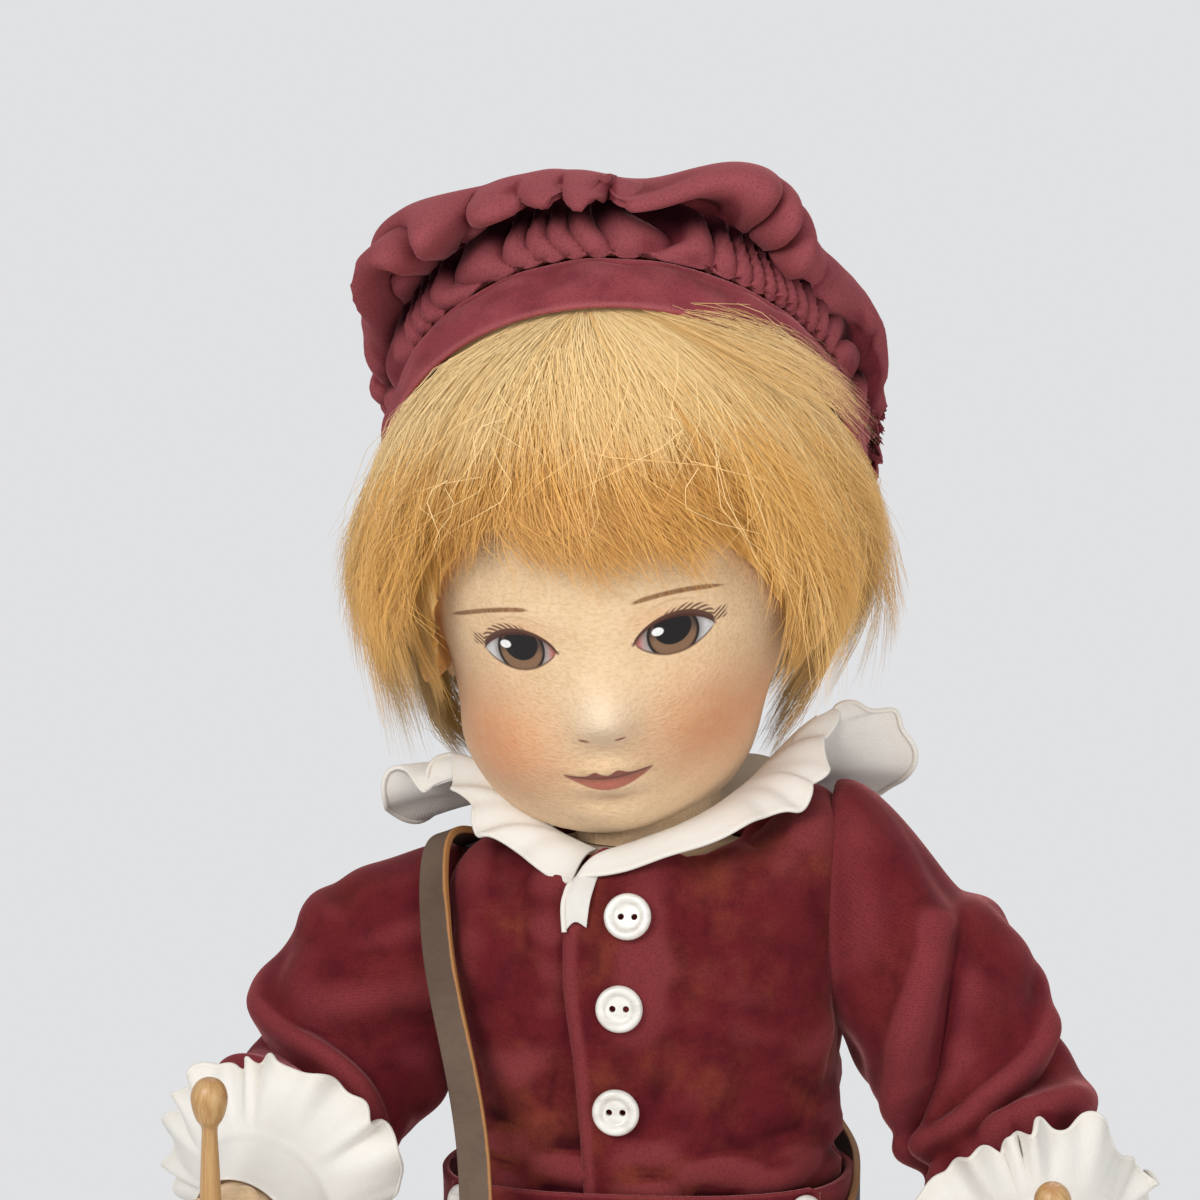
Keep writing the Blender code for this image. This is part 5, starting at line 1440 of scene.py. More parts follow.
@dataclass
class Cap:
    """The velvet cap on the back of the head: a plain band and a crown gathered into it."""

    head: Head
    gap: float = GAP
    guess: float = 0.0555
    tilt: float = 58.0
    offset: float = 0.0265
    width: float = 0.0140
    taper: float = 0.0015
    seam: float = 0.0016
    velvet: float = VELVET
    spread: Tuple[float, ...] = (1.0, 1.0, 1.0, 1.0, 1.0, 1.0, 1.0, 1.0, 0.97, 0.76, 0.40, 0.0)
    bulges: Tuple[float, ...] = (0.0, 1.6, 2.4, 2.2, 3.4, 6.2, 9.6, 11.4, 7.0, 2.0, 0.0, 0.0)
    heights: Tuple[float, ...] = (0.0, 1.6, 4.0, 8.0, 12.5, 12.0, 7.6, 9.0, 17.5, 24.5, 27.4, 28.2)
    flat_heights: Tuple[float, ...] = (0.0, 1.6, 3.6, 5.6, 7.6, 9.6, 12.0, 15.0, 20.0, 24.8, 27.4, 28.2)
    side_bulge: float = 0.22
    knob_count: float = 31.0
    knob_high: float = 0.0042
    lobe_count: float = 11.0
    lobe_high: float = 0.0080
    lobe_droop: float = 0.0120
    corner_turn: float = 35.0
    corner_out: float = 0.0060

    def __post_init__(self) -> None:
        """Works out the cap's directions in the head's frame."""
        tilt = math.radians(self.tilt)
        self.pole = np.array([0.0, math.sin(tilt), math.cos(tilt)])
        self.front = np.array([0.0, -math.cos(tilt), math.sin(tilt)])
        self.left = np.array([1.0, 0.0, 0.0])

    def at(self, radius: Array, height: Array, azimuth: Array) -> Array:
        """Points round the cap's axis, in the head's frame. Azimuth 0 is the front edge."""
        turn = np.radians(azimuth)
        out = around(turn, self.front, self.left)
        return np.asarray(height, float)[..., None] * self.pole + out * radius[..., None]

    def edge(self, azimuth: Array) -> Array:
        """Radius at which the cap rests on the hair, found in steps from a first guess."""
        radius = np.full(len(azimuth), self.guess)
        for _ in range(12):
            ways = unit(self.at(radius, self.offset, azimuth))
            grow = 2.0 * self.gap + self.head.hair(ways)
            reach = np.linalg.norm(self.head.skin(ways, grow, False), axis=-1)
            radius = np.sqrt(np.maximum(reach ** 2 - self.offset ** 2, 0.0))
        return radius

    def build(self, maker: Maker) -> None:
        """The band and the crown."""
        dents = Waves(21, 0.011, 10)

        def band(u: Array, v: Array) -> Array:
            azimuth = 360.0 * u
            bulge = 0.0009 * np.sin(np.pi * v) - 0.0006 * hill(v - 0.86, 0.07)
            radius = self.edge(azimuth) - self.taper * v + bulge
            places = self.at(radius, self.offset + self.width * v, azimuth)
            ease = dents(places) * 0.0004 * np.sin(np.pi * v)
            return self.head.world(places + unit(places) * ease[:, None])

        piece = edit(bent_grid("cap_band", band, 180, 12))
        thicken(piece, self.velvet, 1)
        maker.hand_over(piece, "cap", "velvet", "head", "cap_band")
        crown = edit(bent_grid("cap_crown", self.crown, 460, 60))
        thicken(crown, self.velvet)
        maker.hand_over(crown, "crown", "velvet", "head", "cap_crown")

    def crown(self, u: Array, v: Array) -> Array:
        """The gathered crown: tight knobs at the band, an overhanging wavy roll, and a smooth top."""
        azimuth = 360.0 * u
        turn = np.radians(azimuth)
        edge = self.edge(azimuth) - self.taper
        foot = self.offset + self.width + self.seam
        ring = point(np.cos(turn), np.sin(turn), 0.0)
        wander = Waves(31, 0.9, 10)(ring)
        uneven = Waves(35, 0.7, 8)(ring)
        drift = Waves(32, 0.6, 10)(np.column_stack([ring[:, :2], v]))
        lumps = Waves(33, 0.8, 12)(np.column_stack([ring[:, :2], 1.6 * v]))
        full = self.side_bulge + (1.0 - self.side_bulge) * np.abs(np.cos(turn)) ** 1.1
        radius = edge * through(self.spread, v) + through(self.bulges, v) * MM * full
        height = foot + (through(self.heights, v) * full + through(self.flat_heights, v) * (1.0 - full)) * MM
        corner = hill(np.abs(half_turn(azimuth)) - self.corner_turn, 15.0)
        radius = radius + self.corner_out * corner * ramp(0.42, 0.58, v) * fade(0.76, 0.96, v)
        knobs = np.sqrt(np.sin(self.knob_count * turn + 6.0 * wander + 1.2 * drift) ** 2 + 0.03) - 0.65
        tight = ramp(0.0, 0.07, v) * (1.0 - 0.75 * ramp(0.20, 0.40, v)) * fade(0.42, 0.56, v)
        lobes = np.sqrt(np.sin(self.lobe_count * turn + 3.4 * wander + 1.8 * drift) ** 2 + 0.10) - 0.69
        lobes = lobes * (1.0 + 0.5 * uneven) * (0.10 + 0.90 * full ** 1.5)
        roll = ramp(0.38, 0.52, v) * fade(0.60, 0.78, v)
        loose = ramp(0.30, 0.50, v) * fade(0.80, 1.0, v)
        radius = radius + self.knob_high * knobs * tight + self.lobe_high * lobes * roll
        radius = radius + 0.0014 * lumps * loose
        droop = self.lobe_droop * lobes * ramp(0.40, 0.52, v) * fade(0.58, 0.76, v)
        droop = droop + 0.0016 * knobs * uneven * tight
        height = height - droop + 0.0008 * lumps * loose
        return self.head.world(self.at(np.maximum(radius, 0.0), height, azimuth))


# Clothes on the body


def shoulder_ease(places: Array) -> Array:
    """Lifts the cloth at the armhole seams and lowers the sleeves' heads, so that the shoulders slope.

    The strap holds the doll's right shoulder down, so it is lifted less.

    Args:
        places: Points of the cloth.

    Returns:
        The moved points.
    """
    offset = places[:, 0] - DOLL[0]
    aside, height = np.abs(offset), places[:, 2]
    free = ramp(-0.010, 0.010, offset)
    over = hill(places[:, 1] - DOLL[1], 0.026)
    lift = (-0.0010 + 0.0095 * free) * hill(aside - 0.0415, 0.0095) * ramp(0.276, 0.298, height)
    lift = lift + (0.0030 + 0.0070 * free) * hill(aside - 0.0330, 0.0085) * ramp(0.280, 0.294, height) * over
    lower = 0.0085 * free * hill(aside - 0.0635, 0.0090) * ramp(0.284, 0.300, height)
    lower = lower + 0.0085 * (1.0 - free) * hill(aside - 0.0575, 0.0140) * ramp(0.276, 0.296, height)
    return places + point(0.0, 0.0, lift - lower)


@dataclass
class Jacket:
    """The velvet jacket: a back and two fronts, the left one lapping over the right."""

    torso: Torso
    gap: float = GAP
    velvet: float = VELVET
    overlap: float = 0.0085
    tuck: float = 0.006
    armhole: float = 0.0150

    @property
    def out(self) -> float:
        """How far the outside of one layer stands off the body."""
        return self.gap + self.velvet

    @property
    def lapped_out(self) -> float:
        """How far the outside of the lap stands off the body."""
        return 2.0 * self.out

    @property
    def lap(self) -> float:
        """Turn of the lap's edge from the front, in degrees."""
        return math.degrees(math.asin(self.overlap / self.torso.chest_deep)) * 0.55

    def neckline(self, turn: Array) -> Array:
        """How far up the body the jacket reaches, lower at the front."""
        return 0.962 - 0.066 * np.maximum(0.0, np.cos(np.radians(turn))) ** 2

    def build(self, maker: Maker) -> None:
        """The three panels."""
        low = self.torso.share(self.torso.waist - self.tuck)
        soft = Waves(41, 0.021, 12, (1.0, 1.0, 0.7))
        drag = Waves(42, 0.012, 12, (0.55, 0.55, 1.6))
        lap = self.lap

        def panel(start: float, end: float, lapped: bool) -> Surface:
            def surface(u: Array, v: Array) -> Array:
                turn = start + (end - start) * u
                share = low + (self.neckline(turn) - low) * v
                base = self.torso.outside(turn, share, self.gap)
                height = base[:, 2]
                waist = fade(self.torso.waist, self.torso.waist + 0.022, height)
                chest = ramp(self.torso.waist + 0.006, self.torso.waist + 0.03, height)
                fold = 0.0009 * soft(base) * chest + 0.0011 * drag(base) * (0.12 + 0.88 * waist)
                fold = fold + 0.0022 * waist * ramp(self.torso.waist - 0.004, self.torso.waist + 0.01, height)
                side = ramp(25.0, 70.0, np.abs(half_turn(turn)))
                rays = np.sin((height - 0.262) / 0.0036 + 3.0 * np.cos(np.radians(turn)))
                fold = fold + 0.0010 * rays * side * hill(height - 0.262, 0.018)
                fold = fold - 0.0007 * hill((turn + 180.0) % 360.0, 0.9)
                if lapped:
                    raised = (self.lapped_out - self.out) * fade(lap * 0.6, lap * 2.2, turn)
                    fold = fold * ramp(-lap, lap, turn) + raised
                    fold = fold + 0.0006 * hill(turn + lap * 0.86, lap * 0.16)
                return shoulder_ease(self.torso.outside(turn, share, self.gap + np.maximum(fold, -0.0003)))
            return surface

        panels = (
            ("jacket_back", panel(90.35, 269.65, False), 110, 0.125, 0.0105),
            ("jacket_right_front", panel(-89.65, lap * 0.35, False), 66, 0.068, 0.0056),
            ("jacket_left_front", panel(-lap, 89.65, True), 76, 0.078, 0.0064),
        )
        for name, surface, across, cut, area in panels:
            piece = bent_grid(name, surface, across, 64)
            self.open_armholes(piece)
            thicken(piece, self.velvet)
            maker.hand_over(piece, "jacket", "velvet", "body", name)

    def open_armholes(self, piece: Piece) -> None:
        """Deletes the faces inside the armholes, which the sleeves cover."""
        select_only(piece)
        bpy.ops.object.mode_set(mode="EDIT")
        bpy.ops.mesh.select_mode(type="FACE")
        bpy.ops.mesh.select_all(action="DESELECT")
        bpy.ops.object.mode_set(mode="OBJECT")
        for side in Side:
            joint = joint_place(f"{side.word}_shoulder")
            for face in piece.data.polygons:
                away = np.array(face.center) - joint
                if side.value * away[0] > -0.006 and math.hypot(away[1], away[2]) < self.armhole:
                    face.select = True
        bpy.ops.object.mode_set(mode="EDIT")
        bpy.ops.mesh.delete(type="FACE")
        bpy.ops.mesh.select_mode(type="VERT")
        bpy.ops.object.mode_set(mode="OBJECT")


@dataclass
class Buttons:
    """Two-hole shell buttons with a dished face."""

    torso: Torso
    jacket: Jacket
    radius: float = 0.0047
    thick: float = 0.0020
    section: Tuple[Tuple[float, float], ...] = (
        (0.0, 0.50), (0.30, 0.50), (0.52, 0.54), (0.63, 0.80), (0.74, 1.0), (0.90, 0.96), (1.0, 0.60),
        (0.97, 0.28), (0.80, 0.0), (0.40, 0.0), (0.0, 0.0))
    hole: float = 0.00066
    spacing: float = 0.0027
    shares: Tuple[float, ...] = (0.960, 0.695, 0.365)
    turns: Tuple[float, ...] = (0.0, -0.3, -1.2)
    waist_turn: float = 52.0
    lift: float = 0.0006
    trouser_out: float = TROUSER_OUT
    gap: float = GAP

    def button(self, name: str) -> Piece:
        """One button at the origin, facing +Z."""
        piece = turned(name, np.array(self.section) * (self.radius, self.thick), 48, 4)
        for side in (-1, 1):
            bpy.ops.object.select_all(action="DESELECT")
            bpy.ops.mesh.primitive_cylinder_add(vertices=20, radius=self.hole, depth=4.0 * self.thick,
                                                location=(side * self.spacing / 2.0, 0.0, 0.0))
            cutter = bpy.context.active_object
            apply(piece, "BOOLEAN", object=cutter, operation="DIFFERENCE", solver="EXACT")
            bpy.data.objects.remove(cutter)
        return piece

    def build(self, maker: Maker) -> None:
        """Three buttons down the front and one at each side of the waist."""
        chest = self.torso.line - self.torso.waist
        front = self.jacket.lapped_out + self.lift
        rows = [(f"jacket_button_{number}", turn, self.torso.waist + share * chest, front)
                for number, (share, turn) in enumerate(zip(self.shares, self.turns), 1)]
        rows += [(f"{side.word}_waist_button", side.value * self.waist_turn, self.torso.waist,
                  self.trouser_out + self.gap) for side in Side]
        for name, turn, height, out in rows:
            place, way = self.torso.spot(turn, height, out)
            piece = stand(self.button(name), place, way)
            maker.hand_over(piece, "shell", "pearl", "body", name)
            bpy.ops.object.shade_smooth_by_angle(angle=math.radians(40.0))


# Seam and hem of the collar in millimetres from the doll's axis, from the hanging front end to the doll's
# left, round the back and to the other front end.
COLLAR_SEAM = (
    (-8.2, -32.0, 286.6), (-7.4, -29.6, 293.0), (-5.0, -23.0, 299.6), (0.5, -20.4, 302.2),
    (8.0, -19.4, 305.0), (15.0, -16.5, 308.5), (20.0, -12.0, 312.0), (22.5, -8.0, 314.0),
    (23.5, -4.5, 315.0), (24.0, -1.0, 315.0), (23.5, 3.5, 314.0), (20.5, 9.0, 310.0),
    (14.0, 15.0, 305.0), (5.0, 18.0, 303.0), (-3.0, 18.3, 303.0), (-9.0, 17.0, 303.0),
    (-15.0, 14.0, 304.0), (-21.0, 10.0, 307.0), (-25.0, 5.0, 310.0), (-27.0, 0.0, 312.0),
    (-27.0, -5.0, 312.0), (-25.0, -9.5, 310.0), (-21.5, -13.0, 306.5), (-16.5, -16.0, 303.4),
    (-11.5, -18.0, 301.4), (-8.0, -19.6, 300.2),
)
COLLAR_HEM = (
    (-12.6, -32.4, 285.6), (-12.8, -31.0, 292.0), (-10.0, -27.8, 296.3), (-0.5, -27.4, 297.4),
    (9.0, -26.6, 301.5), (21.0, -24.5, 306.0), (32.0, -20.0, 310.0), (36.5, -11.0, 316.5),
    (37.0, 1.5, 325.0), (44.5, 4.0, 328.0), (51.5, 5.0, 323.0), (54.5, 8.0, 312.5),
    (46.0, 19.0, 309.0), (27.0, 26.0, 310.0), (5.0, 30.0, 311.0), (-18.0, 29.0, 310.0),
    (-38.0, 22.0, 307.0), (-51.5, 8.0, 303.0), (-55.5, 1.0, 307.0), (-52.5, -1.0, 313.5),
    (-45.5, -6.0, 311.0), (-41.5, -3.0, 316.5), (-37.0, -11.0, 310.5), (-31.5, -18.5, 304.0),
    (-22.0, -23.5, 298.8), (-11.0, -25.6, 295.4),
)


@dataclass
class Collar:
    """The gathered cotton frill that stands round the neck, with a rolled hem and a front end that hangs."""

    cotton: float = 0.0005
    hem: float = 0.00055
    lift: float = 0.0016
    waves: float = 88.0

    def skin(self, u: Array, v: Array) -> Array:
        """Points of the frill, from the seam at v 0 to the hem at v 1."""
        seam, edge = through(COLLAR_SEAM, u), through(COLLAR_HEM, u)
        ring = point(np.cos(6.0 * u), np.sin(6.0 * u), 0.0)
        wander = Waves(51, 1.1, 8)(ring)
        phase = self.waves * u + 1.9 * wander
        fine = np.sin(190.0 * u + 2.2 * wander)
        share = (v ** 0.9)[:, None]
        places = (seam * (1.0 - share) + edge * share) * MM
        back = ramp(0.40, 0.48, u) * fade(0.62, 0.70, u)
        free = (0.45 * ramp(0.03, 0.09, u) + 0.55 * ramp(0.12, 0.26, u)) * v ** 1.3
        rise = self.lift * np.sin(np.pi * v) + (0.0009 + 0.0030 * back) * np.sin(phase) * free
        rise = rise + 0.0005 * fine * free
        out = (0.0011 * np.cos(phase + 0.6) + 0.0004 * fine) * free
        away = unit(places * (1.0, 1.0, 0.0))
        return places + away * out[:, None] + point(0.0, 0.0, rise) + DOLL

    def build(self, maker: Maker) -> None:
        """The frill and its hem."""
        piece = bent_grid("collar_frill", self.skin, 420, 26)
        edit(piece, weld=False, turn_over=True)
        thicken(piece, self.cotton)
        edge = self.skin(np.linspace(0.0, 1.0, 421), np.ones(421))
        whole = hemmed(piece, edge, self.hem)
        maker.hand_over(whole, "cotton", "cotton", "body", "collar_frill")


@dataclass
class Trousers:
    """Velvet trousers: a seat with a buttoned fall front, and two legs blended from the body."""

    torso: Torso
    out: float = TROUSER_OUT
    velvet: float = VELVET
    gap: float = GAP
    rise: float = 0.005
    leg_centre: float = LEG_CENTRE
    thigh_wide: float = THIGH_WIDE
    thigh_deep: float = THIGH_DEEP
    ease: float = 0.0012
    hem_ease: float = 0.0065
    hem: float = 0.034
    ankle: float = 0.017
    low: float = 0.03
    flap_cloth: float = 0.0006
    leg_cloth: float = 0.0009
    inside: float = 0.0012

    def build(self, maker: Maker) -> None:
        """Seat, fall front and legs."""
        crease = Waves(61, 0.016, 12, (0.7, 0.7, 1.4))
        high = self.torso.share(self.torso.waist + self.rise)

        def seat(u: Array, v: Array) -> Array:
            share = self.low + (high - self.low) * v
            base = self.torso.outside(360.0 * u, share, self.out)
            band = ramp(0.74, 0.76, v) * 0.0006
            fold = 0.0005 * crease(base) * fade(0.6, 0.8, v) + band
            return self.torso.outside(360.0 * u, share, self.out - self.velvet + fold)

        top = edit(bent_grid("trouser_top", seat, 150, 52))
        thicken(top, self.velvet)
        maker.hand_over(top, "jacket", "velvet", "body", "trouser_top")

        def fall(u: Array, v: Array) -> Array:
            reach = 60.0 - 6.0 * ramp(0.55, 0.0, v)
            turn = (2.0 * u - 1.0) * reach
            corner = 0.35 * ramp(0.90, 1.0, np.abs(2.0 * u - 1.0)) ** 2
            foot = self.torso.share(self.torso.hip + 0.010)
            share = foot + (high + 0.004 - foot) * (v * (1.0 - 0.12 * corner) + 0.02 * corner)
            edge = hill(np.abs(2.0 * u - 1.0) - 0.97, 0.025) * 0.0004
            return self.torso.outside(turn, share, self.out + 0.0003 + edge)

        flap = bent_grid("trouser_fall_front", fall, 80, 40)
        thicken(flap, self.flap_cloth)
        maker.hand_over(flap, "jacket", "velvet", "body")
        for side in Side:
            self.build_leg(maker, side)

    def build_leg(self, maker: Maker, side: Side) -> None:
        """One trouser leg, from the fold of the hip to the hem."""
        joint = joint_place(f"{side.word}_hip")
        length = joint[2] - self.ankle
        reach = joint[2] - self.hem
        folds = Waves(62 + side.value, 0.020, 12, (1.0, 1.0, 0.55))
        wides = np.array((1.0, 0.96, 0.84, 0.82, 0.0085 / self.thigh_wide)) * self.thigh_wide
        deeps = np.array((1.0, 0.94, 0.68, 0.64, 1.12 * 0.0085 / self.thigh_deep)) * self.thigh_deep
        dome = self.thigh_deep + self.ease

        def leg(u: Array, v: Array) -> Array:
            along = down_limb(v, 0.3, dome, reach)
            turn = TURN * u
            wide = through(wides, np.maximum(along, 0.0) / length)
            deep = through(deeps, np.maximum(along, 0.0) / length)
            loose = self.ease + (self.hem_ease - self.ease) * ramp(0.2 * reach, reach, along)
            loose = loose + self.velvet - 0.0002
            round_off = np.sqrt(np.maximum(0.0, 1.0 - np.where(along < 0.0, along / dome, 0.0) ** 2))
            x = self.leg_centre - (wide + loose) * round_off * np.cos(turn)
            y = (deep + loose) * round_off * np.sin(turn)
            places = point(np.maximum(x, self.inside) * side.value, y, -along) + joint
            fold = folds(places) * 0.0009 * ramp(0.0, 0.03, along)
            creases = np.sin((along - reach) / 0.0042 + 1.5 * np.cos(turn))
            creases = 0.0011 * creases * hill(along - reach + 0.012, 0.012)
            ways = point(-np.cos(turn) * side.value, np.sin(turn), 0.0)
            places = places + ways * (fold + creases)[:, None]
            offset = np.maximum(side.value * (places[:, 0] - joint[0]), self.inside)
            places[:, 0] = side.value * offset + joint[0]
            return places

        name = f"{side.word}_trouser_leg"
        piece = edit(bent_grid(name, leg, 96, 110), turn_over=side is Side.RIGHT)
        thicken(piece, self.leg_cloth)
        maker.hand_over(piece, "jacket", "velvet", None, name)
        f"{side.word}_leg"
        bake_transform(piece)


# Arms


@dataclass(frozen=True)
class Fold:
    """One fold of a sleeve: its place along and round the arm, its slant, height and spread."""

    along: float
    turn: float
    slant: float
    height: float
    width: float
    reach: float

    def __call__(self, along: Array, turn: Array) -> Array:
        """The fold's height, in metres. Turn is in degrees."""
        apart = half_turn(turn - self.turn)
        off = along - self.along - self.slant * apart / 100.0
        ridge = hill(off, self.width) - 0.75 * hill(off - 1.7 * self.width, 0.9 * self.width)
        return self.height * ridge * hill(apart, self.reach)


RIGHT_FOLDS = (
    Fold(0.036, 250.0, 0.0185, 0.0046, 0.0050, 80.0),
    Fold(0.052, 215.0, 0.0120, 0.0036, 0.0042, 60.0),
    Fold(0.014, 290.0, -0.0180, 0.0026, 0.0060, 60.0),
    Fold(0.061, 290.0, -0.0100, 0.0026, 0.0038, 55.0),
    Fold(0.030, 20.0, 0.0120, 0.0022, 0.0050, 60.0),
    Fold(0.044, 90.0, 0.0100, 0.0026, 0.0050, 60.0),
)
LEFT_FOLDS = (
    Fold(0.018, 285.0, 0.0420, 0.0040, 0.0056, 60.0),
    Fold(0.037, 225.0, 0.0240, 0.0040, 0.0050, 62.0),
    Fold(0.053, 205.0, 0.0120, 0.0036, 0.0044, 60.0),
    Fold(0.047, 320.0, -0.0120, 0.0030, 0.0042, 55.0),
    Fold(0.063, 250.0, -0.0100, 0.0024, 0.0038, 55.0),
    Fold(0.034, 80.0, 0.0100, 0.0026, 0.0050, 70.0),
)


@dataclass
class Arm:
    """One arm's clothes: sleeve, cuff, hand and drumstick, along a bent centre line."""

    side: Side
    splay: float
    swing: float
    folds: Tuple[Fold, ...]
    root: float = 0.0125
    radius: float = 0.0160
    forearm_radius: float = 0.0130
    wrist_radius: float = 0.0095
    upper: float = 0.042
    lower: float = 0.036
    bend: float = 0.016
    elbow: float = 50.0
    ease: float = 0.0036
    short: float = 0.0113
    velvet: float = VELVET
    cotton: float = 0.0009
    palm: float = 0.0150
    finger: float = 0.0031
    stick_radius: float = 0.0025
    stick_length: float = 0.108
    above_grip: float = 0.041
    bead_radius: float = 0.0036
    bead_length: float = 0.0105
    stick_lean: float = 30.0
    cuff_low: float = 0.0040
    frill: float = 0.0118
    hem: float = 0.00060
    turned_at: float = 0.38
    cuff_waves: float = 9.0
    finger_curl: Tuple[float, float] = (-150.0, 93.0)
    slack: float = 0.0032
    face: float = 0.0010
    voxel: float = 0.00062

    def __post_init__(self) -> None:
        """Works out the centre line and the frame on the shoulder joint."""
        splay, bend = math.radians(self.splay), math.radians(self.elbow)
        self.first = np.array([math.sin(splay), 0.0, -math.cos(splay)])
        self.second = self.first * math.cos(bend) + np.array([0.0, -math.sin(bend), 0.0])
        self.second = self.second / np.linalg.norm(self.second)
        self.start = np.array([self.root, 0.0, 0.0])
        self.knee = self.start + self.first * self.upper
        self.across = unit(np.cross(self.first, self.second))
        self.length = self.upper + self.lower
        swing = math.radians(-self.swing)
        self.frame = np.array([[1.0, 0.0, 0.0], [0.0, math.cos(swing), -math.sin(swing)],
                               [0.0, math.sin(swing), math.cos(swing)]])
        self.joint = joint_place(f"{self.side.word}_shoulder")
        self.body = f"{self.side.word}_arm"
        self.wrist, self.along = (row[0] for row in self.centre(np.array([self.length])))

    def world(self, places: Array) -> Array:
        """Points of the joint's frame, with +X outwards, in the doll's."""
        return (places * (self.side.value, 1.0, 1.0)) @ self.frame.T + self.joint

    def centre(self, along: Array) -> Tuple[Array, Array]:
        """Points and directions of the centre line."""
        along = np.asarray(along, float)[..., None]
        share = np.clip((along - self.upper + self.bend) / (2.0 * self.bend), 0.0, 1.0)
        begin = self.knee - self.first * self.bend
        end = self.knee + self.second * self.bend
        middle = begin * (1 - share) ** 2 + self.knee * (2 * share * (1 - share)) + end * share ** 2
        straight = self.start + self.first * along
        after = self.knee + self.second * (along - self.upper)
        places = np.where(share <= 0.0, straight, np.where(share >= 1.0, after, middle))
        return places, unit(self.first * (1.0 - share) + self.second * share)

    def skin(self, along: Array, turn: Array, grow: Array, dome: float) -> Array:
        """Points round the arm, grown outwards, in the joint's frame."""
        places, ways = self.centre(along)
        share = np.maximum(along, 0.0) / self.length
        radius = through((self.radius, 0.97 * self.radius, 1.03 * self.forearm_radius, self.forearm_radius,
                          self.wrist_radius), share) + grow
        radius = radius * np.sqrt(np.maximum(0.0, 1.0 - np.where(along < 0.0, along / dome, 0.0) ** 2))
        other = np.cross(ways, self.across)
        return places + around(turn, self.across, other) * radius[..., None]

    def build(self, maker: Maker) -> None:
        """All of the arm's pieces."""
        self.build_sleeve(maker)
        self.build_cuff(maker)
        self.build_hand(maker)
        self.build_inner_arm(maker)

    def build_inner_arm(self, maker: Maker) -> None:
        """The stuffed felt arm inside the sleeve."""
        def arm(u: Array, v: Array) -> Array:
            along = down_limb(v, 0.3, self.radius, self.length)
            grow = -self.slack * fade(0.5, 1.0, along / self.length)
            places = self.skin(along, TURN * u, grow, self.radius)
            places[:, 0] = np.maximum(places[:, 0], 0.0030)
            return shoulder_ease(self.world(places))

        piece = edit(bent_grid(self.body, arm, 56, 48), fill=True, outward=True)
        maker.hand_over(piece, "skin", "felt_skin", self.body, self.body)

    def build_sleeve(self, maker: Maker) -> None:
        """A wide sleeve with folds, sewn to the armhole and gathered into the cuff."""
        dome = self.radius + self.ease
        last = self.length - self.short + 0.002
        soft = Waves(70 + self.side.value, 0.019, 12)

        def sleeve(u: Array, v: Array) -> Array:
            along = down_limb(v, 0.22, dome, last)
            turn = TURN * u
            degrees = 360.0 * u
            held = fade(0.80, 1.0, along / last)
            grow = self.ease + sum(fold(along, degrees) for fold in self.folds) * held
            base = self.skin(along, turn, self.ease, dome)
            grow = grow + 0.0006 * soft(base)
            gather = np.cos(15.0 * turn + 1.5 * np.sin(3.0 * turn)) * ramp(0.70, 0.98, along / last)
            grow = grow + 0.0005 * gather - 0.0012 * (1.0 - held)
            places = self.skin(along, turn, grow, dome)
            places[:, 0] = np.maximum(places[:, 0], self.face)
            return shoulder_ease(self.world(places))

        name = f"{self.side.word}_sleeve"
        piece = edit(bent_grid(name, sleeve, 130, 124), turn_over=self.side is Side.RIGHT)
        thicken(piece, self.velvet)
        maker.hand_over(piece, "sleeve", "velvet", None, name)
        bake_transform(piece)
        f"{self.side.word}_arm"

    def build_cuff(self, maker: Maker) -> None:
        """A cotton band at the wrist and a gathered frill turned back over the sleeve."""
        other = np.cross(self.along, self.across)
        inner = self.wrist_radius + GAP

        def skin(u: Array, v: Array) -> Array:
            turn = TURN * u
            band = np.minimum(1.0, v / self.turned_at)
            frill = np.maximum(0.0, (v - self.turned_at) / (1.0 - self.turned_at))
            ring = point(np.cos(turn), np.sin(turn), 0.0)
            wander = Waves(80 + self.side.value, 1.0, 8)(ring)
            uneven = Waves(84 + self.side.value, 0.7, 8)(ring)
            phase = self.cuff_waves * turn + 2.6 * wander
            wave = np.sin(phase) * (0.8 + 0.4 * uneven)
            fine = np.sin(19.0 * turn + 3.4 * wander + 2.0 * frill)
            place = self.cuff_low - 0.0115 * band - 0.0080 * frill
            place = place + (0.0020 * wave + 0.0003 * fine) * frill ** 1.2
            radius = inner + 0.0036 * band ** 1.5 + (self.frill + 0.0010 * uneven) * frill ** 0.70
            radius = radius + (0.0013 * np.sin(phase + 0.9) + 0.0004 * fine) * frill
            radius = radius - 0.0005 * hill(v - self.turned_at, 0.03)
            out = around(turn, self.across, other) * radius[..., None]
            return self.world(self.wrist + self.along * place[..., None] + out)

        name = f"{self.side.word}_cuff"
        piece = edit(bent_grid(name, skin, 300, 30), turn_over=self.side is Side.LEFT)
        thicken(piece, self.cotton * 0.55)
        edge = skin(np.linspace(0.0, 1.0, 330, endpoint=False), np.ones(330))
        whole = hemmed(piece, edge, self.hem, ring=True)
        maker.hand_over(whole, "cotton", "cotton", self.body, name)
        f"{self.side.word}_arm"

    def grip(self) -> Tuple[Array, Array, Array, Array]:
        """Place and directions of the fist: along the stick, across the palm, and forwards."""
        lean = math.radians(self.stick_lean)
        stick = unit(np.array([-0.06, -math.sin(lean), math.cos(lean)]))
        across = unit(np.cross(stick, self.along))
        return self.wrist + self.along * (1.23 * self.palm), stick, across, np.cross(across, stick)

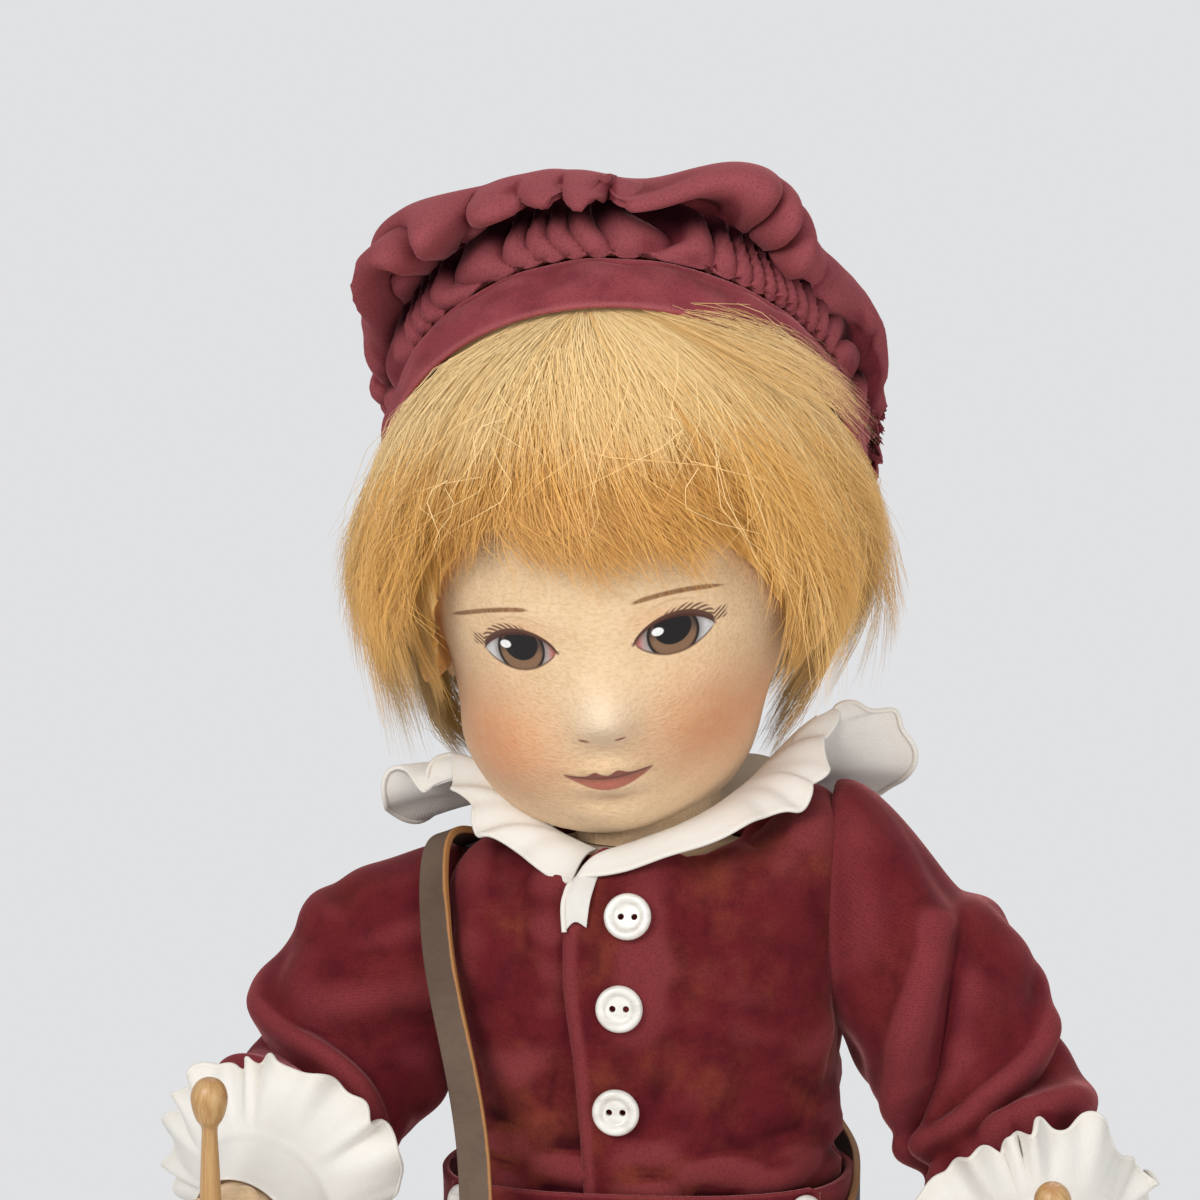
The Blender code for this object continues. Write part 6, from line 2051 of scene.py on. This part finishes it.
    def build_hand(self, maker: Maker) -> None:
        """A stuffed fist with four fingers and a thumb round the stick."""
        grip, stick, across, forward = self.grip()
        reach = self.stick_radius + self.finger
        palm = self.wrist + self.along * (0.48 * self.palm)
        sizes = np.array([0.80, 0.57, 0.63]) * self.palm
        spacing = 1.75 * self.finger
        balls: List[Tuple[Array, float]] = []
        for number in range(4):
            base = grip + stick * (spacing * (number - 1.5))
            for turn in np.radians(np.linspace(*self.finger_curl, 14)):
                place = base + forward * (reach * math.cos(turn)) + across * (reach * math.sin(turn))
                balls.append((place, self.finger * (1.0 + 0.06 * math.cos(2.0 * turn))))
        thumb_base = palm + stick * (0.50 * self.palm) - across * (0.13 * self.palm)
        thumb_tip = grip + stick * (1.9 * spacing) + across * (0.9 * reach) + forward * (0.36 * reach)
        balls += [(thumb_base + (thumb_tip - thumb_base) * share, 1.05 * self.finger)
                  for share in np.linspace(0.0, 1.0, 9)]
        name = f"{self.side.word}_hand"
        axes = np.stack([self.along, across, stick])

        def palm_skin(u: Array, v: Array) -> Array:
            angle, turn = np.pi * v, TURN * u
            ball = point(np.sin(angle) * np.cos(turn), np.sin(angle) * np.sin(turn), np.cos(angle))
            return self.world(palm + (ball * sizes) @ axes)

        parts = [edit(bent_grid(name, palm_skin, 32, 20), outward=True)]
        for place, radius in balls:
            bpy.ops.object.select_all(action="DESELECT")
            bpy.ops.mesh.primitive_ico_sphere_add(subdivisions=2, radius=radius, location=(0.0, 0.0, 0.0))
            part = bpy.context.active_object
            put_places(part, places_of(part) + self.world(place[None])[0])
            parts.append(part)
        hand = join(parts, name)
        apply(hand, "REMESH", mode="VOXEL", voxel_size=self.voxel)
        apply(hand, "SMOOTH", factor=0.5, iterations=3)
        places = places_of(hand)
        here = (places - self.joint) @ self.frame * (self.side.value, 1.0, 1.0) - self.wrist
        depth = np.maximum(-(here @ self.along), 0.0)
        way = (self.along * (self.side.value, 1.0, 1.0)) @ self.frame.T
        put_places(hand, places + way * (0.6 * depth)[:, None])
        maker.hand_over(hand, "skin", "felt_skin", self.body, name)
        self.build_stick(maker, grip, stick)

    def build_stick(self, maker: Maker, grip: Array, way: Array) -> None:
        """A turned drumstick: rounded butt, plain shaft, thin neck and an acorn bead."""
        neck = self.stick_length - self.bead_length
        r, b, long, bead = self.stick_radius, self.bead_radius, self.stick_length, self.bead_length
        profile = [(0.0, long), (0.36 * b, long - 0.02 * bead), (0.70 * b, long - 0.10 * bead),
                   (0.93 * b, long - 0.24 * bead), (b, long - 0.40 * bead), (0.92 * b, neck + 0.40 * bead),
                   (0.74 * b, neck + 0.20 * bead), (0.64 * r, neck), (0.66 * r, neck - 0.035 * long),
                   (0.76 * r, neck - 0.09 * long), (0.92 * r, neck - 0.20 * long), (r, neck - 0.31 * long),
                   (r, 0.40 * long), (r, 0.20 * long), (r, 0.02 * long), (0.72 * r, 0.004 * long), (0.0, 0.0)]
        foot = grip - way * (self.stick_length - self.above_grip)
        places = self.world(np.stack([foot, foot + way]))
        name = f"{self.side.word}_drumstick"
        stick = stand(turned(name, profile, 32, 6), places[0], places[1] - places[0])
        maker.hand_over(stick, "beech", "beech", self.body, name)


# Legs, drum and strap


@dataclass
class Shoe:
    """One felt leg in a stocking, with its leather shoe and stitched sole."""

    side: Side
    centre: float = LEG_CENTRE
    sole: float = 0.0030
    leather: float = 0.0013
    wide: float = 0.0105
    long: float = 0.0285
    tall: float = 0.0095
    forward: float = 0.0100
    welt: float = 0.0014
    gap: float = 0.0015
    ankle: float = 0.017
    square: float = 2.6
    voxel: float = 0.0009
    stitches: int = 60
    inset: float = 0.0007
    thread: float = 0.00022
    thigh_wide: float = THIGH_WIDE
    thigh_deep: float = THIGH_DEEP

    def __post_init__(self) -> None:
        """Finds the joint."""
        self.joint = joint_place(f"{self.side.word}_hip")
        self.body = f"{self.side.word}_leg"

    def foot(self, ways: Array, grow: float) -> Array:
        """Points on the foot from directions out of its middle, in the joint's frame with +X outwards."""
        middle = np.array([self.centre, -self.forward, -self.joint[2] + self.sole + self.tall])
        floor = -self.joint[2] + self.sole + 0.0003 + self.leather + self.gap
        toe = ramp(0.0, 1.0, -ways[:, 1])
        wide = (self.wide + grow) * (1.0 + 0.10 * toe)
        tall = (self.tall + grow) * (1.08 - 0.22 * toe)
        square = (np.abs(ways[:, :2]) ** self.square).sum(axis=1) ** (1.0 / self.square)
        flat = np.hypot(ways[:, 0], ways[:, 1])
        full = np.where(square > 1e-6, flat / np.maximum(square, 1e-6), 1.0)
        flat = np.maximum(flat, 1e-6)
        full = full * np.where(ways[:, 2] < 0.0, flat ** -0.62, 1.0)
        long = self.long + grow
        places = middle + point(ways[:, 0] * wide * full, ways[:, 1] * long * full, ways[:, 2] * tall)
        places[:, 2] = np.maximum(places[:, 2], floor - grow)
        return places

    def world(self, places: Array) -> Array:
        """Points of the joint's frame in the doll's."""
        return places * (self.side.value, 1.0, 1.0) + self.joint

    def build(self, maker: Maker) -> None:
        """Leg, upper and sole."""
        self.build_leg(maker)
        self.build_upper(maker)
        self.build_sole(maker)

    def build_leg(self, maker: Maker) -> None:
        """The stuffed leg in its ribbed stocking, with the foot."""
        length = self.joint[2] - self.ankle

        def leg(u: Array, v: Array) -> Array:
            along = length * (0.35 + 0.65 * v)
            turn = TURN * u
            wide = through(np.array((1.0, 0.96, 0.84, 0.82, 0.607)) * self.thigh_wide, along / length)
            deep = through(np.array((1.0, 0.94, 0.68, 0.64, 0.464)) * self.thigh_deep, along / length)
            rib = 1.0 + 0.010 * np.cos(36.0 * turn)
            places = point(self.centre - wide * rib * np.cos(turn), deep * rib * np.sin(turn), -along)
            return self.world(places)

        def foot(u: Array, v: Array) -> Array:
            return self.world(self.foot(directions(180.0 * (1.0 - v), 360.0 * u), 0.0))

        shank = edit(bent_grid(self.body, leg, 72, 60), fill=True, outward=True)
        ball = edit(bent_grid(f"{self.side.word}_foot", foot, 48, 32), outward=True)
        whole = join([shank, ball], self.body)
        apply(whole, "REMESH", mode="VOXEL", voxel_size=self.voxel)
        apply(whole, "SMOOTH", factor=0.5, iterations=4)
        maker.hand_over(whole, "body", "felt_body", self.body, self.body)

    def build_upper(self, maker: Maker) -> None:
        """The leather upper, open over the instep, with a seam at its rim and heel."""
        def upper(u: Array, v: Array) -> Array:
            azimuth = 360.0 * u
            front = np.maximum(0.0, np.cos(np.radians(azimuth)))
            rim = 112.0 + 40.0 * ramp(0.45, 0.95, front)
            polar = 180.0 - rim * v
            seam = 0.0004 * hill(v - 0.93, 0.012) - 0.0003 * hill(azimuth - 180.0, 2.5)
            ways = directions(polar, azimuth)
            return self.world(self.foot(ways, self.gap) + ways * seam[:, None])

        name = f"{self.side.word}_shoe_upper"
        shoe = edit(bent_grid(name, upper, 96, 44), turn_over=self.side is Side.RIGHT)
        thicken(shoe, self.leather)
        maker.hand_over(shoe, "shoe", "shoe_leather", self.body, name)

    def build_sole(self, maker: Maker) -> None:
        """The sole and the stitches round its welt."""
        grow = self.gap + self.leather + self.welt

        def sole(u: Array, v: Array) -> Array:
            edge = self.foot(directions(90.0, 360.0 * u), grow)
            middle = np.array([self.centre, -self.forward, 0.0])
            share = through((0.0, 0.5, 0.95, 1.0, 1.0, 0.985, 0.5, 0.0), v)
            level = np.array([0.0, 0.0, 0.0, 0.08, 0.92, 1.0, 1.0, 1.0])
            height = self.sole * np.interp(v, np.linspace(0.0, 1.0, 8), level) - self.joint[2]
            flat = middle[:2] + (edge[:, :2] - middle[:2]) * share[:, None]
            return self.world(point(flat[:, 0], flat[:, 1], height))

        name = f"{self.side.word}_shoe_sole"
        pieces = [edit(bent_grid(name, sole, 96, 28), outward=True)]
        edge = self.foot(directions(90.0, np.linspace(0.0, 360.0, self.stitches + 1)), grow - self.inset)
        for number in range(self.stitches):
            ends = edge[number:number + 2] * (1.0, 1.0, 0.0) + (0.0, 0.0, self.sole - self.joint[2])
            path = ends[0] + (ends[1] - ends[0]) * np.linspace(0.15, 0.75, 4)[:, None]
            path[:, 2] += np.array([-0.0001, 0.0001, 0.0001, -0.0001])
            pieces.append(tube("stitch", self.world(path), self.thread, 5))
        maker.hand_over(join(pieces, name), "shoe", "shoe_leather", self.body, name)


@dataclass
class Drum:
    """The side drum: shell, skins, hoops, lacing and strap rings."""

    radius: float = 0.0225
    wall: float = 0.0016
    tall: float = 0.034
    hoop_thick: float = 0.0022
    hoop_tall: float = 0.0060
    hoop_rise: float = 0.0018
    skin: float = 0.0008
    seat: float = 0.0003
    cord: float = 0.0008
    turns: int = 8
    ring: float = 0.0050
    wire: float = 0.0008

    def __post_init__(self) -> None:
        """Works out the drum's place."""
        joint = joint_place("drum_swing")
        self.middle = np.array([joint[0], joint[1], 0.0])
        self.level = joint[2]
        self.top = joint[2] + self.hoop_tall / 2.0 - self.hoop_rise
        self.foot = self.top - self.tall
        self.hoop = self.radius + self.seat + self.hoop_thick

    @staticmethod
    def rounded(name: str, outer: float, inner: float, high: float, low: float, round_off: float) -> Piece:
        """A ring of rectangular section with rounded edges."""
        corners = [(outer, high), (outer, low), (inner, low), (inner, high)]
        section: List[Tuple[float, float]] = []
        for index, (radius, height) in enumerate(corners):
            sign_r = -1.0 if radius == outer else 1.0
            sign_h = -1.0 if height == high else 1.0
            centre = (radius + sign_r * round_off, height + sign_h * round_off)
            start = (90.0, 0.0, 270.0, 180.0)[index]
            for step in range(4):
                turn = math.radians(start - 30.0 * step)
                section.append((centre[0] + round_off * math.cos(turn),
                                centre[1] + round_off * math.sin(turn)))
        section.append(section[0])
        return turned(name, section, 96, 1)

    def build(self, maker: Maker) -> None:
        """All of the drum's pieces."""
        shell = self.rounded("drum_shell", self.radius, self.radius - self.wall, self.top, self.foot, 0.0003)
        self.place(maker, shell, "drum", "drum_paint")
        for word, seat, rise in (("top", self.top, 1.0), ("bottom", self.foot, -1.0)):
            near = seat + rise * self.seat
            far = near + rise * self.skin
            high, low = max(near, far), min(near, far)
            r = self.radius
            profile = [(0.0, high), (0.6 * r, high), (0.93 * r, high), (0.985 * r, high - 0.0001),
                       (r, high - 0.0003), (r, low + 0.0002), (0.985 * r, low), (0.5 * r, low), (0.0, low)]
            self.place(maker, turned(f"drum_{word}_skin", profile, 96, 3), "parchment", "drum_skin")
            edge = seat + rise * self.hoop_rise
            back = edge - rise * self.hoop_tall
            hoop = self.rounded(f"drum_{word}_hoop", self.hoop, self.radius + self.seat, max(edge, back),
                                min(edge, back), 0.0006)
            self.place(maker, hoop, "hoop", "beech")
        self.build_lacing(maker)
        for side in Side:
            self.build_ring(maker, side)

    def place(self, maker: Maker, piece: Piece, finish: str, slot: str) -> None:
        """Moves a piece from the axis to the drum's place and finishes it."""
        put_places(piece, places_of(piece) + self.middle)
        maker.hand_over(piece, finish, slot, "drum", piece.name.split(".")[0])
        bpy.ops.object.shade_smooth_by_angle(angle=math.radians(35.0))

    def build_lacing(self, maker: Maker) -> None:
        """One closed cord that zigzags between the hoops and swells and thins with its twist."""
        reach = self.hoop + self.seat + self.cord
        high = self.top - self.hoop_tall + 2.0 * self.hoop_rise
        low = self.foot + self.hoop_tall - 2.0 * self.hoop_rise
        count = 4 * self.turns
        spread = reach / math.cos(math.pi / count)
        turn = TURN * (np.arange(count) + 1.5) / count
        level = np.where(np.arange(count) % 4 < 2, high, low)
        corners = point(spread * np.sin(turn), -spread * np.cos(turn), level)
        path: List[Array] = []
        for index in range(count):
            first, second = corners[index], corners[(index + 1) % count]
            for share in np.linspace(0.0, 1.0, 10, endpoint=False):
                ease = 0.5 - 0.5 * math.cos(math.pi * share)
                path.append(first + (second - first) * (0.35 * ease + 0.65 * share))
        line = np.array(path)
        ring = np.hypot(line[:, 0], line[:, 1])
        line[:, :2] *= np.maximum(1.0, reach / ring)[:, None]
        twist = 1.0 + 0.10 * np.sin(np.arange(len(line)) * 2.1)
        lacing = tube("drum_lacing", line, self.cord * twist, ring=True)
        self.place(maker, lacing, "cord", "lace_cord")

    def build_ring(self, maker: Maker, side: Side) -> None:
        """A brass wire ring on the top hoop."""
        out = self.hoop + self.seat + self.wire + self.ring
        place = np.array([self.middle[0] + side.value * out, self.middle[1], self.level])
        turn = np.linspace(0.0, 2.0 * np.pi, 48, endpoint=False)
        path = point(self.ring * np.cos(turn), self.ring * np.sin(turn), 0.0)
        name = f"{side.word}_strap_ring"
        way = (0.0, 0.4, 0.9) if side is Side.RIGHT else (0.0, 1.0, 0.25)
        ring = stand(tube(name, path, self.wire, 12, ring=True), place, np.array(way))
        maker.hand_over(ring, "brass", "brass", "drum", name)


@dataclass
class Strap:
    """The leather strap from the right ring over the shoulder and round the back to the left ring."""

    torso: Torso
    drum: Drum
    jacket: Jacket
    width: float = 0.0064
    thick: float = 0.0016
    tail: float = 0.004
    gap: float = GAP
    trouser_out: float = TROUSER_OUT
    aside: float = 0.0050
    settle: float = 0.0040
    squareness: float = 9.0

    def route(self) -> Tuple[Array, Array]:
        """Points and outward directions of the strap's middle."""
        out = self.jacket.lapped_out + self.gap + self.thick / 2.0
        low_out = self.trouser_out + self.gap + self.thick / 2.0
        reach = self.drum.hoop + self.drum.seat + self.drum.wire + self.drum.ring
        centre = np.array([self.drum.middle[0], self.drum.middle[1], self.drum.level])
        right = centre - (reach, 0.0, 0.0)
        left = centre + (reach, 0.0, 0.0)
        front = unit(np.array([0.0, -1.0, 0.25]))
        aside = np.array([1.0, 0.0, 0.0])
        rise = self.torso.neck - self.torso.line
        chest = self.torso.line - self.torso.waist
        on_front, _ = self.torso.spot(-64.0, self.torso.line + 0.43 * rise, out + 1.7 * self.thick)
        rows = [(right - (0.0, 0.0, self.tail), front), (right, front), ((right + on_front) / 2.0, front)]
        for turn, part, lift in ((-64.0, 0.43, 1.7), (-90.0, 0.74, 0.6), (-122.0, 0.41, 0.5),
                                 (-146.0, -1.1, 0.0), (-174.0, -2.7, 0.0), (-210.0, -4.1, 0.0)):
            rows.append(self.torso.spot(turn, self.torso.line + part * rise, out + lift * self.thick))
        for turn, part in ((-240.0, 0.12), (-268.0, 0.0)):
            rows.append(self.torso.spot(turn, self.torso.waist + part * chest, low_out))
        side, _ = self.torso.spot(-268.0, self.torso.waist, low_out)
        rows += [((side + left) / 2.0, aside), (left, aside), (left + unit(left - side) * self.tail, aside)]
        return np.array([row[0] for row in rows]), np.array([row[1] for row in rows])

    def build(self, maker: Maker) -> None:
        """One flat band with softened edges and a slight crown."""
        places, ways = self.route()

        def band(u: Array, v: Array) -> Array:
            place = through(places, v)
            ahead, behind = np.minimum(v + 0.004, 1.0), np.maximum(v - 0.004, 0.0)
            step = unit(through(places, ahead) - through(places, behind))
            normal = square_to(through(ways, v), step)
            across = np.cross(step, normal)
            turn = TURN * (u - 0.125)
            x, y = squared_ring(turn, self.squareness)
            x, y = x * self.width / 2.0, y * self.thick / 2.0
            y = y + 0.00012 * np.sin(90.0 * v) * np.cos(np.pi * x / self.width)
            return place + across * x[:, None] + normal * y[:, None]

        piece = edit(bent_grid("shoulder_strap", band, 40, 420), fill=True, outward=True)
        self.lay_uv(piece, places, ways)
        put_places(piece, self.moved_out(places_of(piece)))
        maker.hand_over(piece, "strap", "strap_leather", "body", "shoulder_strap")
        bpy.ops.object.shade_smooth_by_angle(angle=math.radians(50.0))

    def moved_out(self, places: Array) -> Array:
        """Moves the strap's upper part out along the doll's right shoulder, and settles it there."""
        share = ramp(0.240, 0.285, places[:, 2]) * (places[:, 0] < DOLL[0] - 0.020)
        return places - point(self.aside * share, 0.0, self.settle * share * ramp(0.285, 0.300, places[:, 2]))

    def lay_uv(self, piece: Piece, places: Array, ways: Array) -> None:
        """Rewrites the UV map so that u goes straight across the strap."""
        share = np.linspace(0.0, 1.0, 900)
        line = through(places, share)
        step = unit(np.gradient(line, axis=0))
        across = np.cross(step, square_to(through(ways, share), step))
        spots = places_of(piece)
        flat = np.empty((len(spots), 2))
        for index, spot in enumerate(spots):
            near = int(np.argmin(np.sum((line - spot) ** 2, axis=1)))
            flat[index] = (0.5 + (spot - line[near]) @ across[near] / self.width, share[near])
        write_uv(piece, flat)


@dataclass
class Studio:
    """Floor, backdrop, soft light and the camera at the photograph's angle."""

    azimuth: float = 8.0
    elevation: float = 5.0
    away: float = 0.90
    millimetres_a_pixel: float = 0.206
    waist: Tuple[float, float] = (648.0, 1185.0)
    size: float = 1200.0
    sensor: float = 36.0
    floor: float = 0.82
    chest: float = 0.30

    def build(self, maker: Maker) -> None:
        """Puts everything round the doll."""
        self.build_camera()
        bpy.ops.object.select_all(action="DESELECT")
        bpy.ops.mesh.primitive_circle_add(vertices=96, radius=self.floor, fill_type="NGON")
        floor = named("pale_floor")
        maker.cupboard.dress(floor, "floor")
        self.build_world()
        self.lamp("key_light", (-0.60, -1.30, 0.95), 0.80, 15.0)
        self.lamp("fill_light", (0.95, -1.15, 0.35), 1.1, 9.0)
        self.lamp("top_light", (0.2, 0.75, 1.45), 0.8, 6.0)
        bpy.context.scene.view_settings.view_transform = "Standard"

    def build_camera(self) -> None:
        """The camera: the waist's axis appears at its pixel of the photograph."""
        turn, rise = math.radians(self.azimuth), math.radians(self.elevation)
        back = Vector((math.sin(turn) * math.cos(rise), -math.cos(turn) * math.cos(rise), math.sin(rise)))
        right = Vector((math.cos(turn), math.sin(turn), 0.0))
        up = back.cross(right)
        scale = self.millimetres_a_pixel * MM
        waist = Vector((DOLL[0], DOLL[1], Torso().waist))
        half = self.size / 2.0
        target = waist + right * ((half - self.waist[0]) * scale) + up * ((self.waist[1] - half) * scale)
        bpy.ops.object.camera_add(location=target + back * self.away)
        camera = bpy.context.active_object
        camera.name = "camera"
        camera.rotation_euler = (-back).to_track_quat("-Z", "Y").to_euler()
        camera.data.sensor_width = self.sensor
        camera.data.lens = self.sensor * self.away / (self.size * scale)
        bpy.context.scene.camera = camera

    def build_world(self) -> None:
        """Soft grey light, with a pale backdrop for the camera."""
        world = bpy.data.worlds.new("studio")
        bpy.context.scene.world = world
        world.use_nodes = True
        tree = world.node_tree
        light = tree.nodes["Background"]
        light.inputs[0].default_value = (0.93, 0.96, 1.0, 1.0)
        light.inputs[1].default_value = 0.42
        seen = tree.nodes.new("ShaderNodeBackground")
        seen.inputs[0].default_value = (0.75, 0.755, 0.768, 1.0)
        path = tree.nodes.new("ShaderNodeLightPath")
        either = tree.nodes.new("ShaderNodeMath")
        either.operation = "MAXIMUM"
        for index, ray in enumerate(("Is Camera Ray", "Is Glossy Ray")):
            tree.links.new(path.outputs[ray], either.inputs[index])
        mix = tree.nodes.new("ShaderNodeMixShader")
        for index, node in enumerate((either, light, seen)):
            tree.links.new(node.outputs[0], mix.inputs[index])
        tree.links.new(mix.outputs[0], tree.nodes["World Output"].inputs[0])

    def lamp(self, name: str, place: Tuple[float, float, float], size: float, power: float) -> None:
        """A square soft light aimed at the doll's chest."""
        bpy.ops.object.light_add(type="AREA", location=place)
        light = bpy.context.active_object
        light.name = name
        light.data.size = size
        light.data.energy = power
        aim = Vector((0.0, 0.0, self.chest)) - Vector(place)
        light.rotation_euler = aim.to_track_quat("-Z", "Y").to_euler()


def dress_hidden(maker: Maker) -> None:
    """Gives the joints and the body inside the clothes their finishes."""
    for name, node in frame["nodes"].items():
        if name.endswith("_disc"):
            maker.cupboard.dress(node, "board")
        elif name.endswith("_pin"):
            maker.cupboard.dress(node, "steel")
    maker.cupboard.dress(frame["nodes"]["torso"], "body")


def main() -> None:
    """Builds the doll's pieces in order."""
    logging.basicConfig(level=logging.INFO, format="%(name)s %(message)s")
    maker = Maker()
    Studio().build(maker)
    torso = Torso()
    head = Head()
    jacket = Jacket(torso)
    drum = Drum()
    cap = Cap(head)
    head.build(maker)
    cap.build(maker)
    Wig(head).build(maker, cap)
    jacket.build(maker)
    Buttons(torso, jacket).build(maker)
    Collar().build(maker)
    Trousers(torso).build(maker)
    Arm(Side.LEFT, 28.0, -6.0, LEFT_FOLDS, cuff_low=0.0080, frill=0.0105).build(maker)
    Arm(Side.RIGHT, 21.0, 14.0, RIGHT_FOLDS).build(maker)
    for side in Side:
        Shoe(side).build(maker)
    drum.build(maker)
    Strap(torso, drum, jacket).build(maker)
    dress_hidden(maker)


if __name__ == "__main__":
    main()
